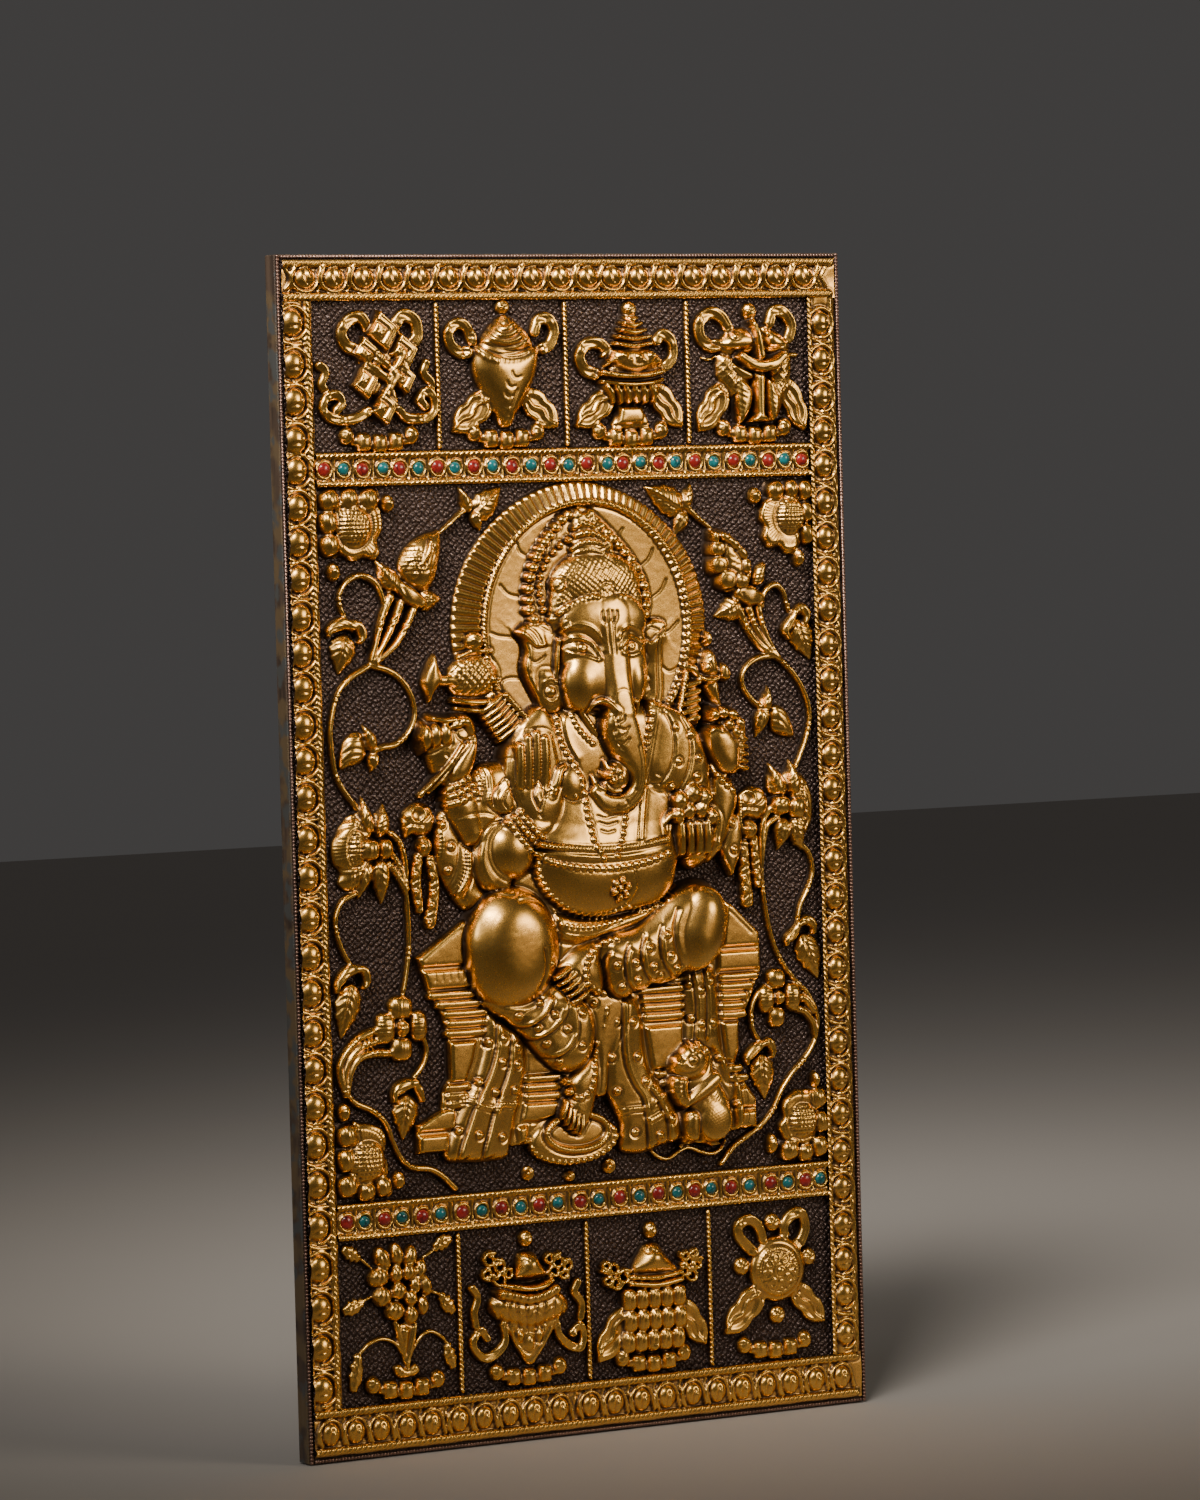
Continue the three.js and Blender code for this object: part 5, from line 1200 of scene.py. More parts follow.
def face(panel):
    """Brow, cheeks and eyes of the elephant's head."""
    panel.shape(
        [(-11, 128), (-9, 138), (2, 146), (20, 150), (38, 148), (47, 138), (50, 124), (50.5, 108),
         (47, 94), (40, 84), (24, 78), (8, 82), (-5, 90), (-10, 104), (-12, 118)], 19.4, 8, 9, 0.25,
        crease=0.8)
    panel.blob(21, 137, 30, 19, 21.4, 14, power=0.5, soft=1.6)
    panel.limb(
        [[25.5, 142, 22, 18.4], [26, 130, 22, 21.4], [26.5, 118, 20, 22.8], [27, 104, 20, 24.2],
         [28, 92, 22, 25.6], [28.5, 80, 25, 26.6]], 14, 0.5, soft=5)
    panel.blob(15, 103, 20, 21, 21.4, 12, power=0.5, soft=4)
    panel.blob(36, 103, 15, 20, 20.8, 12, power=0.5, soft=4)
    panel.blob(4.8, 100, 15.4, 18.6, 22.8, 12, power=0.5, soft=2.4)
    panel.blob(40.4, 100, 8.8, 16, 21.8, 12, power=0.5, soft=2)
    # the eyes, worked onto the smooth face
    panel.chase(
        [[(-8, 130), (0, 131.4), (9, 129.4), (16, 123)], [(34, 129.5), (40, 130.6), (46, 127)]], 4.6, 1.4)
    panel.chase([[(-10, 131.5), (-3, 134.6), (5, 135.6), (13, 133), (18.8, 126), (20.6, 119)],
                 [(31.5, 126), (34, 131.5), (40, 134), (46, 131), (49.5, 125)]], 1.8, -1.0)
    panel.chase(
        [[(-10, 125.8), (-2, 127.4), (5, 127), (12.5, 123.6), (18.6, 114.6)],
         [(33, 121), (36, 125), (41, 126.6), (47.5, 122)]], 2.0, -1.4)
    panel.chase(
        [[(-9, 121), (-2, 117.8), (7, 116.4), (16.5, 113.6)], [(34, 117.6), (40, 115.4), (47, 117.4)]],
        1.6, -0.9)
    panel.studs([(3.5, 121), (7, 121), (0, 120.8), (40.5, 121.2)], 3.0, 0.7)
    panel.chase(
        [[(-9, 122.4), (-2, 124.6), (6, 124.6), (12, 121.2), (17, 115)],
         [(-6, 120.4), (0, 118.6), (8, 118), (15, 115)],
         [(34.5, 120), (38, 123.6), (43, 123.8), (47, 119.6)]], 0.9, 0.9)
    panel.studs([(6.5, 121.2), (40.5, 121.4)], 2.5, 0.8, 0.7)
    panel.studs([(6.5, 121.2), (40.5, 121.4)], 1.0, -0.9)
    panel.chase([coil(-6, 136, 4.4, 1.6, 1.5)], 1.2, -1.3, smooth=False)
    panel.chase([[(-9, 132.6), (-2, 133.6), (6, 133.4)], [(-10, 134.6), (-13, 139)]], 0.9, -0.8)
    for side in (-1, 1):
        prong = [
            (25.4 + side * 5.2, 143), (25.4 + side * 5.6, 138.6), (25.4 + side * 3.4, 135.8),
            (25.4 + side * 1.7, 138), (25.4 + side * 1.9, 143)]
        panel.chase([prong], 1.0, 0.9)
    panel.chase(
        [[(25.4, 144), (25.4, 138)], [(22, 143), (22, 139.6)], [(28.8, 143), (28.8, 139.6)]], 0.9, -0.8)


def trunk(panel):
    """The trunk, curled round a small flower, and the tusks at its root."""
    panel.limb(
        [[28, 89, 13, 23], [28, 83, 21, 26], [28.5, 74, 27.5, 26.7], [31.5, 63, 27, 26.6],
         [36.5, 52, 21, 26], [40, 42, 14.5, 25], [38, 32, 14, 24], [29, 25.5, 13.5, 23], [18, 26, 13, 22],
         [11, 33, 10, 20.5]], 14, 0.4, 0.35)
    panel.chase([[(24, 136), (24.5, 127), (26, 117)], [(28, 136), (28.4, 127), (29, 117)]], 0.9, 0.7)
    panel.limb([[7.5, 82.5, 3, 20], [10.5, 87.5, 4.8, 24], [17, 87.8, 5.8, 26.4], [24, 82, 4.6, 26.7]], 15)
    panel.limb([[36, 88, 3, 23], [40, 86, 5, 23], [40.5, 80, 4.5, 20]], 14)
    panel.chase([[(10, 84), (14, 84.4), (19, 83.4), (22, 78.6)]], 1.1, 0.8)
    vein = [
        [(25, 81), (28, 78), (29, 73), (27, 68), (29, 63), (33, 58)], [(28, 78), (31, 80)],
        [(28.5, 75), (33, 75.5), (34, 79)], [(28, 70), (24.5, 69), (23.5, 65)],
        [(29, 72), (34, 70), (37, 72)], [(28, 66), (33, 66.5), (35, 69)], [(29.5, 62), (34, 62), (37, 65)],
        [(31, 60), (28, 57)], [(27.5, 68), (25, 72.5)]]
    panel.chase(vein, 1.0, 0.9)
    panel.chase([[(44, 60), (46, 50), (45.5, 40), (42, 31), (33, 23), (20, 21.5)]], 1.1, 0.6)
    panel.chase([[(27, 21.5), (27.5, 24)], [(35, 25), (33.5, 27)], [(41, 33), (39, 34)]], 0.9, 0.7)
    panel.blob(26.5, 42, 9.8, 9.6, 24, 16)
    for k in range(5):
        a = -0.6 + k * TURN / 5
        panel.blob(26.5 + 3.6 * math.cos(a), 43 + 3.2 * math.sin(a), 2.6, 2.2, 25.2, 22, a, crease=0.5)
    panel.studs([(26.5, 43)], 1.5, 0.8, 0.5)
    panel.limb([[18, 52, 2.4, 19], [19, 47, 4.4, 21.5], [22, 43, 3, 22]], 15)
    panel.limb([[15, 45, 2.2, 18], [18, 43, 4, 20.5], [20, 38, 3, 21]], 15)
    panel.limb([[9, 43, 2.4, 17.5], [11, 37, 5, 20.5], [16, 34, 4, 21]], 14)
    panel.limb([[17, 38, 3, 20], [21, 33.5, 3.4, 21.5], [27, 33, 3, 22.2]], 15)


def torso(panel):
    """Chest and belly, the cloth over the shoulder, the belt and the strands of beads."""
    panel.piece("torso")
    bare_torso(panel)
    shoulder_cloth(panel)
    belt(panel)
    chest_strands(panel)


def bare_torso(panel):
    """The smooth chest and belly."""
    panel.shape(
        [(-54, 16), (-55, 38), (-53, 60), (-45, 74), (-30, 83), (0, 88), (52, 86), (72, 79), (85, 68),
         (92, 51), (94, 34), (93, 8), (70, -10), (20, -16), (-30, -8)], 14, 0, 12, 0.15)
    panel.shape(
        [(-22, 85), (-36, 79), (-46, 66), (-50, 50), (-49, 30), (-42, 12), (-16, 8), (-8, 30), (-10, 60)],
        15.5, 11, 7, 0.3, crease=0.3)
    panel.blob(14, 52, 34, 36, 15.5, 11, power=0.9, soft=2)
    panel.blob(18, 8, 48, 34, 20.5, 11, power=0.6, soft=3)
    panel.shape(
        [(-31, 12), (-10, 18), (15, 20), (42, 18), (60, 12), (68, -4), (68, -16), (64, -28), (53, -37),
         (32, -41), (8, -43), (-12, -38), (-27, -26), (-33, -10)], 23.2, 11.5, 21, 0.35, crease=0.4,
        soft=2.2)
    panel.blob(-4.5, 38, 10, 12, 18, 13, 0.25, soft=0.8)
    panel.studs([(-2, 30.5)], 1.5, 1.0, 0.4)
    panel.chase([[(-10, 31), (-4, 27.6), (3, 29)]], 1.4, 0.9)
    panel.chase(
        [[(13, 18.5), (19, 16.8), (27, 18.5)], [(14, 14.5), (20, 12.5), (27, 14)],
         [(15, 9.5), (20, 8), (25, 9)]], 1.0, 0.7)


def shoulder_cloth(panel):
    """The cloth over the shoulder, in three overlaps."""
    panel.shape(
        [(51, 86), (62, 84), (73, 79), (84, 68), (91, 52), (93, 36), (86, 27), (74, 25), (62, 30),
         (50, 33), (46, 48), (49, 66)], 17.5, 11.5, 9, 0.45, crease=0.3)
    panel.folds(
        [[(62, 82), (68, 70), (69, 55), (65, 43), (57, 34)],
         [(73, 78), (80, 66), (81, 52), (77, 39), (70, 29)]], 1.0, 5, 0.8, -1)
    band = [(56.5, 82), (52, 62), (48.3, 45), (45.3, 25), (43, 4)]
    panel.chase([band], 4.6, -1.5)
    panel.chase([[(x + way, z) for x, z in band] for way in (-2.4, 0.3, 2.6)], 0.8, 0.6)
    panel.chase([[(48, 35), (58, 36), (64, 27), (72, 18)], [(56, 42), (58.5, 41)]], 1.1, 0.8)
    panel.studs([(71, 70), (81, 65), (72, 49), (86.5, 50.5), (85, 39), (66, 33)], 2.1, 1.9, 0.7)


def belt(panel):
    """The belt: a cord with a banded strip and rows of beads under it."""
    panel.rope([(-29, 3), (-10, 0), (14, -2), (38, -1), (60, 2)], 3.4, 23.2, 17, 2.4)
    panel.limb(
        [[-31, -2.5, 3.4, 18], [-8, -5, 3.8, 23], [15, -7, 3.8, 23.8], [40, -6, 3.8, 23.2],
         [62, -3.5, 3.4, 18]], 15, 0.5, 0.3)
    panel.chase([[(-30, -6), (-8, -8.5), (15, -10.5), (40, -9.5), (62, -6.5)]], 0.9, 0.6)
    panel.beads(
        [(-29, -5), (-20, -8), (-8, -11), (6, -13), (20, -14), (34, -13), (48, -11), (63, -7)], 2.1, 2.1,
        4.7)
    panel.beads(
        [(-30, -9), (-30.5, -15), (-27, -22), (-22, -29), (-15, -35), (-7, -40), (3, -43), (14, -43.2),
         (24, -41), (31, -37.5)], 1.9, 2.0, 4.4)
    panel.beads([(33, -39), (40, -41), (48, -40.5), (55, -37.5), (61, -32)], 1.7, 1.9, 4.1)
    panel.folds([[(37, -13), (40, -25), (36, -33), (28, -39)]], 0.7, 5, 0.5, 1)
    for k in range(6):
        a = k * TURN / 6 + 0.3
        panel.blob(28.5 + 4.9 * math.cos(a), -27 + 4.9 * math.sin(a), 2.8, 2.4, 25.4, 21, a, crease=0.6)
    panel.studs([(28.5, -27)], 2.2, 1.6, 0.6)


def chest_strands(panel):
    """The strands of beads over the chest."""
    panel.beads(
        [(-14, 80), (-12.5, 70), (-9, 60), (-3, 51), (2, 43), (4.5, 33), (6, 21), (8.5, 11), (11, 2),
         (17, -8)], 2.0, 2.0, 4.7)
    panel.folds([[(-10, 82), (-8.5, 70), (-5, 60), (1, 51)]], 0.8, 3, 0.5, -1)
    panel.beads([(52, 79), (50.5, 70), (48, 60), (45, 53)], 1.9, 1.9, 4.4)
    panel.beads([(33.5, 21), (32, 12), (30, 3), (26.5, -6)], 1.9, 1.9, 4.4)
    panel.beads([(-5, 87), (-3, 80), (0, 74), (5, 68), (11, 62.5)], 1.8, 1.7, 3.6)
    panel.chase([[(-1, 88), (1, 81), (5, 74), (10, 68)]], 1.1, 0.7)
    panel.limb([[4, 82, 3.4, 15.6], [9, 75, 3.8, 16.2], [14, 68, 3, 16]], 14, ridges=2.6)


def raised_palm(panel):
    """The open hand at the front, with a mark in its palm."""
    panel.piece("arms")
    panel.folds([[(-37, 75), (-44, 66), (-47, 52), (-46, 38), (-41, 24)]], 1.0, 4, 0.9, -1)
    panel.shape(
        [(-44, 50), (-42, 64), (-38, 71), (-28, 73), (-19, 70.5), (-15.5, 60), (-13, 48), (-11, 36),
         (-12, 24), (-18, 13), (-26, 9.5), (-34, 13), (-41, 26), (-44, 38)], 16.8, 13, 3.5, 0.3)
    panel.blob(-26, 27, 15, 17.5, 18.8, 14, power=0.6, soft=0.8)
    fingers = ((-39.5, 62.5, 43), (-34, 67.5, 43), (-28.2, 69.5, 43.5), (-22.6, 66.5, 44))
    for x, top, bottom in fingers:
        panel.limb(
            [[x, bottom - 3, 6.2, 17.4], [x + 0.2, (top + bottom) / 2, 6.6, 18.8], [x, top, 5.8, 18.4]],
            16, 0, 0.35)
    for (x, top, bottom), (x2, _, _) in zip(fingers[:-1], fingers[1:]):
        mid = (x + x2) / 2
        panel.studs([(mid, bottom + 2.2 * k) for k in range(int((top - bottom) / 2.2))], 0.9, -0.5)
    panel.limb([[-20, 33, 8, 18.6], [-16, 40, 8, 19.6], [-13.5, 47, 6.6, 18.8], [-9.5, 49.5, 4, 17]], 14)
    panel.chase([[(-20, 38), (-15, 36.5), (-11.5, 37.5)], [(-15, 49), (-12, 50.5)]], 1.0, 0.8)
    mark = [(-27, 43), (-23.5, 33), (-27, 24), (-31.5, 33)]
    panel.chase([mark], 1.5, 1.6, smooth=False, closed=True)
    panel.chase([[(x * 0.62 - 10.3, z * 0.62 + 12.7) for x, z in mark]], 1.6, -1.0, smooth=False, closed=True)
    panel.chase([[(-27, 24), (-27.5, 21), (-26, 20)], [(-23, 32), (-19, 35)]], 1.3, 1.2)


def left_arm(panel):
    """The upper arm, forearm and hands at the viewer's left."""
    panel.shape(
        [(-48, 53), (-60, 54.5), (-70, 53), (-80, 47), (-96, 40), (-95, 28), (-90, 18), (-82, 4),
         (-74, -4), (-66, -6), (-52, 12), (-44, 30)], 11.5, 0, 8, 0.3)
    panel.limb([[-84, 42, 22, 12], [-82, 28, 25, 13.5], [-76, 12, 18, 12.5]], 5, soft=1)
    panel.folds([[(-90, 19), (-80, 22), (-66, 23), (-56, 20)]], 0.5, 5, 0.4, 1)
    panel.folds([[(-70, 53), (-64, 48), (-62.5, 40), (-64, 31), (-58, 24), (-50, 21)]], 1.6, 6, 1.0, -1)
    panel.chase([[(-68, 51), (-64, 46), (-62.6, 38), (-64, 31)]], 3.6, -1.6)
    panel.studs([(-67 + 0.5 * k, 50 - 2.1 * k) for k in range(10)], 1.0, 0.9)
    panel.beads([(-71.5, 49), (-68.5, 44), (-68, 38), (-69.5, 32)], 1.4, 1.3)
    panel.shape(
        [(-50, 43), (-56, 38), (-61, 33), (-60, 28), (-54, 22), (-48, 22), (-45, 30)], 14.5, 10, 4, 0.3)
    panel.chase(
        [[(-50, 41), (-54, 36), (-56, 30), (-53, 25)], [(-48, 38), (-51, 34), (-52.5, 29.5), (-50, 26)],
         [(-55, 40), (-59.5, 34), (-59, 28)]], 1.1, 1.0)
    for start, end in (((-97, 38), (-76, 45)), ((-95, 33.5), (-73, 41)), ((-92, 29.5), (-71.5, 36.5))):
        panel.beads([start, ((start[0] + end[0]) / 2, (start[1] + end[1]) / 2 - 1.4), end], 2.3, 2.5, 4.6)
    # elbow with its crescent roll
    panel.shape(
        [(-49, 20), (-60, 19.5), (-70, 12), (-76, 0), (-76, -12), (-70, -22), (-60, -26), (-50, -24),
         (-46, 0)], 12.5, 4, 5, 0.2, crease=0.9)
    panel.folds([[(-52, 18), (-61, 16), (-68, 8), (-70.5, -3), (-67, -15), (-61, -22)]], 0.9, 4, 0.8, -1)
    panel.blob(-49, 0, 18.5, 18.5, 19, 6, power=0.55)
    panel.limb([[-44, 14, 22, 17], [-34, 12, 22, 18.6], [-26, 14, 14, 18]], 10, soft=1)
    for start, end in (((-49, 17), (-34, 0)), ((-45, 20), (-30, 3.5)), ((-41, 23), (-26, 7))):
        panel.beads([start, end], 2.2, 2.4, 4.5)
    # back hand closed round its stalk
    panel.shape(
        [(-109, 78), (-101, 82), (-90, 82), (-78, 84.5), (-71, 78), (-70, 66), (-72, 54), (-78, 45),
         (-90, 40.5), (-100, 42), (-106, 52), (-109.5, 64)], 12.5, 0, 7, 0.35)
    panel.shape(
        [(-71, 72), (-77, 68), (-85, 60), (-90, 50), (-88, 43), (-78, 45), (-72, 54), (-69.5, 64)], 14.5,
        9, 6, 0.4, crease=0.6)
    for x, z in ((-104.5, 71), (-98, 72), (-91.5, 72.5)):
        panel.blob(x, z, 4.9, 7.6, 15.6, 9, crease=0.7)
        panel.chase([[(x - 3.4, z - 6.6), (x, z - 8.8), (x + 3.4, z - 6.6)]], 1.3, -1.1)
    panel.chase([[(-108, 60.5), (-101, 61), (-94, 64), (-86, 66)]], 1.2, 0.9)
    panel.limb([[-86, 77, 5, 14], [-78, 79.5, 7.5, 15.4], [-73.5, 73, 5, 13]], 10)
    panel.limb([[-100, 82, 3, 12], [-92, 80.5, 4, 13.8], [-85, 81, 3, 13]], 9)
    panel.chase([[(-81, 83), (-79, 77.5), (-75, 76)], [(-71, 67.5), (-77, 67), (-84, 60), (-88, 50)],
                 [(-85, 76), (-82.5, 70), (-78, 68)]], 1.3, 1.0)
    panel.chase([[(-88, 58), (-87, 51), (-85.5, 47)]], 2.0, -0.9)
    panel.limb([[-109.5, 36, 3.6, 4.6], [-103, 43, 3.8, 9], [-94, 54, 4.2, 15], [-85, 66, 4, 16]], 3)
    panel.limb([[-104, 37.5, 2.6, 4.6], [-98, 45, 3, 12.6], [-90, 56, 3, 14.4], [-81, 66.5, 3, 15.4]], 3)
    panel.chase(
        [[(-108.5, 39.5), (-105, 36.5)], [(-104.5, 44.5), (-100.5, 41.5)], [(-96, 54), (-92, 51)],
         [(-91, 60), (-87, 57)]], 1.0, 0.9)


def mace(panel):
    """What the hand at the viewer's left holds up: a netted head, its shaft behind the shoulder."""
    panel.blob(-74, 106, 18.8, 14, 10.6, 0, 0.1, power=0.42)
    panel.texture(oval(-74, 106, 16.5, 12, 0.1), lattice(0.75, 4.0, 1.3, True, 0.3))
    panel.limb([[-89, 92.5, 4, 8], [-80, 91, 5, 10], [-70, 90.4, 5, 10], [-60, 91.5, 4, 9]], 0, 0.2)
    panel.limb([[-87, 87.5, 3, 6.5], [-78, 86, 4.4, 9], [-68, 85.4, 4.4, 9], [-60, 87, 3, 8]], 0, 0.2)
    panel.limb([[-84, 118, 3.4, 6], [-74, 121.5, 4, 8.5], [-62, 121, 3.6, 8]], 0, 0.2)
    panel.blob(-70.5, 127.5, 7.2, 6, 12, 4)
    panel.chase([coil(-70, 126.6, 4.2, 1.5, 0.6)], 1.2, 1.2, smooth=False)
    panel.limb([[-98, 104.5, 8, 7], [-88, 104.5, 8, 8]], 0, 0.2)
    panel.shape(
        [(-98.5, 121.5), (-104, 117), (-109, 108), (-109.5, 101), (-104, 90.5), (-99, 97), (-93, 103),
         (-93, 107), (-95.5, 114)], 8.8, 0, 3.6, 0.4)
    panel.chase([[(-98.6, 118), (-103.5, 112), (-105, 103), (-103.5, 94)]], 1.3, 0.9)
    panel.beads([(-57, 104), (-54, 102), (-54, 99)], 1.9, 1.9)
    # the fluted shaft running down behind the shoulder
    panel.shape(
        [(-68, 87), (-55, 96), (-49, 93), (-37, 80), (-42, 72), (-53, 62), (-60, 74)], 8.5, 0, 3, 0.1,
        False)
    for k in range(6):
        t = k / 5
        a = (-66 + 12.5 * t, 84.5 - 17 * t)
        b = (-53 + 13 * t, 94 - 15.5 * t)
        panel.limb(
            [[*a, 4.2, 9], [(a[0] + b[0]) / 2, (a[1] + b[1]) / 2, 4.6, 11.4], [*b, 4.2, 10]], 6, crease=0.7)
    panel.rope([(-50, 94), (-43, 86.5), (-36, 79)], 3.8, 12, 6, 2.2)


def left_sleeve(panel):
    """The sleeve that hangs at the viewer's left."""
    panel.shape(
        [(-101, 24), (-95, 26), (-90, 18), (-82, 6), (-74, 0), (-72, -20), (-62, -27), (-72, -34),
         (-82, -36), (-90, -30), (-97, -20), (-103, -8), (-104, 8)], 8.4, 0, 5, 0.3)
    panel.folds([[(-80, 2), (-79.5, -10), (-84, -20), (-91, -27)]], 1.8, 6, 1.0, -1)
    for points in (
            [(-101, 17), (-97.5, 9), (-98.5, 1), (-103, -5)],
            [(-78.5, 1), (-79.5, -10), (-84.5, -19), (-91.5, -25)]):
        panel.chase([points], 4.6, -2.0)
        spots, way = evenly(spline(points, False, 5), 2.3)
        panel.chase(
            [[(x - 2 * dz, z + 2 * dx), (x + 2 * dz, z - 2 * dx)] for (x, z), (dx, dz) in zip(spots[:, :2],
              way)], 0.9, 1.0)
    panel.studs([(-95.5, 18), (-89, 4), (-92, -10.5)], 2.4, 2.1, 0.8)
    panel.chase(
        [[(-84, 12), (-84.5, -2), (-88, -14), (-95, -22)], [(-74, -8), (-76, -18), (-82, -28)]], 1.2, 0.8)


def tassel(panel, cx, cz, side, tails):
    """A ring knot with its button and two tails of studs and arcs."""
    for tail in tails:
        panel.limb([[x, z, w + 2.6, 6.6] for x, z, w in tail], 0, 0.3)
        spots, way = evenly(spline(np.array(tail, float)[:, :2], False, 6), 3.6)
        marks = list(zip(spots[1:, :2], way[1:]))
        for k, ((x, z), (dx, dz)) in enumerate(marks):
            if k % 5 in (0, 2):
                panel.studs([(x, z)], 1.9, 1.6, 0.6)
            elif k % 5 > 2 or k == len(marks) - 1:
                for out in (3.4, 2.0):
                    arc = [
                        (x - out * dz - 1.2 * dx, z + out * dx - 1.2 * dz),
                        (x + 0.5 * out * dx, z + 0.5 * out * dz),
                        (x + out * dz - 1.2 * dx, z - out * dx - 1.2 * dz)]
                    panel.chase([arc], 0.9, 0.9)
    panel.shape(
        [(cx - 12.5, cz - 2), (cx - 11, cz + 5), (cx - 2, cz + 10), (cx + 8, cz + 8), (cx + 12.5, cz),
         (cx + 9, cz - 9), (cx + 2, cz - 12), (cx - 5, cz - 10), (cx - 10, cz - 12)], 8.0, 0, 4.5, 0.3)
    panel.studs([(cx + 1.5 * side, cz + 2.5)], 4.2, -2.4)
    panel.chase([oval(cx + 1.5 * side, cz + 2.5, 4.9, 4.4)], 1.3, -0.9, False, closed=True)
    panel.chase(
        [[(cx - 12, cz + 3), (cx - 6, cz - 1), (cx, cz - 3), (cx + 8, cz), (cx + 11, cz + 4)],
         [(cx - 8, cz - 10), (cx - 8.5, cz - 5), (cx - 4, cz - 3)],
         [(cx + 8, cz - 9), (cx + 6, cz - 4), (cx + 1, cz - 4)]], 1.3, 1.2)
    panel.blob(cx + 3 * side, cz - 17, 7.2, 7.0, 10.5)
    panel.studs([(cx + 3 * side, cz - 17)], 2.6, 1.2, 0.9)
    panel.chase([oval(cx + 3 * side, cz - 17, 5.0, 4.8)], 0.9, 0.7, False, closed=True)


def right_arm(panel):
    """The arms at the viewer's right, with their sleeve."""
    panel.shape(
        [(90, 50), (96, 46), (104, 40), (111, 33), (113, 22), (108, 8), (100, -6), (88, -16), (84, 0),
         (86, 20)], 13, 0, 7, 0.4)
    panel.shape(
        [(56, 12), (57, 4), (62, -2), (66, -4), (71, -14), (79, -18.5), (88, -15), (95, -6), (99, 6),
         (97, 17), (88, 24), (72, 24), (61, 19)], 17.5, 4, 9, 0.5, crease=0.7)
    for x, z, r in (
            (71.5, 24.5, 6.2), (80.5, 28.5, 6.6), (88, 26, 6), (77, 18.5, 5.6), (86, 19, 5.8),
            (93.5, 14, 5.2), (69.5, 16, 5.2)):
        panel.blob(x, z, r + 0.5, r + 0.5, 21.8, 14, crease=0.5)
        panel.studs([(x - 1.4, z + 1.2), (x + 2, z - 1.8), (x + 0.8, z + 3)], 0.9, -0.6)
    panel.limb([[57.5, 4, 4, 16], [59, 12, 6, 18], [65, 17, 6, 19], [70, 14, 4, 19]], 12)
    panel.chase([[(63.5, 5), (64.5, 11), (68, 14)], [(66, 4), (67, 9)]], 1.1, 0.9)
    for x in (72, 78.3, 84.6, 90.6):
        panel.limb(
            [[x, 10, 5.8, 20.2], [x + 0.3, 2, 6.2, 20.8], [x + 0.6, -6.5, 5.4, 18.6]], 16.2, 0, 0.4,
            soft=0.5)
    panel.limb([[95, 16, 4, 18], [97, 10, 5, 18.6], [95, 3, 4, 17.5]], 13, crease=0.6)
    panel.chase([[(63, -8), (72, -13), (82, -13.5), (92, -8)], [(87, -16), (95, -12), (103, -2)]], 1.1, 0.6)
    for start, end in (((100, 43), (112, 33)), ((99, 39), (110, 29.5))):
        panel.beads([start, end], 2.3, 2.4, 4.5)
    panel.chase([[(92, 51), (93.5, 44), (97, 38), (96, 30), (91, 24)]], 4.4, -1.5)
    panel.studs([(93 + 0.35 * k, 50 - 2.1 * k) for k in range(11)], 0.9, -0.9)
    # sleeve behind the hand
    panel.shape(
        [(103, 11), (111, 15), (116, 4), (115, -8), (110, -20), (105, -25), (98, -14), (97, -2)], 9, 0, 5,
        0.3)
    panel.studs([(108.5, 8.5), (110.5, -8)], 2.3, 1.9, 0.8)
    panel.chase([[(98, -3), (101, -12), (106.5, -23)]], 4.2, -1.7)
    panel.studs([(98 + 0.85 * k, -4 - 2.1 * k) for k in range(10)], 0.9, -0.9)
    panel.limb([[114, 22, 3, 7], [113.5, 10, 4, 8], [116, 2, 3, 7]], 2, ridges=2.0)
    # the back hand of the viewer's right
    panel.shape(
        [(92, 71), (95, 78), (104, 81.5), (113, 79), (120, 70), (121, 58), (119, 47), (113, 39), (106, 38),
         (98, 46), (93, 58)], 13.5, 0, 7, 0.4)
    panel.shape(
        [(95, 68), (103, 70), (110, 66), (115, 58), (115, 46), (111, 41), (104, 41), (98, 48), (94, 58)],
        15.6, 11, 6, 0.4, crease=0.5)
    panel.chase([[(94, 70), (99, 72), (105, 69)], [(94, 66), (99, 68), (104, 66)]], 1.3, -1.2)
    for x, z, turn in ((98, 76.5, 0.2), (104.5, 77.5, 0), (111, 76, -0.3), (116, 70.5, -0.8)):
        panel.blob(x, z, 4.4, 4.0, 16, 10, turn, crease=0.8)
    for x, z, turn in ((109, 70, -0.5), (113.5, 65, -0.8)):
        panel.blob(x, z, 4.2, 3.4, 16.6, 12, turn, crease=0.7)
    for z in (60.5, 56, 51.5, 47, 42.8):
        panel.limb([[114.4, z + 0.6, 3.6, 13], [119, z - 0.4, 4, 11.4]], 6, crease=0.8)


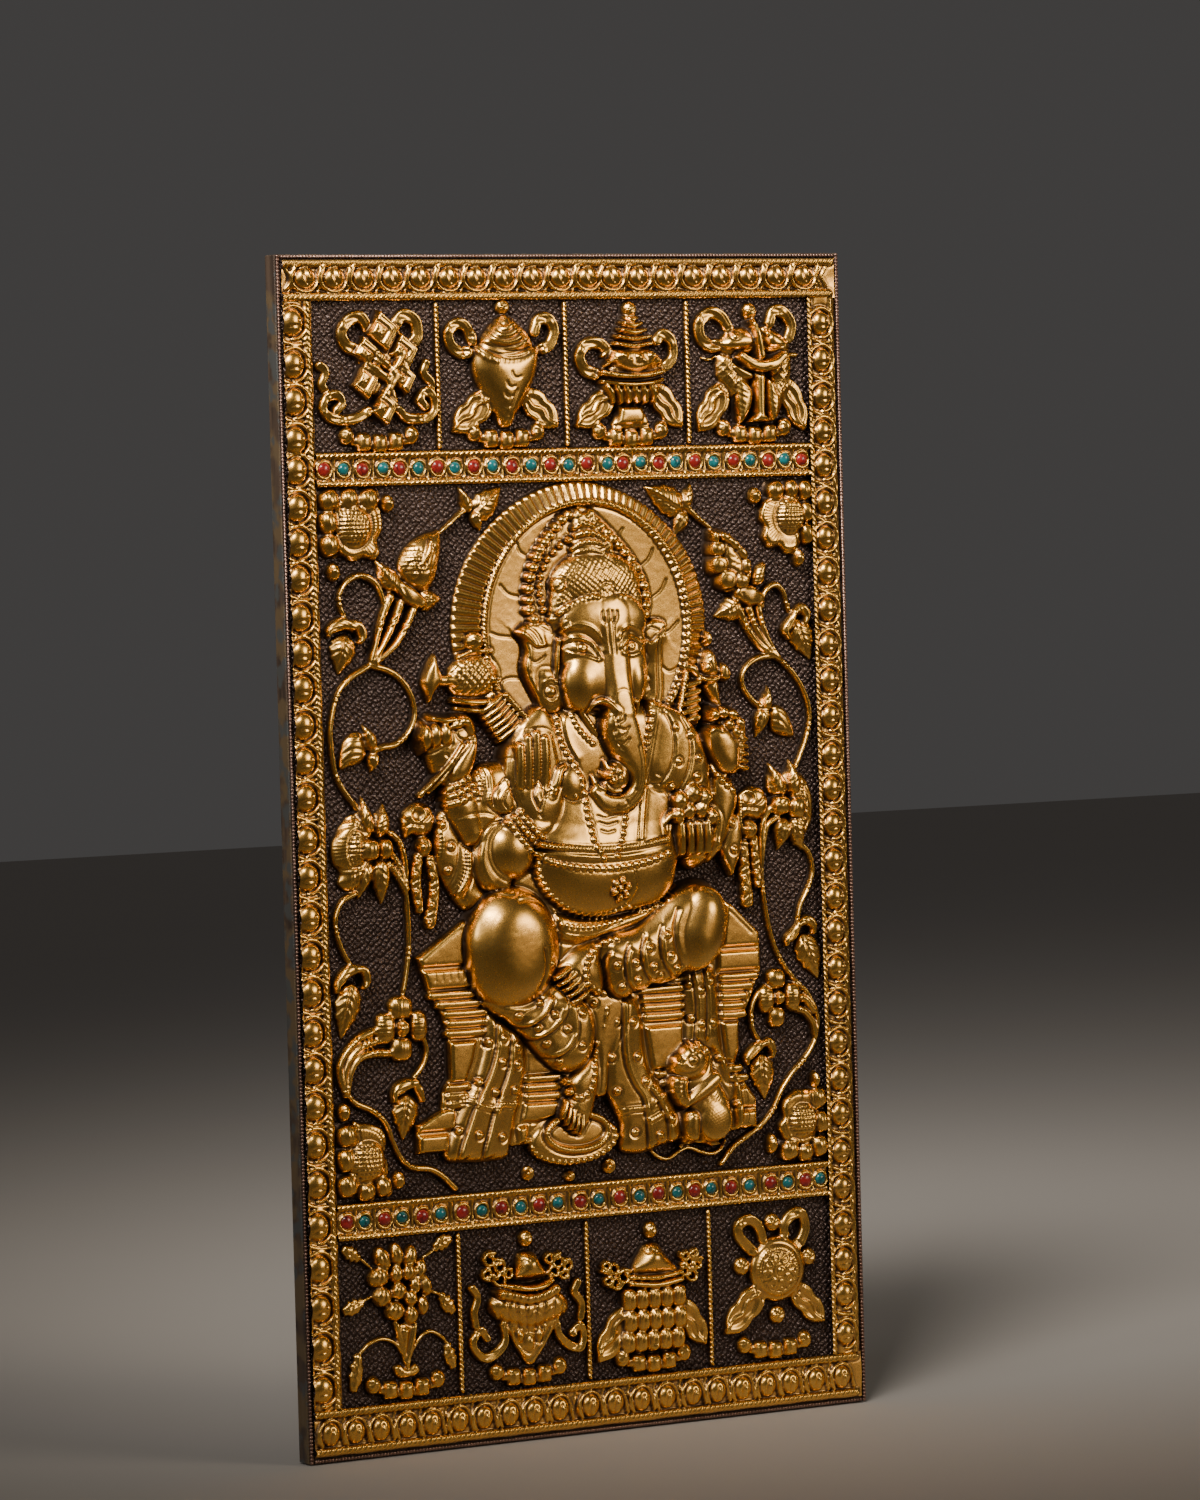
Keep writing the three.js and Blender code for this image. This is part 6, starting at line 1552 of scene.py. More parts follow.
def club(panel):
    """What the hand at the viewer's right holds up: a flared head, its shaft behind the shoulder."""
    panel.limb([[91, 106, 6, 7], [94, 96, 14, 9.4], [98, 84, 9, 9], [101, 78, 6, 8]], 0)
    for k in range(4):
        x = 89 + 3.6 * k
        panel.chase([[(x, 98), ((x + 96) / 2 + 1, 90), (97.5 + 1.1 * k, 82)]], 1.0, 0.9)
    panel.shape(
        [(85, 100), (85, 109), (88, 116), (93, 118.5), (98, 116), (101, 108), (100, 99)], 11.5, 0, 5, 0.5)
    panel.blob(93, 123.5, 5.2, 5.4, 10.5)
    panel.chase([coil(92.5, 124, 2.8, 1.1, 0.2)], 0.9, 0.8, smooth=False)
    panel.shape([(72, 105.5), (76, 109.5), (84, 108.5), (88, 103), (87, 97), (79, 102)], 9.4, 0, 3, 0.3)
    panel.shape([(99, 107), (104, 109), (109.5, 105), (109, 97), (103, 96), (98, 99)], 9.6, 0, 3.4, 0.4)
    panel.limb([[85, 100, 4, 10], [92, 98, 5, 12], [99, 99, 4, 11]], 3, ridges=2.4)
    panel.studs([(93, 106)], 2.8, 1.6, 0.8)
    panel.chase([[(88, 104), (92, 101.5), (97, 104)], [(89, 112), (93, 110.5), (97, 112)]], 1.0, 0.8)
    # the shaft behind the shoulder, as on the other side
    panel.shape([(76, 100), (84, 99), (88, 90), (86, 70), (76, 70), (72, 84)], 8.5, 0, 3, 0.1, False)
    for k in range(5):
        z = 96 - 5.4 * k
        panel.limb([[76 - 0.4 * k, z - 1.5, 4.4, 9], [86 - 0.3 * k, z + 1, 4.6, 10.4]], 5, crease=0.7)
    panel.rope([(77, 103), (74.5, 92), (71.5, 80)], 3.8, 12, 5, 2.2)


def throne(panel):
    """The stepped throne: a low back plate at each side with slabs raised on it."""
    panel.piece("throne")
    for outline in (
            [(-118.5, -61.5), (-84, -40), (-60, -40), (-18, -120), (-18, -160), (-44, -181),
             (-121.5, -181), (-121.5, -163), (-104, -154.5), (-102, -142), (-98, -136), (-98, -113),
             (-102, -97), (-111, -84)],
            [(100, -38), (106, -41), (127, -60), (127, -84), (114, -111), (110, -114), (110, -132),
             (106, -142), (113, -152), (121.5, -163), (121.5, -182), (60, -186), (10, -150), (30, -90),
             (66, -84), (90, -70)]):
        panel.shape(outline, 5.2, 0, 2, 0, False)
    slabs = [
        [(-118, -62.5), (-84, -41), (-81, -41), (-81, -68), (-116, -68)],
        [(-116, -69.6), (-80, -69.6), (-76, -82), (-111, -82)],
        [(-121, -163), (-104, -155), (-92, -153), (-92, -167.4), (-121, -167.4)],
        [(-121, -169), (-97, -169), (-97, -180.5), (-121, -180.5)],
        [(100, -40), (106, -42), (126, -60), (126.5, -68.4), (96, -68.4)],
        [(92, -70.2), (126.5, -70.2), (126.5, -83), (92, -83)],
        [(94, -114), (110, -114), (109, -132), (104, -140.5), (97, -138)],
        [(103, -156), (113, -155), (121, -163), (121, -168.8), (103, -168.8)],
        [(103, -170.4), (121, -170.4), (121, -181.5), (103, -181.5)],
        [(-98, -113.6), (-76, -113.6), (-80, -127), (-86, -139), (-98, -139)],
        [(39, -113.6), (69, -113.6), (69, -141), (44, -141)],
        [(-47, -154.4), (-17, -154.4), (-22, -164), (-38, -167), (-50, -166)],
        [(-53, -169), (-42, -168), (-44, -179), (-52, -180)]]
    for outline in slabs:
        panel.shape(outline, 7.4, 0, 2.2, 0.03, False)
    treads = [
        (-111, -78, -85.6), (-106, -75, -91.4), (-101, -71, -97.4), (-99, -71, -103.2), (-100, -73, -109.2),
        (-101, -84, -142), (-100, -86, -147.2), (-99, -88, -152),
        (94, 122, -87), (94, 118, -93), (94, 113.5, -99), (94, 111.5, -105), (94, 112.5, -110.5),
        (36, 68, -91.5), (37, 68, -97), (38, 68, -102.6), (39, 68, -108.2), (47, 64, -144), (50, 63, -149.4),
        (-46, -12, -140.4), (-46, -12, -146), (-46, -14, -151.6), (98, 109, -144), (101, 113, -150),
    ]
    for x0, x1, z in treads:
        panel.limb(
            [[x0 + 2, z, 5.6, 6.8], [(x0 + x1) / 2, z - 0.2, 5.8, 7.2], [x1 - 2, z, 5.6, 6.8]], 0, 0.9, 0.9)
    panel.chase(
        [[(-94, -116), (-94, -137)], [(-84, -46), (-112, -63.5)], [(106, -46), (121, -60)]], 1, 0.4,
        smooth=False)
    panel.chase([[(-103 + 5 * k, -71.5), (-102.6 + 5 * k, -76.5)] for k in range(5)], 0.8, 0.3, smooth=False)


def draped(panel, outline, h, seams, studs, level=0.0, edge=6.0, rise=2.2, reach=7.0):
    """Cloth lying in strips, each lapping over the next along a seam."""
    panel.shape(outline, h, level, edge, 0.15)
    panel.folds(seams, rise, reach, 1.2, -1)
    panel.studs(studs, 2.3, 2.1, 0.9)


def hem(panel, points):
    """A raised ribbed band across a strip of cloth."""
    panel.chase([points], 4.0, -1.6)
    for way in (2.1, -2.1):
        panel.chase([[(x, z + way) for x, z in points]], 1.0, 1.1)
    spots, _ = evenly(spline(points, False, 5), 1.9)
    panel.studs(spots, 0.8, -1.1)


def scarves(panel):
    """Long strips of cloth falling at both sides."""
    panel.piece("scarves")
    draped(
        panel, [(-71, -97), (-62, -102), (-50, -109), (-45, -115), (-42.5, -126), (-43.5, -138),
         (-47, -150), (-50, -160), (-54, -175), (-57.5, -187), (-70, -189), (-86, -188.5), (-99, -187),
         (-103, -181), (-99, -168), (-93, -156), (-89, -149), (-83, -140), (-78, -128), (-74, -114)], 9.5,
        [[(-61, -103), (-62, -118), (-66, -132), (-73, -145), (-78, -154), (-83, -166), (-88, -178),
          (-91, -188)], [(-51, -111), (-52.5, -125), (-55, -136), (-60, -147), (-64, -156), (-68, -168),
          (-72, -180), (-74, -188)]],
        [(-68, -116), (-75, -139.5), (-89.5, -168), (-56, -114), (-57.5, -128.5), (-63, -146.5),
         (-75, -171.5), (-46.5, -119.5), (-47, -130.5), (-49.5, -146), (-59, -174)], rise=2.6)
    hem(panel, [(-87, -149.5), (-82, -150), (-78, -151)])
    hem(panel, [(-76, -153), (-70, -155), (-65, -156.5)])
    hem(panel, [(-62, -154), (-56, -154), (-50, -155)])
    draped(
        panel, [(18, -93), (14, -100), (12, -112), (10, -124), (9, -138), (10, -150), (13, -158),
         (17, -165), (20, -173), (19.5, -184), (22, -190), (32, -192.5), (42, -191.5), (50, -189),
         (60, -187), (66.5, -184), (66, -174), (61, -163), (56, -155), (48, -147), (43, -139), (40, -126),
         (39, -110), (36, -99), (32, -93)], 10,
        [[(27, -95), (27, -112), (27, -126), (29, -138), (34, -149), (40, -158), (41.5, -168), (43, -180),
          (42.5, -191)], [(45, -151), (52, -162), (57, -172), (58, -182), (57, -188)]],
        [(22.5, -109.5), (18.5, -131), (22, -152), (34, -178), (35, -110), (37.5, -131.5), (43, -147),
         (52, -181), (61, -171.5)], rise=2.6, reach=8)
    hem(panel, [(20, -166.5), (28, -164), (40, -163.5)])
    hem(panel, [(44.5, -171), (49, -169.5), (54, -167.5)])
    hem(panel, [(49, -159.5), (52.5, -158), (56, -156)])
    panel.shape(
        [(19, -94), (12, -96), (6, -103), (6, -112), (8, -119), (12, -112), (16, -104)], 10.5, 0, 4, 0.4)
    panel.studs([(13.5, -99.5), (10, -112)], 2.2, 1.9, 0.7)
    draped(
        panel, [(67, -83), (67, -100), (68, -112), (67, -124), (70, -129), (80, -131), (88, -133),
         (93, -141), (98, -151), (103.5, -152), (101, -142), (97, -130), (95, -116), (95, -100), (93, -88),
         (90, -79), (80, -78)], 9.5,
        [[(76.5, -80), (79.5, -95), (80, -108), (78, -125)],
         [(85, -79), (87.5, -92), (88, -106), (86.5, -126)]],
        [(74.5, -89.5), (76, -111), (84, -93.5), (84, -114.5), (91, -88), (92, -114), (95, -137)], reach=5,
        rise=2.0)
    panel.shape(
        [(102, -152), (108, -152), (111, -162), (112, -175), (109, -181), (103, -182), (101, -168)], 8.6,
        0, 4, 0.4)
    panel.studs([(107.5, -166)], 2.2, 1.9, 0.7)


def legs(panel):
    """The seated legs in their cloth, and both feet."""
    panel.piece("legs")
    lap_cloth(panel)
    left_knee(panel)
    right_thigh(panel)
    lap_foot(panel)
    foot_plate(panel)
    panel.piece("legs")
    hanging_foot(panel)


def lap_cloth(panel):
    """The cloth between the knees and the hem that hangs below it."""
    panel.shape(
        [(-28, -26), (-10, -38), (16, -42), (42, -40), (60, -28), (70, -32), (66, -80), (40, -90),
         (20, -92), (2, -96), (-16, -92), (-30, -86), (-40, -60)], 10.5, 0, 6, 0.2)
    panel.shape(
        [(-20, -40), (0, -44), (30, -42), (52, -37), (58, -38), (42, -49), (22, -55), (0, -59), (-16, -58),
         (-22, -50)], 14.5, 7, 5, 0.25)
    panel.beads([(-14, -47), (0, -49.5), (14, -49), (28, -46)], 1.4, 1.2, 3.9)
    panel.chase(
        [[(-18, -49), (-8, -52.4), (4, -53.6), (16, -51.6), (26, -48)],
         [(-18, -52), (-7, -55.6), (6, -56.4)]], 1.1, 0.8)
    panel.shape([(-50, -6), (-30, -8), (-20, -40), (-32, -52), (-52, -30)], 10, 0, 5, 0.1)
    panel.shape(
        [(-4, -90), (24, -90), (26, -110), (16, -130), (12, -154), (-2, -152), (3, -130)], 9.5, 0, 4, 0.1)


def left_knee(panel):
    """The round knee at the left, and the garment sagging in layers under it."""
    draped(
        panel, [(-72, -90), (-67, -97), (-59, -102), (-52, -108), (-44, -115), (-37, -123), (-30, -130),
         (-22, -136), (-12, -138.5), (-3, -135.5), (4, -128), (7, -118), (6.5, -106), (2, -97), (-5, -91),
         (-16, -84), (-24, -80), (-44, -88)], 17.5,
        [[(-64, -100.5), (-50, -107), (-42, -108), (-33, -105), (-25, -99), (-20, -90)],
         [(-47, -113.5), (-38, -116), (-28, -114), (-18, -108), (-12, -100), (-12, -92)],
         [(-32, -127), (-20, -127.5), (-11, -123), (-5, -116), (-4.5, -106), (-6, -95)]],
        [(-45.5, -101), (-31, -93), (-32.5, -108.5), (-20.5, -101), (-27, -119), (-12, -110.5),
         (-18.5, -131), (-1.5, -121.5), (-0.5, -102), (7, -97)], 5, 10, 2.4, 8)
    panel.chase(
        [[(-45, -106.6), (-36, -104.6), (-28, -99.4), (-22.5, -91)],
         [(-39, -114.4), (-29, -112.4), (-20, -107), (-14, -98)],
         [(-24, -126), (-13, -122), (-7, -114.6)]], 1.3, -1.1)
    panel.shape(
        [(-50, -21.5), (-62, -24), (-72, -30.5), (-79, -40), (-83, -52), (-83, -64), (-80, -77),
         (-73.5, -88), (-64, -95), (-52, -98), (-41, -96.5), (-31, -90.5), (-24, -82), (-18.5, -72),
         (-16.5, -60), (-18, -48), (-22.5, -38), (-30, -29.5), (-39, -24)], 26.6, 6, 22, 0.2, crease=0.8)
    panel.chase([[(-43, -30.5), (-38, -30), (-32, -31.4), (-27, -34.5)]], 1.5, 1.1)
    panel.chase([[(-25.6, -60.5), (-24.6, -68), (-26.5, -77), (-30.5, -84)]], 2.0, 1.8)
    panel.studs([(-21, -70)], 1.8, 1.6, 0.6)


def right_thigh(panel):
    """The thigh at the right, its cloth pulled into folds."""
    draped(
        panel, [(10, -58), (20, -53.5), (32, -52), (40, -49), (52, -41), (60, -34.5), (70, -29.5),
         (82, -27), (94, -30), (101, -38), (104, -50), (101, -62), (96, -72), (88, -78), (76, -80.5),
         (70, -82), (66, -85), (56, -87.5), (48, -87), (42, -90.5), (34, -91.5), (30, -94), (22, -94.5),
         (16, -89), (12, -77), (9, -66)], 20,
        [[(19.5, -64.5), (15.5, -71), (14.5, -80), (17.5, -89), (22, -94)],
         [(33, -62), (30.5, -71), (31, -82), (35.5, -91)],
         [(44.5, -57), (42, -66), (43, -76), (48.5, -87)], [(57, -52), (55.5, -61), (57, -72), (64, -85)]],
        [(24.5, -74), (27.5, -87.5), (38, -73), (39.5, -84), (48, -64.5), (51, -76), (55, -82.5),
         (61, -57), (63, -70), (67.5, -78.5)], 8, 12, 2.4, 6)
    panel.chase(
        [[(19.5, -64), (15.5, -71), (14.5, -80)], [(33, -61.5), (30.5, -71), (31, -81)],
         [(44.5, -56.5), (42, -66), (43, -75)], [(57, -51.5), (55.5, -61), (57, -71)]], 2.0, 1.0)
    panel.shape(
        [(70, -45), (76, -34), (84, -28.5), (94, -30), (101, -37), (104, -49), (102, -61), (97, -71),
         (89, -78), (79, -80.5), (72, -76), (67, -66), (66, -55)], 25.4, 14, 17, 0.25, crease=0.5, soft=0.9)
    panel.chase([[(69, -42), (66, -52), (66.6, -64), (71, -76)]], 2.4, 1.8)
    panel.chase([[(80, -29.8), (87, -30), (93, -33.6)]], 1.4, 0.9)


def lap_foot(panel):
    """The foot laid across the lap, with its anklet."""
    panel.shape(
        [(18, -56), (8, -57.5), (0, -60), (-8, -62.5), (-14, -67), (-21, -74), (-25, -79), (-20, -86),
         (-13, -91.5), (-7, -95.5), (-2, -93), (3, -90), (12, -92), (14, -80), (12, -66)], 17.5, 8, 8, 0.3,
        crease=0.7)
    for k in range(5):
        x, z = -19.5 + 3.3 * k, -78.5 - 3.7 * k
        panel.limb(
            [[x + 7.5, z + 4.6, 3.6, 17.4], [x + 2, z + 1.4, 4.6, 19], [x - 1.8, z - 0.6, 4.2, 18.6]], 12,
            0, 0.9)
        panel.chase([[(x + 4.4, z + 5), (x + 6.4, z + 1.4)]], 0.9, 0.7)
    panel.beads(
        [(24, -57), (17, -58.2), (11, -61.5), (6, -66), (3, -72), (2, -79), (4, -85.5), (9, -89.5),
         (14, -91)], 2.1, 2.3, 4.4)


def hanging_foot(panel):
    """The foot that hangs down onto its plate."""
    panel.shape(
        [(-6, -134), (-12, -139), (-16, -145), (-15, -152), (-19, -159), (-19.5, -166), (-15, -172),
         (-7, -177), (-2, -172), (3, -165), (6, -155), (8.5, -142), (8, -124), (2, -128)], 13.5, 4, 6, 0.3,
        crease=0.7)
    for k, (x, z) in enumerate(((-17.6, -164), (-15, -168), (-12, -171), (-9, -173.4), (-5.6, -174.6))):
        panel.limb(
            [[x + 3 - 0.4 * k, z + 9, 3.6, 13.5], [x + 0.8, z + 3.6, 4.2, 15],
             [x - 0.4, z - 0.8, 3.8, 14.4]], 9, 0, 0.9)
    panel.beads([(6.4, -122), (6.8, -132), (6.2, -142), (3.6, -149), (-2, -153.4), (-8, -153)], 2.0, 2.2, 4.8)
    for x, z in ((-14, -143), (-12, -149.5)):
        panel.blob(x, z, 3.4, 2.8, 15.5, 9)


def foot_plate(panel):
    """The oval plate under the hanging foot."""
    panel.piece("foot_plate")
    panel.shape(oval(-11.5, -179.5, 33.2, 16.4, 0.02, 22), 7.8, 0, 4, 0.15, fine=2)
    panel.limb(
        [[x, z, 5.4, 10.6] for x, z in np.vstack([oval(-8, -175, 21.5, 11, 0, 30), [(13.5, -175)]])], 5,
        fine=1, crease=0.9, ridges=2.2)
    panel.beads(
        oval(-11, -179.5, 31.5, 14.4, 0.02, 30, math.pi * 0.96, math.pi * 2.08), 2.0, 1.9, 4.8, fine=2)
    for x, z, rx, rz in ((-43.5, -198, 5, 4.8), (-14.5, -202, 4.8, 3.6), (14, -198, 5.2, 5)):
        panel.blob(x, z, rx, rz, 5.6, power=0.4)
        panel.chase([oval(x + 0.8, z, rx * 0.62, rz * 0.62)], 1.2, 1.5, False, closed=True)
        panel.studs([(x + 0.8, z)], 1.8, 1.6)


def mouse(panel):
    """The small mouse at the foot of the throne, with its hands at its mouth."""
    panel.piece("mouse")
    panel.limb(
        [[43, -190.5, 2.6, 4], [48, -195, 3, 5], [55, -196.6, 3.2, 5.4], [64, -192, 3.2, 5.4],
         [70, -191, 3.2, 5.4], [78, -194, 3.2, 5.4], [86, -196, 3, 5.2], [93, -193.5, 2.6, 5],
         [97, -188, 2.2, 5]], 0)
    panel.limb(
        [[64, -189.5, 2, 4], [70, -187.5, 2.6, 5.4], [78, -187.5, 3.4, 6.4], [86, -190, 3, 6],
         [92, -190, 2, 5]], 0)
    panel.shape(
        [(84, -142), (91, -147), (97, -155), (101.5, -163), (104, -173), (103, -181), (98, -187),
         (88, -188), (80, -185), (75, -187), (69.5, -184), (68, -175), (65, -168), (67, -160), (76, -150)],
        15, 0, 7, 0.35)
    panel.shape(
        [(61, -147), (62, -139), (68, -131), (78, -126), (88, -130), (90, -144), (96, -154), (100, -165),
         (98, -178), (86, -186), (71, -184), (67, -172), (62, -160)], 14, 0, 6, 0.25)
    panel.texture(
        [(90, -149), (96, -157), (101, -166), (102, -178), (96, -170), (88, -163), (80, -165), (84, -156)],
        lattice(0.9, 1.9, 0.6, False), soften=1.5)
    panel.blob(91.5, -174.5, 12, 12.4, 16.6, 12, power=0.4, crease=0.7, soft=0.6)
    panel.texture(oval(92, -174.5, 10.5, 11), lattice(0.35, 1.7, 0.55, False), soften=2)
    panel.shape(
        [(71, -169), (75, -167), (80, -170), (80, -180), (78, -186), (72, -185), (69.5, -178)], 16.6, 12,
        4, 0.4, crease=0.5)
    panel.chase([[(72, -171), (75.5, -169.6), (79, -171)], [(71, -174.5), (73, -181)]], 1.0, 0.7)
    # its arms and what they hold to its mouth
    panel.shape(
        [(62, -146), (61, -152), (62.5, -158), (66.5, -163), (71, -164.5), (73.5, -160), (72, -153),
         (73, -147), (68, -145)], 16.4, 12, 4, 0.35, crease=0.4)
    for z in (-150, -153, -156, -159):
        panel.chase([[(62.5, z), (65.5, z - 1.2), (68, z - 0.4)]], 0.8, 0.7)
    panel.chase([[(69, -147.5), (68.6, -154), (70, -162)]], 1.1, 1.0)
    panel.limb(
        [[92, -149, 9, 15.4], [83, -154.5, 10.6, 16.6], [75, -159.5, 8, 16.6], [70.5, -163, 5, 15.6]], 12,
        0, 0.6, soft=0.6)
    panel.chase([[(85, -151), (79, -154.5), (74, -159)]], 0.9, 0.5)
    # the head
    panel.shape(
        [(61.5, -139), (63, -134.5), (68, -131), (72, -127.5), (78, -126), (85, -128), (87.5, -134),
         (86.5, -141), (82, -146), (75, -147.8), (68, -145.8), (63, -142.5)], 17.4, 12, 8, 0.4, crease=0.7)
    panel.blob(77, -135.5, 9, 8.5, 18.2, 13, power=0.7, soft=2)
    panel.blob(66.5, -137.5, 4.6, 3.8, 17.4, 12, soft=1.4)
    panel.studs([(65.5, -137)], 1.3, 0.8, 0.6)
    panel.chase(
        [[(63.5, -141.6), (70, -143), (77, -142.5), (81, -140)], [(69.5, -133), (68.6, -136.6)]], 1.1, 0.9)
    panel.studs([(77, -136)], 2.2, 1.0, 0.9)
    panel.studs([(77, -136)], 0.8, -0.8)
    panel.chase([oval(77, -136, 3.6, 3.1)], 0.8, 0.5, False, closed=True)
    for x, z in ((76.5, -128.2), (80.6, -127.2), (85, -130.4)):
        panel.blob(x, z, 2.9, 2.5, 18.2, 12, 0.3, crease=0.8)
        panel.studs([(x, z)], 1.2, -0.9)


def figure(panel):
    """The figure from back to front, each part over the one before."""
    halo(panel)
    throne(panel)
    panel.piece("arms")
    mace(panel)
    club(panel)
    left_sleeve(panel)
    scarves(panel)
    legs(panel)
    torso(panel)
    panel.piece("arms")
    tassel(
        panel, -113, 22, 1, [[(-114, -1, 6), (-116, -16, 7), (-114, -33, 5)],
         [(-106, -3, 6), (-103.5, -20, 7), (-107, -41, 8)]])
    tassel(
        panel, 123, 21, -1, [[(116, -5, 6), (116, -22, 7.5), (117.5, -41, 8)],
         [(123, -2, 6), (124, -16, 6), (125.5, -31, 5)]])
    left_arm(panel)
    right_arm(panel)
    raised_palm(panel)
    panel.piece("head")
    left_ear(panel)
    right_ear(panel)
    crown(panel)
    face(panel)
    trunk(panel)
    mouse(panel)



# The corner flowers and the vines
def leaf(panel, base, tip, width, h=6.5, veins=5, bend=0.0):
    """A pointed leaf with a notched edge, a deep rib and slanting veins."""
    (x0, z0), (x1, z1) = base, tip
    length = math.hypot(x1 - x0, z1 - z0)
    ux, uz = (x1 - x0) / length, (z1 - z0) / length
    at = lambda t, w: (
        x0 + ux * t * length - uz * (w + bend * math.sin(math.pi * t)),
        z0 + uz * t * length + ux * (w + bend * math.sin(math.pi * t)),
    )
    notches = 0.055 if veins > 3 else 0.0
    swell = lambda t: 1.12 * math.sin(math.pi * t**0.72) ** 0.8 * (1 + notches * math.cos(TURN * 4.5 * t))
    steps = [k / 12 for k in range(1, 12)]
    left = [at(t, swell(t) * width / 2) for t in steps]
    right = [at(t, -swell(t) * width / 2) for t in reversed(steps)]
    panel.shape([at(0, 0)] + left + [at(1.03, 0)] + right, h, 0, 0.4 * width, 0.4)
    panel.folds([[at(0.04, 0), at(0.4, 0.04 * width), at(0.94, 0)]], 0.7, 0.3 * width, 1.0)
    for k in range(veins):
        t = 0.12 + 0.62 * k / max(1, veins - 1)
        w = 0.4 * width * (1 - 0.55 * max(0, t - 0.35) / 0.65)
        for side in (1, -1):
            panel.chase(
                [[at(t, side * 0.08 * width), at(t + 0.06, side * w * 0.6), at(t + 0.15, side * w)]], 1.0,
                0.75)


def lobe(panel, points, h=7.0):
    """A curled lobe of leaf along a short thick path, with three lines running down it."""
    panel.limb([[x, z, w, h] for x, z, w in points], 0, 0.15, 0.5)
    before, after = points[:1] + points[:-1], points[1:] + points[-1:]
    for off in (-0.25, 0, 0.25):
        line = []
        for (x, z, w), (px, pz, _), (qx, qz, _) in zip(points, before, after):
            length = max(math.hypot(qx - px, qz - pz), 1e-6)
            line.append((x - off * w * (qz - pz) / length, z + off * w * (qx - px) / length))
        panel.chase([line], 1.0, 0.8)


def hanging_leaf(panel, base, tip, *lobes):
    """A leaf below its curled calyx."""
    leaf(panel, base, tip, 17, 6.4)
    for points in lobes:
        lobe(panel, points, 7.4)


def node_rings(panel, x, z, angle):
    """Two raised rings across a stem with grooves beside them."""
    c, s = math.cos(angle), math.sin(angle)
    across = lambda mx, mz: [(mx - 3.0 * s, mz + 3.0 * c), (mx + 3.0 * s, mz - 3.0 * c)]
    for shift in (-1.5, 1.5):
        panel.chase([across(x + shift * c, z + shift * s)], 1.1, -1.0, smooth=False)
    for shift in (-3.0, 0, 3.0):
        panel.chase([across(x + shift * c, z + shift * s)], 0.9, 0.8, smooth=False)


def stem(panel, points, width=5.2, h=5.2, nodes=()):
    """A round stem, ringed at its nodes."""
    panel.limb([[p[0], p[1], p[2] if len(p) > 2 else width, h] for p in points], 0, 0, 0.3)
    for node in nodes:
        node_rings(panel, *node)


def petal(panel, x, z, rx, rz, h=8.4, turn=0.0, strokes=5, along=True):
    """A plump squarish petal with a rolled rim and strokes across it."""
    panel.blob(x, z, rx, rz, h, 0, turn, 0.38, 0.9, squared=2.6)
    at = turned_frame(x, z, turn)
    gap = 1.5 * (rx if along else rz) / max(strokes, 1)
    for k in range(strokes):
        w = (k - (strokes - 1) / 2) * gap
        ends = (at(w, 0.56 * rz), at(w, -0.62 * rz)) if along else (at(-0.5 * rx, w), at(0.62 * rx, w))
        panel.chase([ends], 0.95, 0.7, smooth=False)


def button(panel, x, z, rx, rz):
    """A ball with a curled line on it."""
    panel.blob(x, z, rx, rz, 9.0)
    panel.chase([coil(x + 1.2, z - 0.6, 0.66 * rx, 0.9, 1.2)], 1.3, 1.2, smooth=False)


def seed_head(panel, x, z, rx, rz, h, level=0.0):
    """A dome punched all over with little pits."""
    panel.blob(x, z, rx, rz, h, level, crease=1.0)
    rows = int(2 * rz / 2.8)
    pits = []
    for j in range(rows):
        v = (j + 0.5) / rows * 2 - 1
        reach = math.sqrt(max(0.02, 1 - v * v))
        count = max(1, int(round(2 * rx * reach / 3.1)))
        for i in range(count):
            u = (i + 0.5 + 0.25 * (j % 2)) / count * 2 - 1
            pits.append((x + u * rx * 0.86 * reach, z + v * rz * 0.86))
    panel.studs(pits, 1.05, -1.3)


def corner_lotus(panel, seed, ring, strokes, petals, balls):
    """A half lotus in a corner: pitted seed head, hatched ring, and petals and balls along the edges."""
    x, z, rx, rz = seed
    for px, pz, prx, prz in petals:
        panel.blob(px, pz, prx + 2.4, prz + 2.4, 3.6, squared=2.6)
    panel.shape(ring, 5.8, 0, 3.2, 0.1)
    panel.shape([((p[0] - x) * 0.88 + x, (p[1] - z) * 0.88 + z) for p in ring], 6.6, 4.5, 2.2, 0.1)
    for a in np.linspace(*strokes):
        c, s = math.cos(a), math.sin(a)
        panel.chase(
            [[(x + (rx + 1.5) * c, z + (rz + 1.5) * s), (x + (rx + 6.8) * c, z + (rz + 6.8) * s)]], 0.9,
            0.8, smooth=False)
    seed_head(panel, x, z, rx, rz, 11, 4)
    for px, pz, prx, prz in petals:
        petal(panel, px, pz, prx + 1.0, prz + 1.1, 8.6, 0.25, strokes=4)
    for px, pz, prx, prz in balls:
        button(panel, px, pz, prx + 0.3, prz + 0.3)


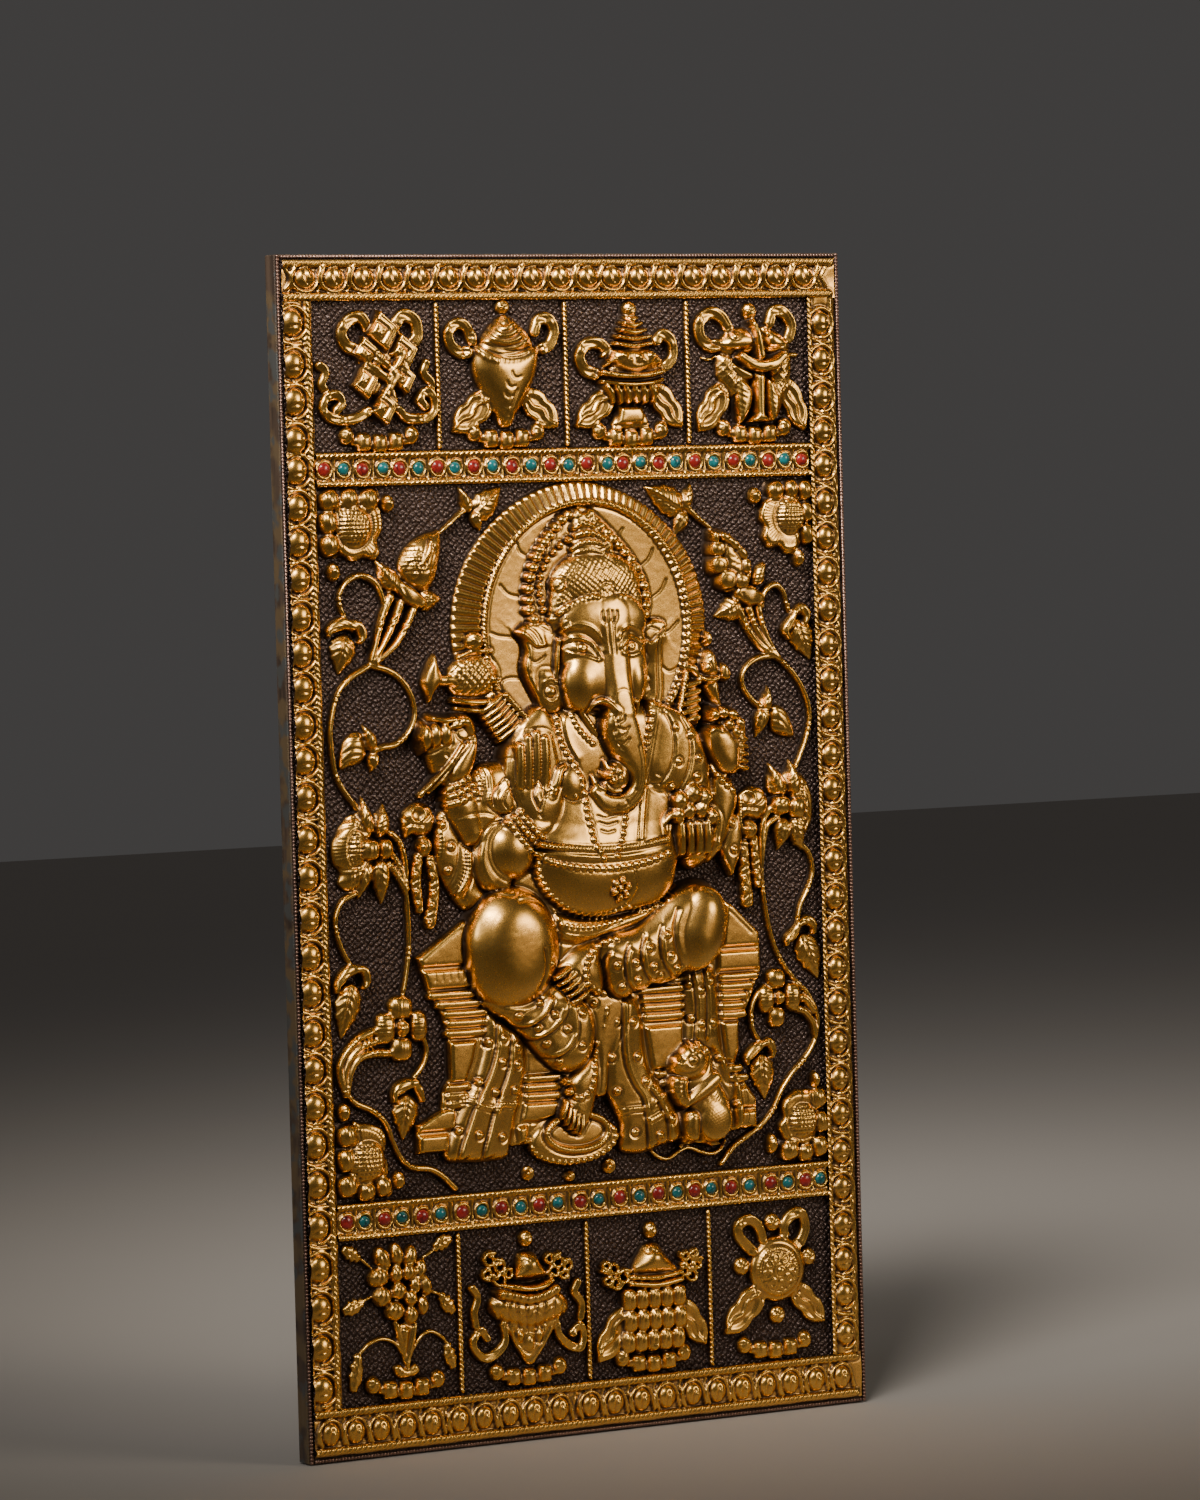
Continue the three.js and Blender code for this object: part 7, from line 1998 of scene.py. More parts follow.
def corner_lotuses(panel):
    """The half flowers in the four corners between the stone bands."""
    panel.piece("corner_lotuses")
    corner_lotus(
        panel, (-150, 199, 12, 13),
        [(-163, 214), (-163, 190), (-160, 181.5), (-152, 177.5), (-145, 179.5), (-137, 178), (-133, 183),
         (-134.5, 190), (-131, 196), (-131, 204), (-134, 212), (-146, 216)], (-2.0, 0.9, 26),
        [(-167, 214.5, 6.6, 5.8), (-154, 215, 6.6, 5.4), (-141, 214.5, 7, 5.6), (-168, 201.5, 6, 6.4),
         (-167.5, 188, 6.2, 6)], [(-127.5, 212, 5.4, 5.6), (-165.5, 172, 5.4, 5.8)])
    corner_lotus(
        panel, (157, 198, 11, 11.5),
        [(163, 212), (140, 210), (134, 204), (133, 196.5), (136.5, 191), (135, 183.5), (139.5, 178),
         (147.5, 178.5), (152, 174), (160, 174.5), (164, 181), (165, 196)], (2.3, 5.0, 26),
        [(145.5, 214, 6.2, 5), (157, 214.5, 5.2, 5), (167, 213.5, 5, 5.6), (168, 200, 4, 6),
         (167.5, 186.5, 4.6, 6)], [(130.5, 211, 5.6, 5.4), (161.5, 171.5, 5.2, 5.8)])
    corner_lotus(
        panel, (-153, -182, 12.5, 12.5),
        [(-165, -160), (-158, -158.5), (-150, -159.5), (-143, -163), (-139.5, -170), (-141, -178),
         (-138.5, -186), (-141, -194), (-155, -198), (-166, -196)], (-0.6, 1.9, 24),
        [(-167, -166, 6.4, 6.2), (-168, -180.5, 5.8, 6.4), (-167.5, -196, 6.6, 6), (-155, -200, 6, 4.8),
         (-143.5, -198, 5.6, 5.2)], [(-168.5, -151.5, 5.2, 5.8), (-133, -195, 5.4, 5.8)])
    corner_lotus(
        panel, (155, -180, 11, 11),
        [(168, -162), (158, -160.5), (149, -160.5), (142, -164.5), (139.5, -170), (140, -177),
         (136.5, -182), (138, -189), (144, -195), (160, -196), (166, -184)], (1.6, 3.9, 22),
        [(165.5, -167, 5.8, 6), (167.5, -182, 5, 6.4), (144, -198, 6.6, 5.6), (155.5, -200, 5.6, 4.8),
         (166, -197, 5.6, 6)], [(131, -193, 5, 6.8), (164, -155, 4.4, 5.6)])


def rosette(panel, x, z, r, petals):
    """A flower of broad ribbed petals round a ringed button."""
    for px, pz, rx, rz, along in petals:
        panel.blob(px, pz, rx + 1.6, rz + 1.6, 4.2, squared=2.6)
    for px, pz, rx, rz, along in petals:
        petal(panel, px, pz, rx + 0.9, rz + 0.9, 8.8, 0, 6, along)
    panel.blob(x, z, r, r, 10.5, 3, crease=1.0)
    panel.chase([oval(x + 0.6, z, 0.58 * r, 0.58 * r)], 1.1, 1.1, False, closed=True)
    panel.studs([(x + 0.6, z)], 1.5, 0.9)


def left_vine(panel):
    """The flowering vine that climbs at the left."""
    panel.piece("left_vine")
    left_top_flower(panel)
    left_upper_stems(panel)
    left_lotus(panel)
    left_lower_stems(panel)


def left_top_flower(panel):
    """The big bud at the top of the left vine, on its stalk."""
    stem(panel, [(-73, 209, 6.5), (-80, 204, 4.6), (-93, 194, 3.2)], nodes=[(-83, 202, -0.7)])
    leaf(panel, (-70, 202), (-49, 220), 16, 7, 5)
    leaf(panel, (-71, 205), (-79, 221), 9, 6.5, 3)
    leaf(panel, (-70, 207), (-64, 194), 9, 6.5, 3)
    panel.shape(
        [(-92.5, 195.5), (-97, 195), (-104, 193.5), (-112, 190), (-119, 184), (-123, 176), (-121.5, 168),
         (-117, 161.5), (-109, 158), (-101, 159.5), (-96, 166), (-93, 176), (-91, 187)], 11, 0, 10, 0.3)
    pits = [(-118 + 2.9 * i + 1.3 * (j % 2), 171 + 2.6 * j) for j in range(9) for i in range(9)]
    panel.studs(
        [(x, z) for x, z in pits
         if ((x + 109) / 13.5) ** 2 + ((z - 177) / 13.5) ** 2 + (x + z - 68) / 30 < 0.86], 0.9, -0.9)
    panel.chase([coil(-109, 170, 7.5, 1.25, 0.9, 1)], 1.2, 0.9, smooth=False)
    panel.limb([[-98, 189, 3, 11.5], [-101, 181, 5, 12.6], [-105, 175, 2.4, 12]], 8)
    panel.chase(
        [[(-94, 184), (-97, 176), (-97, 168)], [(-97, 187), (-93, 180)], [(-99, 172), (-95, 172)]], 1.2,
        0.8)
    leaf(panel, (-120, 160), (-137, 178), 13, 7.5, 5, 1.5)
    leaf(panel, (-111, 153), (-92, 154), 13, 7, 4)


def left_upper_stems(panel):
    """The bundle of stems under the left vine's top flower, and what they carry."""
    for path in (
            [(-128, 156), (-133, 146), (-137, 134), (-142, 118)],
            [(-121, 152), (-126, 141), (-133, 129), (-140, 118)],
            [(-111, 151), (-117, 139), (-126, 127), (-139, 117)]):
        stem(panel, [(*p, 8 - 0.9 * i) for i, p in enumerate(path)], h=6.4)
    for x, z in ((-131.5, 139), (-124, 142), (-118, 138)):
        node_rings(panel, x, z, -1.1)
    panel.limb([[-122, 162, 9, 8], [-115, 156, 12, 9.5], [-108, 152, 8, 8]], 1, 0.5)
    panel.chase([[(-117, 161), (-113, 153)], [(-120, 158), (-117, 152)]], 0.9, 0.7)
    stem(
        panel, [(-131, 146), (-133, 156), (-137, 164), (-144, 168.5), (-151, 169), (-158, 165),
         (-162, 158), (-161.5, 150), (-158, 143, 5), (-154, 137, 5)],
        nodes=[(-147, 169, 0), (-162, 154, 1.5)])
    hanging_leaf(
        panel, (-158, 135), (-164, 111),
        [(-155, 141, 6), (-150, 139, 8), (-147.5, 134, 9), (-149.5, 130, 5)],
        [(-154, 139, 6), (-162, 141, 9), (-169, 138, 8.5), (-171, 134, 4)])
    stem(
        panel, [(-140, 117), (-148, 113), (-157, 108), (-164, 101), (-168, 91), (-170.5, 78), (-170, 64),
         (-167.5, 50), (-162, 40), (-154, 30)], nodes=[(-166, 97, 1.2), (-168, 48, 1.8)])
    stem(
        panel, [(-141, 115), (-132, 112.5), (-123, 107), (-116, 98), (-113, 88), (-114.5, 80), (-120, 72),
         (-128, 67), (-136, 66), (-143, 64)], nodes=[(-125, 105, -0.7), (-121, 70.5, 0.7)])
    panel.shape(
        [(-150, 76), (-158, 75), (-164, 68), (-165.5, 54), (-158, 55), (-150, 57), (-146, 63), (-147, 70)],
        6.5, 0, 5, 0.3)
    panel.chase(
        [[(-147, 65), (-155, 66), (-163, 62)], [(-149, 71), (-157, 71), (-161, 68)],
         [(-150, 62), (-157, 61), (-163, 57)], [(-151, 74), (-157, 74)], [(-153, 58), (-160, 57)]], 1.0,
        0.7)
    leaf(panel, (-141, 64), (-149, 80), 10.5, 7.5, 3)
    leaf(panel, (-141, 64), (-144, 51), 9, 7, 3)


def left_lotus(panel):
    """The left vine's lotus in profile, beside the tassel."""
    panel.shape(
        [(-156, 27.5), (-164, 23), (-169, 17), (-173, 9), (-172.5, -2), (-168, -8), (-169, -15),
         (-162, -20), (-153, -18), (-146, -8), (-143, 8), (-147, 22)], 8.5, 0, 7, 0.35)
    panel.chase(
        [[(-170, 14), (-163, 19), (-153, 20)], [(-169, -5), (-160, -6), (-152, -4)],
         [(-161, 23), (-153, 25)]], 1.6, 1.0)
    panel.chase(
        [[(-170 + 0.3 * k, 12 - 2.2 * k), (-161, 12 - 2.0 * k)] for k in range(6)], 0.8, 0.6, smooth=False)
    panel.chase(
        [[(-162 + 1.8 * k, 21 + 0.3 * k), (-160 + 1.8 * k, 24.5)] for k in range(5)], 0.8, 0.5,
        smooth=False)
    panel.chase([[(-165 + 2.6 * k, -9), (-164 + 2.3 * k, -16)] for k in range(5)], 0.8, 0.5, smooth=False)
    seed_head(panel, -154, 6, 6.5, 10.5, 10.5, 5)
    leaf(panel, (-145, 13), (-151, 37), 13, 9.5, 4, 2)
    leaf(panel, (-141, 11), (-136, 32), 14, 9, 5)
    leaf(panel, (-146, -1), (-155, -24), 13, 9, 4, -1.5)
    leaf(panel, (-140, 1), (-139, -28), 14, 9, 5)
    panel.blob(-145.5, 5, 6.8, 6.4, 12, 4, 0, 0.35, 1.2, squared=3)
    panel.blob(-135, 5, 5.6, 6, 10.5, 3, 0, 0.35, 1.2, squared=3)
    panel.chase(
        [[(-143, 9), (-142, 5), (-143, 1)], [(-137, 9.5), (-136.5, 1)], [(-134, 9.5), (-133.5, 1)]], 1.0,
        0.8)


def left_lower_stems(panel):
    """The left vine's stems below the lotus, down to its root."""
    for path in ([(-132, 14), (-126, 8), (-123, -2), (-121.5, -20)], [(-132, 2), (-127, -6), (-123, -18)],
                 [(-134, -4), (-128, -12), (-123, -21)]):
        stem(panel, path, 6.2, 5.8)
    for x, z, a in ((-125.5, 6, -1), (-128, -5, -0.9), (-128.5, -12, -0.9)):
        node_rings(panel, x, z, a)
    stem(
        panel, [(-122.5, -19), (-121.5, -35), (-121.5, -55), (-124, -72), (-127, -85)], 5.2, 5,
        nodes=[(-122, -57.5, 1.6)])
    stem(
        panel, [(-158, -21), (-166, -25), (-170.5, -34), (-170, -45), (-166, -56), (-159, -68)],
        nodes=[(-170.3, -42, 1.6)])
    hanging_leaf(
        panel, (-160, -74), (-169, -107),
        [(-157, -66, 6), (-152.5, -68, 8), (-151, -73, 8.5), (-153.5, -77, 5)],
        [(-157, -66, 6), (-164, -67, 9), (-170, -73, 8.5), (-172.5, -79, 4)])
    for path in ([(-143, -103), (-156, -107), (-165, -114), (-170.5, -123), (-170, -133), (-167, -141)],
                 [(-145, -110), (-156, -113), (-164, -120), (-167.5, -129), (-167, -139)],
                 [(-135, -118), (-148, -117.5), (-158, -120), (-163.5, -128), (-165.5, -138)]):
        stem(panel, path, 6.8, 6.2)
    for x, z in ((-160, -108), (-150, -111), (-145, -117)):
        node_rings(panel, x, z, 0.3)
    stem(
        panel, [(-167, -138), (-162, -146), (-150, -152), (-141, -160), (-136, -172), (-131, -182),
         (-124, -188), (-112, -190), (-103, -195), (-94.5, -203)],
        nodes=[(-166.5, -141, 1.4), (-146, -155, -0.5), (-124.5, -188, -0.3)])
    rosette(
        panel, -127, -103.5, 5.6,
        [(-129, -91.5, 8.6, 7, True), (-139.5, -103, 7.2, 9, False), (-117, -103, 6.2, 9, False),
         (-129, -116, 7.6, 7, True)])
    stem(panel, [(-113.5, -110), (-111.5, -118), (-114, -126), (-120, -133), (-124, -139)])
    hanging_leaf(panel, (-125, -143), (-129, -171), [(-122, -137, 6), (-117.5, -142, 8), (-116, -148, 5)],
                 [(-121, -137, 6), (-128, -138, 9), (-133.5, -141, 9), (-135.5, -147, 5)])


def right_vine(panel):
    """The flowering vine that climbs at the right."""
    panel.piece("right_vine")
    right_top_flower(panel)
    right_upper_stems(panel)
    right_lotus(panel)
    right_lower_stems(panel)


def right_top_flower(panel):
    """The many-petalled flower at the top of the right vine, on its stalk."""
    stem(panel, [(80, 206, 6.5), (88, 199, 4.6), (99.5, 190, 3)], nodes=[(91, 197, -0.7)])
    leaf(panel, (80, 202), (52.5, 218), 17, 7, 5, -1)
    leaf(panel, (79, 204), (85, 220), 10, 6.5, 3)
    leaf(panel, (81, 203), (72, 188), 11, 6.5, 3)
    panel.shape(
        [(98.5, 191.5), (108, 190.5), (117, 184.5), (124.5, 175), (128, 165), (125, 155.5), (117, 151),
         (107, 151.5), (100.5, 158), (98.5, 170), (98.5, 182)], 10, 0, 8, 0.3)
    panel.texture([(112, 180), (119, 180), (121, 170), (117, 163), (112, 168)], lattice(0.1, 1.7, 0.6, False))
    for x, z, rx, rz, turn in (
            (104, 179, 5, 4.6, 0), (105, 169, 5.6, 5.2, 0), (111, 160, 6, 5.6, 0),
            (121, 158.5, 4.6, 4.4, 0), (124.5, 168, 3, 4.6, 0), (102.5, 186.5, 3, 3.4, 0),
            (110, 185.5, 5, 2.6, -0.5), (116, 181.5, 4.6, 2.6, -0.6), (121.5, 176, 4.6, 2.8, -0.8)):
        panel.blob(x, z, rx, rz, 11.5, 8, turn, 0.3, 1.0, squared=2.5)
        if rx > 4.5 and rz > 4:
            panel.chase([oval(x + 0.4, z - 0.2, rx * 0.66, rz * 0.66)], 0.8, 0.6, False, closed=True)
    panel.shape(
        [(126, 156), (131, 154.5), (136.5, 158), (138, 169.5), (131, 168.5), (127, 163)], 6.5, 0, 4, 0.3)
    panel.chase([[(129, 166 - 2.4 * k), (135, 167 - 2.6 * k)] for k in range(4)], 0.8, 0.5, smooth=False)
    leaf(panel, (120, 147), (99.5, 137), 15, 7.5, 5, 1.5)


def right_upper_stems(panel):
    """The bundle of stems under the right vine's top flower, and what they carry."""
    for path in (
            [(117, 141), (122, 130), (130, 119), (141, 111)],
            [(124, 141), (128, 130), (135, 119), (143, 110)],
            [(131, 150), (132, 136), (137, 122), (145, 109)]):
        stem(panel, [(*p, 8 - 0.9 * i) for i, p in enumerate(path)], h=6.4)
    for x, z, a in ((121.5, 128, -1), (126, 134, -1), (133, 133, -1.3)):
        node_rings(panel, x, z, a)
    panel.limb([[117, 151, 10, 8.5], [124, 149, 14, 9.5], [130, 147, 9, 8]], 1, 0.5)
    panel.chase([[(121, 151), (124, 144)], [(118, 149), (120, 144)]], 0.9, 0.7)
    stem(
        panel, [(134, 142), (135, 149), (139, 154), (145, 155), (150, 150), (152, 143), (155, 137),
         (161, 138)], nodes=[(152, 142, 1.3)])
    hanging_leaf(
        panel, (158, 134), (169, 108), [(156, 138, 6), (162, 140, 8), (166, 136, 8.5), (164, 131.5, 5)],
        [(157, 138, 6), (153.5, 132, 9), (150, 127, 9), (151.5, 122, 5)])
    stem(
        panel, [(140, 114), (148, 107), (156, 99), (162, 90), (166, 80), (166.5, 70), (163.5, 59),
         (159, 49), (155, 41)], nodes=[(151, 105, -0.8), (165, 66, 1.5)])
    stem(panel, [(142, 111), (131, 110.5), (122, 106), (118, 99), (119, 92), (124, 85), (130, 80), (134, 76)])
    leaf(panel, (135, 81), (127, 61), 11, 7.5, 3)
    leaf(panel, (134, 76), (137, 93), 9.5, 7, 3)
    panel.shape(
        [(138, 79), (143, 81), (149, 78), (153, 72), (156, 60.5), (147, 60.5), (139, 64), (137, 71)], 6.5,
        0, 5, 0.3)
    panel.chase([[(139, 72), (146, 71), (153, 64)], [(140, 77), (146, 77), (150, 74)], [(141, 67), (148, 66)],
                 [(143, 63), (150, 62)]], 1.0, 0.7)


def right_lotus(panel):
    """The right vine's lotus in profile."""
    panel.shape(
        [(156, 38.5), (163, 34), (168, 22), (167, 7), (161, -3), (152, -8), (148, 10), (150, 28)], 8, 0, 6,
        0.35)
    panel.chase(
        [[(163, 30), (166, 18), (163, 4)], [(159, 26), (163, 24)], [(160, 30), (164, 29)],
         [(162, 8), (165, 8)], [(161, 12), (165.5, 13)], [(160, 3), (163, 3)]], 1.0, 0.7)
    seed_head(panel, 158.5, 16, 7, 12, 9.6, 5)
    leaf(panel, (147, 22), (136, 44), 14.5, 9, 3, 1.5)
    leaf(panel, (153, 22), (151, 46), 13.5, 9.5, 5)
    leaf(panel, (147, 11), (141, -10), 13, 9, 3)
    leaf(panel, (151, 12), (159, -11), 14, 9, 5)
    panel.blob(156, 16, 6.2, 6, 11, 4, 0, 0.35, 1.2, squared=3)
    panel.chase([[(155, 20.5), (154.6, 11.5)], [(158, 20.5), (157.6, 11.5)]], 0.9, 0.7)
    panel.blob(144.5, 18, 6.8, 6, 10.5, 3, 0, 0.35, 1.2, squared=3)
    panel.chase([[(141, 21), (145, 19), (148, 21)]], 1.0, 0.7)


def right_lower_stems(panel):
    """The right vine's stems below the lotus, down to its root."""
    stem(
        panel, [(138, 18, 7), (132, 11, 6), (129.5, -2, 6), (128.8, -20), (129.5, -36), (132, -52),
         (136, -68), (143, -82), (152, -93), (160, -101), (166, -112), (167, -122), (163, -133),
         (156, -142), (147, -150), (139, -160), (133, -171), (125, -179.5), (113, -187), (103, -193),
         (94, -202.5)], 5, 5,
        nodes=[(129, -31, 1.6), (141, -79.5, -0.9), (158, -99, -0.9), (155.5, -143, 0.8), (133, -172, 1.1),
         (108, -189.5, 0.4)])
    stem(panel, [(141, 11), (134, 6), (131, -5), (129, -18)])
    stem(
        panel, [(158, -7), (164, -14), (166, -25), (162, -35), (156.5, -45), (153.5, -57)],
        nodes=[(163, -32, 1.1)])
    hanging_leaf(
        panel, (157, -63), (169, -92), [(154, -57, 6), (160, -55, 8), (164.5, -58, 8.5), (165, -62.5, 5)],
        [(154, -57, 7), (150.5, -62, 9), (146, -66, 8.5), (144.5, -69.5, 4)])
    for path in (
            [(148, -109), (157, -112), (163, -119), (165, -127)], [(148, -102), (157, -104), (164, -112)]):
        stem(panel, path, 6.6, 6)
    for x, z in ((155, -103.5), (154, -111)):
        node_rings(panel, x, z, -0.4)
    rosette(
        panel, 139.5, -102, 4.8,
        [(136.5, -90.5, 7, 6, True), (129.5, -103, 6, 8, False), (148.5, -102, 6, 8, False),
         (136.5, -114, 6.2, 6.2, True)])
    stem(
        panel, [(128, -95), (121.5, -101), (118.5, -110), (119.5, -121), (125, -130)],
        nodes=[(118.8, -114, 1.6)])
    hanging_leaf(
        panel, (125, -136), (127.5, -165),
        [(125, -130, 6), (130.5, -130, 8), (133, -134.5, 8), (131.5, -138.5, 4.5)],
        [(125, -130, 6), (119.5, -133, 9), (114.5, -138, 8.5), (113.5, -142, 4)])


def centre_panel(panel):
    """Everything that stands between the two stone bands."""
    corner_lotuses(panel)
    left_vine(panel)
    right_vine(panel)
    figure(panel)


# Materials
def group(name, inputs, outputs):
    """An empty shader node group with named sockets; a dict gives each input's default."""
    tree = bpy.data.node_groups.new(name, "ShaderNodeTree")
    for label, value in inputs.items():
        kind = "NodeSocketColor" if isinstance(value, tuple) else "NodeSocketFloat"
        tree.interface.new_socket(label, in_out="INPUT", socket_type=kind).default_value = value
    for label, kind in outputs.items():
        tree.interface.new_socket(label, in_out="OUTPUT", socket_type=kind)
    return tree, tree.nodes.new("NodeGroupInput"), tree.nodes.new("NodeGroupOutput")


class Bench:
    """Short ways to add and join the nodes of one tree."""

    def __init__(self, tree):
        self.tree = tree

    def add(self, kind, **settings):
        """A new node with its settings."""
        node = self.tree.nodes.new(kind)
        for key, value in settings.items():
            setattr(node, key, value)
        return node

    def put(self, socket, value):
        """Joins another node's output to a socket, or sets its value."""
        if isinstance(value, bpy.types.NodeSocket):
            self.tree.links.new(value, socket)
        else:
            socket.default_value = value

    def math(self, operation, a, b=0.0, clamp=False):
        """One sum."""
        node = self.add("ShaderNodeMath", operation=operation, use_clamp=clamp)
        self.put(node.inputs[0], a)
        self.put(node.inputs[1], b)
        return node.outputs[0]

    def spread(self, value, width):
        """A value from 0 to 1 spread evenly about nothing, width in all."""
        moved = self.math("MULTIPLY_ADD", value, width)
        moved.node.inputs[2].default_value = -width / 2
        return moved

    def noise(self, place, scale, detail=3.0, rough=0.5):
        """Soft clouds, from 0 to 1."""
        node = self.add("ShaderNodeTexNoise")
        self.put(node.inputs["Vector"], place)
        node.inputs["Scale"].default_value = scale
        node.inputs["Detail"].default_value = detail
        node.inputs["Roughness"].default_value = rough
        return node.outputs["Fac"]

    def jitter(self, place, scale, reach):
        """Places pushed about by up to reach, so that a pattern there isn't too even."""
        wobble = self.add("ShaderNodeVectorMath", operation="ADD")
        push = self.add("ShaderNodeTexNoise")
        self.put(push.inputs["Vector"], place)
        push.inputs["Scale"].default_value = scale
        shrink = self.add("ShaderNodeVectorMath", operation="SCALE")
        self.put(shrink.inputs[0], push.outputs["Color"])
        shrink.inputs["Scale"].default_value = reach
        self.put(wobble.inputs[0], place)
        self.put(wobble.inputs[1], shrink.outputs[0])
        return wobble.outputs[0]

    def cells(self, place, scale, randomness=1.0, feature="F1"):
        """Distances from scattered points."""
        node = self.add("ShaderNodeTexVoronoi", feature=feature)
        self.put(node.inputs["Vector"], place)
        node.inputs["Scale"].default_value = scale
        node.inputs["Randomness"].default_value = randomness
        return node.outputs["Distance"]

    def ramp(self, value, stops, smooth=True):
        """A value turned into greys or colours by its stops."""
        node = self.add("ShaderNodeValToRGB")
        node.color_ramp.interpolation = "EASE" if smooth else "LINEAR"
        elements = node.color_ramp.elements
        while len(elements) < len(stops):
            elements.new(0.5)
        for element, (at, colour) in zip(elements, stops):
            element.position = at
            element.color = (*colour, 1) if isinstance(colour, tuple) else (colour, colour, colour, 1)
        self.put(node.inputs[0], value)
        return node.outputs[0]

    def mix(self, share, a, b):
        """Two colours mixed."""
        node = self.add("ShaderNodeMix", data_type="RGBA")
        self.put(node.inputs[0], share)
        self.put(node.inputs[6], a if isinstance(a, bpy.types.NodeSocket) else (*a, 1))
        self.put(node.inputs[7], b if isinstance(b, bpy.types.NodeSocket) else (*b, 1))
        return node.outputs[2]

    def bump(self, height, strength, distance, normal=None):
        """A normal pushed about by a height."""
        node = self.add("ShaderNodeBump")
        node.inputs["Strength"].default_value = strength
        node.inputs["Distance"].default_value = distance
        self.put(node.inputs["Height"], height)
        if normal is not None:
            self.put(node.inputs["Normal"], normal)
        return node.outputs[0]


def material(name):
    """A new material with its bench, its Principled shader and its Object coordinates."""
    made = bpy.data.materials.new(name)
    made.use_nodes = True
    bench = Bench(made.node_tree)
    shader = made.node_tree.nodes["Principled BSDF"]
    place = bench.add("ShaderNodeTexCoord").outputs["Object"]
    return made, bench, shader, place


def hand_finish_group():
    """Slow blotches and fine rubbing marks that every worked surface of the plaque shares."""
    tree, entry, leave = group(
        "hand_finish",
        {"Blotch Size": 40.0, "Rub Size": 900.0},
        {"Blotches": "NodeSocketFloat", "Rubbing": "NodeSocketFloat", "Dents": "NodeSocketFloat"},
    )
    bench = Bench(tree)
    place = bench.add("ShaderNodeTexCoord").outputs["Object"]
    for label, key, detail in (("Blotches", "Blotch Size", 4.0), ("Rubbing", "Rub Size", 2.0)):
        node = bench.add("ShaderNodeTexNoise")
        bench.put(node.inputs["Vector"], place)
        bench.put(node.inputs["Scale"], entry.outputs[key])
        node.inputs["Detail"].default_value = detail
        bench.put(leave.inputs[label], node.outputs["Fac"])
    bench.put(leave.inputs["Dents"], bench.noise(place, 170.0, 1.0))
    return tree


def use_group(bench, tree, **values):
    """A copy of a node group, with its named inputs set."""
    node = bench.add("ShaderNodeGroup")
    node.node_tree = tree
    for key, value in values.items():
        bench.put(node.inputs[key.replace("_", " ")], value)
    return node


def gilt_brass(finish):
    """Warm gilded brass: bright on what stands proud, brown with patina in the recesses, and darkened further
    by painted shade at the feet of forms, on steep walls and near the bare ground.
    """
    made, bench, shader, _ = material("gilt_brass")
    marks = use_group(bench, finish, Blotch_Size=38.0, Rub_Size=1500.0)
    patina_and_shade = bench.add("ShaderNodeAttribute", attribute_name="patina_and_shade").outputs["Fac"]
    uneven = bench.spread(marks.outputs["Blotches"], 0.22)
    depth = bench.math("ADD", patina_and_shade, uneven, True)
    # depth is the painted darkening read above, patina and painted shade together, with random blotches; the
    # ramp turns it from bright gold to near black
    colour = bench.ramp(depth, [
        (0.0, (1.0, 0.585, 0.13)), (0.34, (0.88, 0.47, 0.115)), (0.46, (0.43, 0.25, 0.10)),
        (0.58, (0.14, 0.085, 0.046)), (0.72, (0.07, 0.043, 0.028)), (1.0, (0.034, 0.020, 0.014)),
    ], False)
    rough = bench.ramp(depth, [(0.0, 0.24), (0.45, 0.30), (0.7, 0.45), (1.0, 0.6)], False)
    rubbed = bench.spread(marks.outputs["Rubbing"], 0.14)
    metal = bench.ramp(depth, [(0.0, 1.0), (0.66, 1.0), (0.95, 0.35), (1.0, 0.3)], False)
    dented = bench.bump(marks.outputs["Dents"], 0.25, 0.0006)
    fine = bench.bump(marks.outputs["Rubbing"], 0.12, 0.0001, dented)
    bench.put(shader.inputs["Base Color"], colour)
    bench.put(shader.inputs["Roughness"], bench.math("ADD", rough, rubbed, True))
    bench.put(shader.inputs["Metallic"], metal)
    bench.put(shader.inputs["Normal"], fine)
    return made


PUNCH_SCALE = 330.0
PUNCH_SLANT = math.radians(42)


def punched_ground(finish):
    """The dark sunk ground, matted all over with a ring punch, with painted glints on the tips of its bumps.
    """
    made, bench, shader, place = material("punched_ground")
    marks = use_group(bench, finish, Blotch_Size=30.0, Rub_Size=1100.0)
    slanted = bench.add("ShaderNodeMapping")
    slanted.inputs["Rotation"].default_value = (0, PUNCH_SLANT, 0)
    bench.put(slanted.inputs["Vector"], bench.jitter(place, 120.0, 0.003))
    bumps = bench.cells(slanted.outputs[0], PUNCH_SCALE, 0.5)
    profile = bench.ramp(bumps, [(0.0, 1.0), (0.2, 0.93), (0.42, 0.55), (0.62, 0.12), (0.8, 0.0)])
    tint = bench.mix(marks.outputs["Blotches"], (0.040, 0.024, 0.020), (0.115, 0.074, 0.062))
    # Painted glints: the tips of the punch bumps, in random patches, are coloured a pale grey as if catching
    # the light.
    tips = bench.ramp(profile, [(0.0, 0.0), (0.6, 0.0), (1.0, 1.0)])
    glint_patches = bench.ramp(marks.outputs["Rubbing"], [(0.0, 0.0), (0.42, 0.0), (0.75, 1.0)])
    bright = bench.math("MULTIPLY", tips, glint_patches)
    colour = bench.mix(bright, tint, (0.20, 0.15, 0.13))
    bench.put(shader.inputs["Base Color"], colour)
    bench.put(shader.inputs["Roughness"], bench.ramp(marks.outputs["Rubbing"], [(0.2, 0.20), (0.8, 0.36)]))
    shader.inputs["Metallic"].default_value = 0.6
    bench.put(shader.inputs["Normal"], bench.bump(profile, 1.0, 0.0015))
    return made


def coppery_wire(finish):
    """Dark beaded wire, rubbed pinkish on its beads."""
    made, bench, shader, _ = material("coppery_wire")
    marks = use_group(bench, finish, Blotch_Size=60.0, Rub_Size=1300.0)
    colour = bench.mix(marks.outputs["Blotches"], (0.16, 0.085, 0.06), (0.44, 0.28, 0.22))
    bench.put(shader.inputs["Base Color"], colour)
    bench.put(shader.inputs["Roughness"], bench.ramp(marks.outputs["Rubbing"], [(0.2, 0.28), (0.8, 0.5)]))
    shader.inputs["Metallic"].default_value = 0.9
    return made


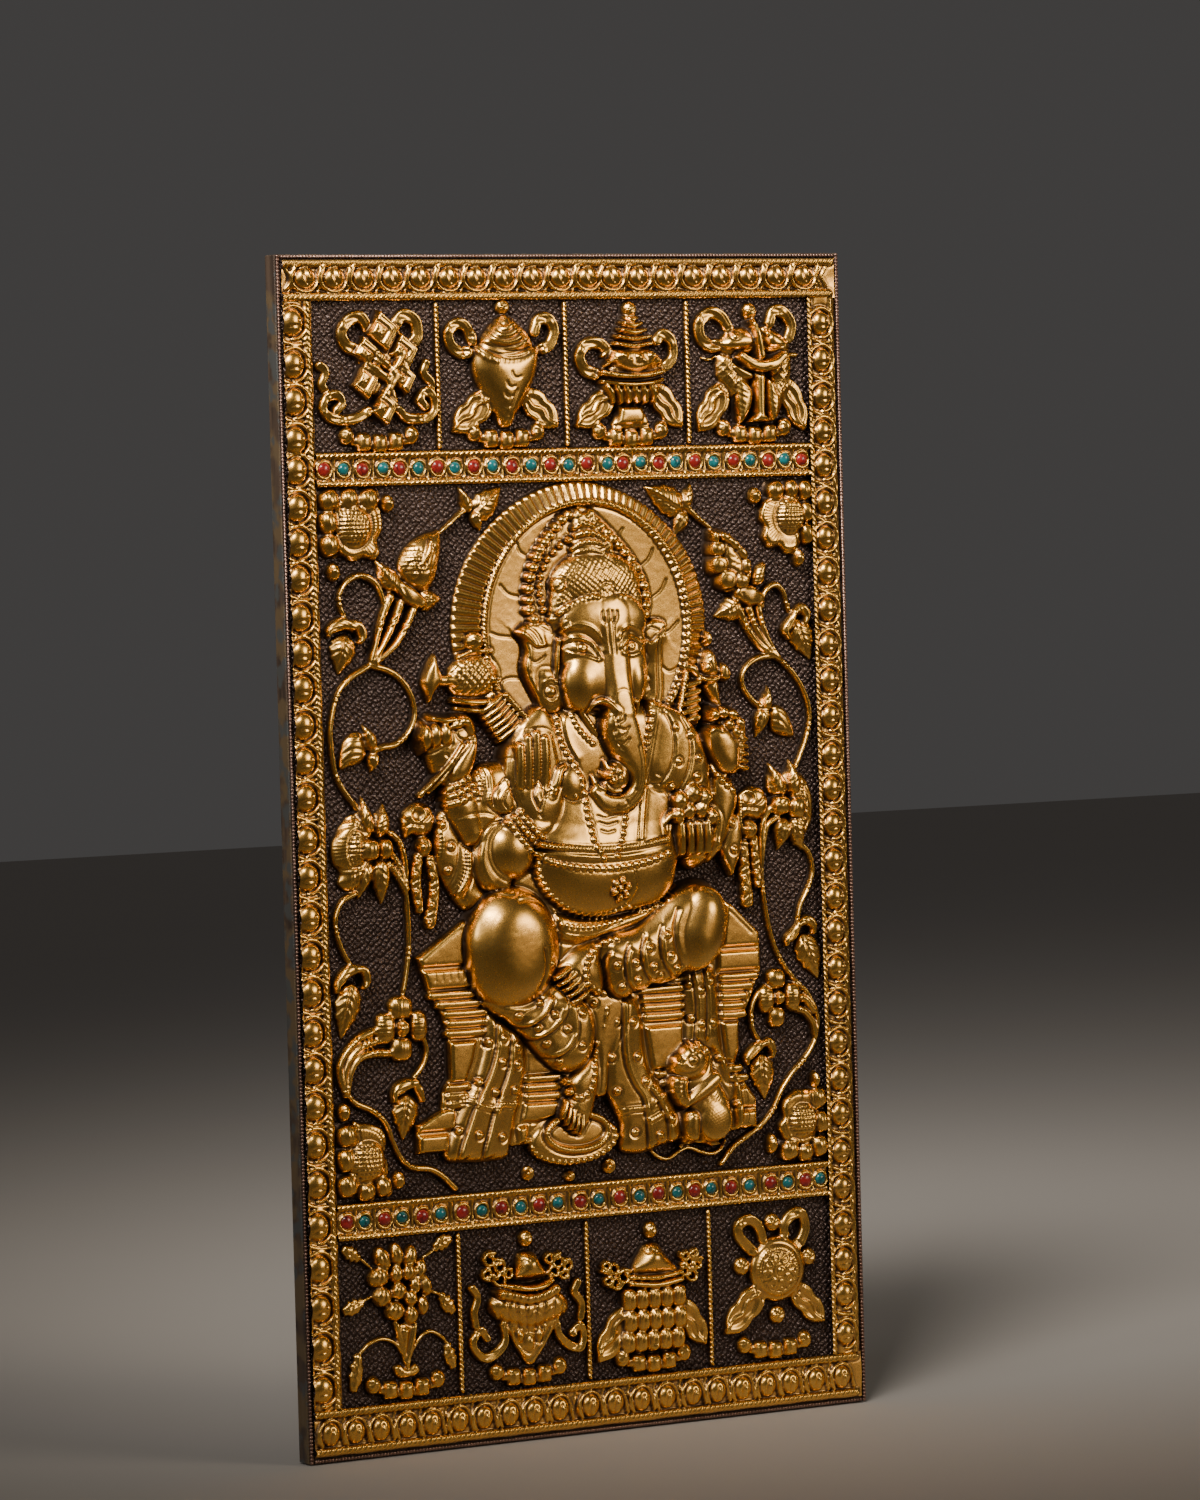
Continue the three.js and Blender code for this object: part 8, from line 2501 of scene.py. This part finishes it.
def cabochon(name, finish, light, dark, vein):
    """A polished opaque stone with clouds and dark veins."""
    made, bench, shader, place = material(name)
    marks = use_group(bench, finish, Blotch_Size=210.0, Rub_Size=1400.0)
    body = bench.mix(bench.ramp(marks.outputs["Blotches"], [(0.3, 0.0), (0.65, 1.0)]), light, dark)
    web = bench.cells(place, 330.0, 1.0, "DISTANCE_TO_EDGE")
    lines = bench.ramp(web, [(0.0, 1.0), (0.06, 0.4), (0.12, 0.0)])
    broken = bench.math("MULTIPLY", lines, bench.ramp(bench.noise(place, 150.0), [(0.45, 0.0), (0.62, 1.0)]))
    bench.put(shader.inputs["Base Color"], bench.mix(broken, body, vein))
    bench.put(shader.inputs["Roughness"], bench.ramp(marks.outputs["Rubbing"], [(0.3, 0.16), (0.8, 0.3)]))
    shader.inputs["Coat Weight"].default_value = 0.4
    shader.inputs["Coat Roughness"].default_value = 0.12
    return made


# How far from the board's middle the gilder's smears begin, in metres
SMEARED_SIDE = 0.1965
SMEARED_END = 0.3605


def board_paint(finish):
    """The board: dark stain with wood grain at the back, smeared with gold and grey at its edges."""
    made, bench, shader, place = material("stained_board")
    marks = use_group(bench, finish, Blotch_Size=55.0, Rub_Size=500.0)
    stretched = bench.add("ShaderNodeMapping")
    stretched.inputs["Scale"].default_value = (9.0, 9.0, 0.7)
    bench.put(stretched.inputs["Vector"], place)
    grain = bench.noise(stretched.outputs[0], 30.0, 6.0, 0.6)
    wood = bench.mix(
        bench.ramp(grain, [(0.35, 0.0), (0.65, 1.0)]), (0.055, 0.036, 0.026), (0.11, 0.07, 0.045))
    smear = bench.ramp(marks.outputs["Blotches"], [(0.44, 0.0), (0.56, 1.0)])
    grey = bench.ramp(bench.noise(place, 75.0, 4.0), [(0.5, 0.0), (0.6, 1.0)])
    where = bench.add("ShaderNodeSeparateXYZ")
    bench.put(where.inputs[0], place)
    side = bench.math("GREATER_THAN", bench.math("ABSOLUTE", where.outputs[0]), SMEARED_SIDE)
    end = bench.math("GREATER_THAN", bench.math("ABSOLUTE", where.outputs[2]), SMEARED_END)
    edge = bench.math("MAXIMUM", side, end)
    painted = bench.mix(bench.math("MULTIPLY", edge, smear), wood, (0.15, 0.10, 0.05))
    patched = bench.mix(bench.math("MULTIPLY", edge, grey), painted, (0.085, 0.085, 0.08))
    bench.put(shader.inputs["Base Color"], patched)
    bench.put(shader.inputs["Roughness"], bench.ramp(grain, [(0.3, 0.5), (0.7, 0.72)]))
    bench.put(shader.inputs["Normal"], bench.bump(grain, 0.3, 0.0006))
    return made


def plain_surface(name, colour, rough):
    """A matt surface with hardly any pattern."""
    made, bench, shader, place = material(name)
    soft = bench.noise(place, 3.0, 2.0)
    tone = bench.mix(soft, tuple(0.97 * c for c in colour), colour)
    bench.put(shader.inputs["Base Color"], tone)
    shader.inputs["Roughness"].default_value = rough
    return made


# The pieces of the sheet, and the board, wires and stones round them
def patina_and_shade_field(panel):
    """How sunk each spot lies among its neighbours, from 0 on a crest to 1 in a crevice, as a darkening
    painted onto the brass: patina in the recesses with painted shade added.
    """
    top = np.maximum(panel.h, 0.0)
    cell = panel.step
    # near: patina in chased lines and small recesses, deepened into painted shade in crevices; crests come
    # out lighter
    near = np.clip(gauss(top, 0.9 / cell) - top, -0.8, 0.8)
    # wide: painted shade at the feet of tall forms
    wide = np.clip(gauss(top, 3.2 / cell) - top, -2.0, 2.5)
    # steep: painted shade on steep walls
    slope = np.hypot(*np.gradient(top, cell))
    steep = np.clip(slope - 1.2, 0, 1.5)
    # low: painted shade on the metal just above the bare ground
    low = np.clip(1 - top / STRIP_H, 0, 1) * 0.3
    return np.clip(0.30 + 0.28 * near + 0.04 * wide + 0.12 * steep + low, 0, 1)


def new_object(name, mesh):
    """A mesh put into the scene under its name."""
    obj = bpy.data.objects.new(name, mesh)
    bpy.context.collection.objects.link(obj)
    return obj


def mesh_from(name, bm, smooth=True):
    """A bmesh closed into a mesh with every face alike."""
    mesh = bpy.data.meshes.new(name)
    bm.to_mesh(mesh)
    bm.free()
    mesh.polygons.foreach_set("use_smooth", np.full(len(mesh.polygons), smooth))
    return mesh


def mesh_object(name, bm, smooth=True):
    """Closes a bmesh into an object in metres from mm."""
    bmesh.ops.scale(bm, vec=(MM, MM, MM), verts=bm.verts)
    return new_object(name, mesh_from(name, bm, smooth))


def box_mm(bm, low, high):
    """A box between two corners."""
    made = bmesh.ops.create_cube(bm, size=1)["verts"]
    size = [b - a for a, b in zip(low, high)]
    bmesh.ops.scale(bm, vec=size, verts=made)
    bmesh.ops.translate(bm, vec=[(a + b) / 2 for a, b in zip(low, high)], verts=made)
    return made


def solid_box(node):
    """The corners of a solid's box, in mm."""
    return [[c / MM for c in corner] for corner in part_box(node)]


def dress(obj, made, slot_name, *nodes):
    """Gives a piece its material, puts it under the root body and hides the solids that it stands for."""
    obj.data.materials.clear()
    obj.data.materials.append(made)
    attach(obj, "root")
    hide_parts(*nodes)


# A cell of the grid is left out where none of its corners stands this far above the ground sheet
ABOVE_GROUND = 0.02
SOFTEN = 0.36


def cell_corners(field):
    """The four corner values of every cell of a grid."""
    return np.stack([field[:-1, :-1], field[:-1, 1:], field[1:, 1:], field[1:, :-1]])


def relief_piece(panel, name, patina_and_shade, made):
    """The part of a panel that one piece owns, as a mesh of its grid's cells."""
    h = np.maximum(panel.h, KEEP_ABOVE)
    corners, owners = cell_corners(h), cell_corners(panel.owner)
    highest = np.take_along_axis(owners, corners.argmax(0)[None], 0)[0]
    keep = (highest == panel.names.index(name)) & (corners.max(0) > ABOVE_GROUND)
    rows, columns = np.where(keep.any(1))[0], np.where(keep.any(0))[0]
    j0, j1, i0, i1 = rows[0], rows[-1] + 1, columns[0], columns[-1] + 1
    bm = bmesh.new()
    bmesh.ops.create_grid(bm, x_segments=int(i1 - i0), y_segments=int(j1 - j0), size=0.5)
    bare = [face for face, wanted in zip(bm.faces, keep[j0:j1, i0:i1].ravel()) if not wanted]
    bmesh.ops.delete(bm, geom=bare, context="FACES")
    mesh = mesh_from(name, bm)
    flat = np.empty(3 * len(mesh.vertices), np.float32)
    mesh.vertices.foreach_get("co", flat)
    flat = flat.reshape(-1, 3)
    i = i0 + np.round((flat[:, 0] + 0.5) * (i1 - i0)).astype(int)
    j = j0 + np.round((flat[:, 1] + 0.5) * (j1 - j0)).astype(int)
    placed = np.stack([panel.x[i], -(GROUND + h[j, i]), panel.z[j]], 1) * MM
    mesh.vertices.foreach_set("co", placed.astype(np.float32).ravel())
    # each vertex carries its painted patina and shade for the brass colour
    layer = mesh.attributes.new("patina_and_shade", "FLOAT", "POINT")
    layer.data.foreach_set("value", patina_and_shade[j, i].astype(np.float32))
    mesh.update()
    dress(new_object(name, mesh), made, "brass", "relief_sheet")


def finish_panel(panel, made):
    """Softens the sheet a little, as metal is, and makes its pieces."""
    soft = gauss(np.maximum(panel.h, KEEP_ABOVE), SOFTEN / panel.step)
    panel.h = np.minimum(np.where(panel.h > SUNK, soft, panel.h), TOP_LEVEL)
    # painted patina and shade, darkening the brass in recesses, at the feet of forms and on steep walls
    patina_and_shade = patina_and_shade_field(panel)
    for name in panel.names:
        relief_piece(panel, name, patina_and_shade, made)


def soft_box(name, low, high, offset, segments):
    """A box with softened edges."""
    bm = bmesh.new()
    box_mm(bm, low, high)
    bmesh.ops.bevel(
        bm, geom=bm.edges[:], offset=offset, offset_type="OFFSET", segments=segments, profile=0.5,
        affect="EDGES", material=-1)
    return mesh_object(name, bm, False)


# The ground sheet's half width and half height, and its thickness, which leaves a hair's gap to the board
SHEET_HALF = (194.1, 358.2)
SHEET_THICK = 0.98


def ground_sheet(made):
    """The flat sheet behind the raised forms."""
    half_x, half_z = SHEET_HALF
    low, high = (-half_x, -GROUND, -half_z), (half_x, -GROUND + SHEET_THICK, half_z)
    dress(soft_box("ground_sheet", low, high, 0.3, 2), made, "brass", "relief_sheet")


def backing_board(made):
    """The board, with softened edges."""
    low, high = solid_box("backing_board")
    dress(soft_box("dressed_board", low, high, 0.7, 3), made, "board", "backing_board")


BEAD_PITCH = 2.2
TIP_OVER = Matrix.Rotation(math.pi / 2, 3, "Y")


def beaded_wire(side, made):
    """A wire of round beads along the middle of its solid."""
    node = f"beaded_wire_{side}"
    low, high = solid_box(node)
    mid = [(a + b) / 2 for a, b in zip(low, high)]
    r = (high[1] - low[1]) / 2
    axis = 0 if side in ("top", "bottom") else 2
    length = high[axis] - low[axis]
    count = int(length / BEAD_PITCH)
    squash = [1, 1, 1]
    squash[axis] = 0.78
    bm = bmesh.new()
    for k in range(count):
        verts = bmesh.ops.create_uvsphere(bm, u_segments=7, v_segments=5, radius=r * 1.05)["verts"]
        if axis == 0:
            bmesh.ops.rotate(bm, verts=verts, matrix=TIP_OVER)
        bmesh.ops.scale(bm, vec=squash, verts=verts)
        centre = list(mid)
        centre[axis] = low[axis] + length * (k + 0.5) / count
        bmesh.ops.translate(bm, vec=centre, verts=verts)
    core = [r * 0.6] * 3
    core[axis] = (length - 1) / 2
    box_mm(bm, [m - c for m, c in zip(mid, core)], [m + c for m, c in zip(mid, core)])
    dress(mesh_object(f"{node}_beads", bm), made, "wire", node)


UPPER_Z = 233
LOWER_Z = -218
STONE_H = 2.9


def set_stones(colour, made, first, size):
    """Every other stone of both bands, as low polished domes in their bezels."""
    bm = bmesh.new()
    nodes = []
    for row, places, z in (("upper", UPPER_STONES, UPPER_Z), ("lower", LOWER_STONES, LOWER_Z)):
        for i in range(first, len(places), 2):
            nodes.append(f"stone_{row}_{i + 1:02d}")
            r = size * (1 + 0.05 * math.sin(3.1 * i + z))
            x = places[i] - LEAN * (BEZEL_H - READ_LEVEL)
            verts = bmesh.ops.create_uvsphere(bm, u_segments=14, v_segments=10, radius=1.0)["verts"]
            bmesh.ops.scale(bm, vec=(r, 2.6, r * (1 + 0.04 * math.cos(5 * i))), verts=verts)
            place = (x, -(GROUND + STONE_H), z + 0.5 * math.sin(2.3 * i + z))
            bmesh.ops.translate(bm, vec=place, verts=verts)
    dress(mesh_object(f"{colour}_stones", bm), made, colour, *nodes)


# The camera, fitted to the corners and bands of the photographed plaque
CAMERA_YAW = math.radians(30.0)
CAMERA_PITCH = math.radians(2.332)
CAMERA_ROLL = math.radians(-1.532)
CAMERA_REACH = (-0.01257, 0.05835, 3.67411)
FACE_PLANE_Y = -0.0134
LENS = 144.0
SENSOR = 36.0


def photo_camera():
    """A long lens from the left at the photo's angle."""
    ca, sa = math.cos(CAMERA_YAW), math.sin(CAMERA_YAW)
    cp, sp = math.cos(CAMERA_PITCH), math.sin(CAMERA_PITCH)
    cr, sr = math.cos(CAMERA_ROLL), math.sin(CAMERA_ROLL)
    yaw = np.array([[ca, -sa, 0], [sa, ca, 0], [0, 0, 1]])
    swap = np.array([[1, 0, 0], [0, 0, -1], [0, 1, 0]])
    pitch = np.array([[1, 0, 0], [0, cp, -sp], [0, sp, cp]])
    roll = np.array([[cr, -sr, 0], [sr, cr, 0], [0, 0, 1]])
    m = roll @ pitch @ swap @ yaw
    where = -m.T @ np.array(CAMERA_REACH) + np.array([0, FACE_PLANE_Y, 0])
    data = bpy.data.cameras.new("photo_camera")
    data.lens = LENS
    data.sensor_fit = "VERTICAL"
    data.sensor_height = SENSOR
    data.clip_end = 50
    obj = bpy.data.objects.new("photo_camera", data)
    bpy.context.collection.objects.link(obj)
    axes = np.stack([m[0], -m[1], -m[2], where], 1)
    obj.matrix_world = Matrix([list(row) for row in axes] + [[0, 0, 0, 1]])
    bpy.context.scene.camera = obj


def soft_light(name, where, target, size, power, colour, spread):
    """A flat lamp that looks at its target, with its light kept to a cone."""
    data = bpy.data.lights.new(name, "AREA")
    data.shape = "RECTANGLE"
    data.size, data.size_y = size
    data.energy = power
    data.color = colour
    data.spread = math.radians(spread)
    obj = bpy.data.objects.new(name, data)
    bpy.context.collection.objects.link(obj)
    obj.location = where
    way = Vector(target) - Vector(where)
    obj.rotation_euler = way.to_track_quat("-Z", "Y").to_euler()


FLOOR_REACH = 6000
FLOOR_Z = -362.2
FLOOR_THICK = 29.8


def studio():
    """A plain pale floor and soft lamps."""
    bm = bmesh.new()
    box_mm(bm, (-FLOOR_REACH, -FLOOR_REACH, FLOOR_Z - FLOOR_THICK), (FLOOR_REACH, FLOOR_REACH, FLOOR_Z))
    floor = mesh_object("studio_floor", bm, False)
    floor.data.materials.append(plain_surface("pale_floor", (0.52, 0.48, 0.44), 0.75))
    soft_light("key", (-0.95, -0.95, 1.5), (0, 0, 0.52), (0.75, 0.75), 4.5, (1.0, 0.95, 0.88), 42)
    soft_light("side", (-2.5, -0.9, 1.1), (0, 0, 0.25), (0.5, 1.0), 1.2, (1.0, 0.97, 0.92), 60)
    soft_light("fill", (1.9, -2.7, 1.42), (0, 0, 0.76), (1.8, 1.9), 6.0, (1.0, 0.90, 0.72), 44)
    soft_light("low", (1.7, -2.6, -0.05), (0, 0, -0.02), (1.2, 0.5), 0.062, (1.0, 0.70, 0.46), 50)
    world = bpy.data.worlds.new("studio")
    bpy.context.scene.world = world
    world.use_nodes = True
    back = world.node_tree.nodes["Background"]
    back.inputs["Color"].default_value = (0.44, 0.42, 0.41, 1)
    back.inputs["Strength"].default_value = 0.13


# Where the panels of the sheet begin and end
SHEET_X = (-194.2, 193.4)
FIELD_X = (-175.2, 172.0)
TOP_Z = (333.6, 358.1)
BOTTOM_Z = (-357.6, -329.2)
SIDE_Z = (BOTTOM_Z[1], TOP_Z[0])


def make_panel(brass, x_edges, z_edges, step, *works):
    """Raises one panel of the sheet, work by work, on a grid of this step in mm, and makes its pieces."""
    panel = Relief(*x_edges, *z_edges, step)
    for work in works:
        work(panel)
    finish_panel(panel, brass)


def make_borders(brass):
    """The four strips round the sheet."""
    make_panel(brass, SHEET_X, TOP_Z, 0.68, top_border)
    make_panel(brass, SHEET_X, BOTTOM_Z, 0.7, bottom_border)
    left = lambda panel: side_border(panel, "border_left", LEFT_BOSSES, -177.3, -194.0, -180.6, -187.6, 7.4)
    make_panel(brass, (-194.6, FIELD_X[0]), SIDE_Z, 0.74, left)
    right = lambda panel: side_border(panel, "border_right", RIGHT_BOSSES, 174.4, 190.4, 177.6, 182.8, 6.6)
    make_panel(brass, (FIELD_X[1], SHEET_X[1]), SIDE_Z, 0.76, right)


def make_stone_bands(brass):
    """The two strips of collars."""
    for name, z, low, high, stones in (
        ("stone_band_upper", UPPER_Z, 224.8, 241.4, UPPER_STONES),
        ("stone_band_lower", LOWER_Z, -227, -208.8, LOWER_STONES),
    ):
        band = lambda panel: stone_band(panel, name, z, low, high, stones)
        make_panel(brass, FIELD_X, (low - 3, high + 3), 0.69, band)


def make_field(brass):
    """The two rows of symbols and the figure between them."""
    cords = lambda panel: symbol_dividers(panel, "upper_dividers", (-90.5, -1.5, 85), 331, 245.5)
    upper = (endless_knot, conch_shell, treasure_vase, golden_fish, cords)
    make_panel(brass, FIELD_X, (243, TOP_Z[0]), 0.67, *upper)
    cords = lambda panel: symbol_dividers(panel, "lower_dividers", (-93, -3.4, 84), -232, -327)
    lower = (lotus_plant, parasol, victory_banner, dharma_wheel, cords)
    make_panel(brass, FIELD_X, (-329.4, -229), 0.68, *lower)
    make_panel(brass, FIELD_X, (-206.4, 222.4), 0.69, centre_panel)


# Colours of each stone: its light clouds, its dark ones and its veins
CORAL = ((0.42, 0.028, 0.022), (0.24, 0.016, 0.013), (0.05, 0.006, 0.006))
TURQUOISE = ((0.014, 0.22, 0.25), (0.010, 0.13, 0.13), (0.006, 0.02, 0.02))


def make_all():
    """The photo's camera, every piece of the plaque, and the studio round it."""
    photo_camera()
    finish = hand_finish_group()
    brass = gilt_brass(finish)
    make_borders(brass)
    make_stone_bands(brass)
    make_field(brass)
    ground_sheet(punched_ground(finish))
    backing_board(board_paint(finish))
    wire = coppery_wire(finish)
    for side in ("top", "bottom", "left", "right"):
        beaded_wire(side, wire)
    set_stones("coral", cabochon("coral", finish, *CORAL), 0, 4.15)
    set_stones("turquoise", cabochon("turquoise", finish, *TURQUOISE), 1, 3.8)
    studio()


make_all()
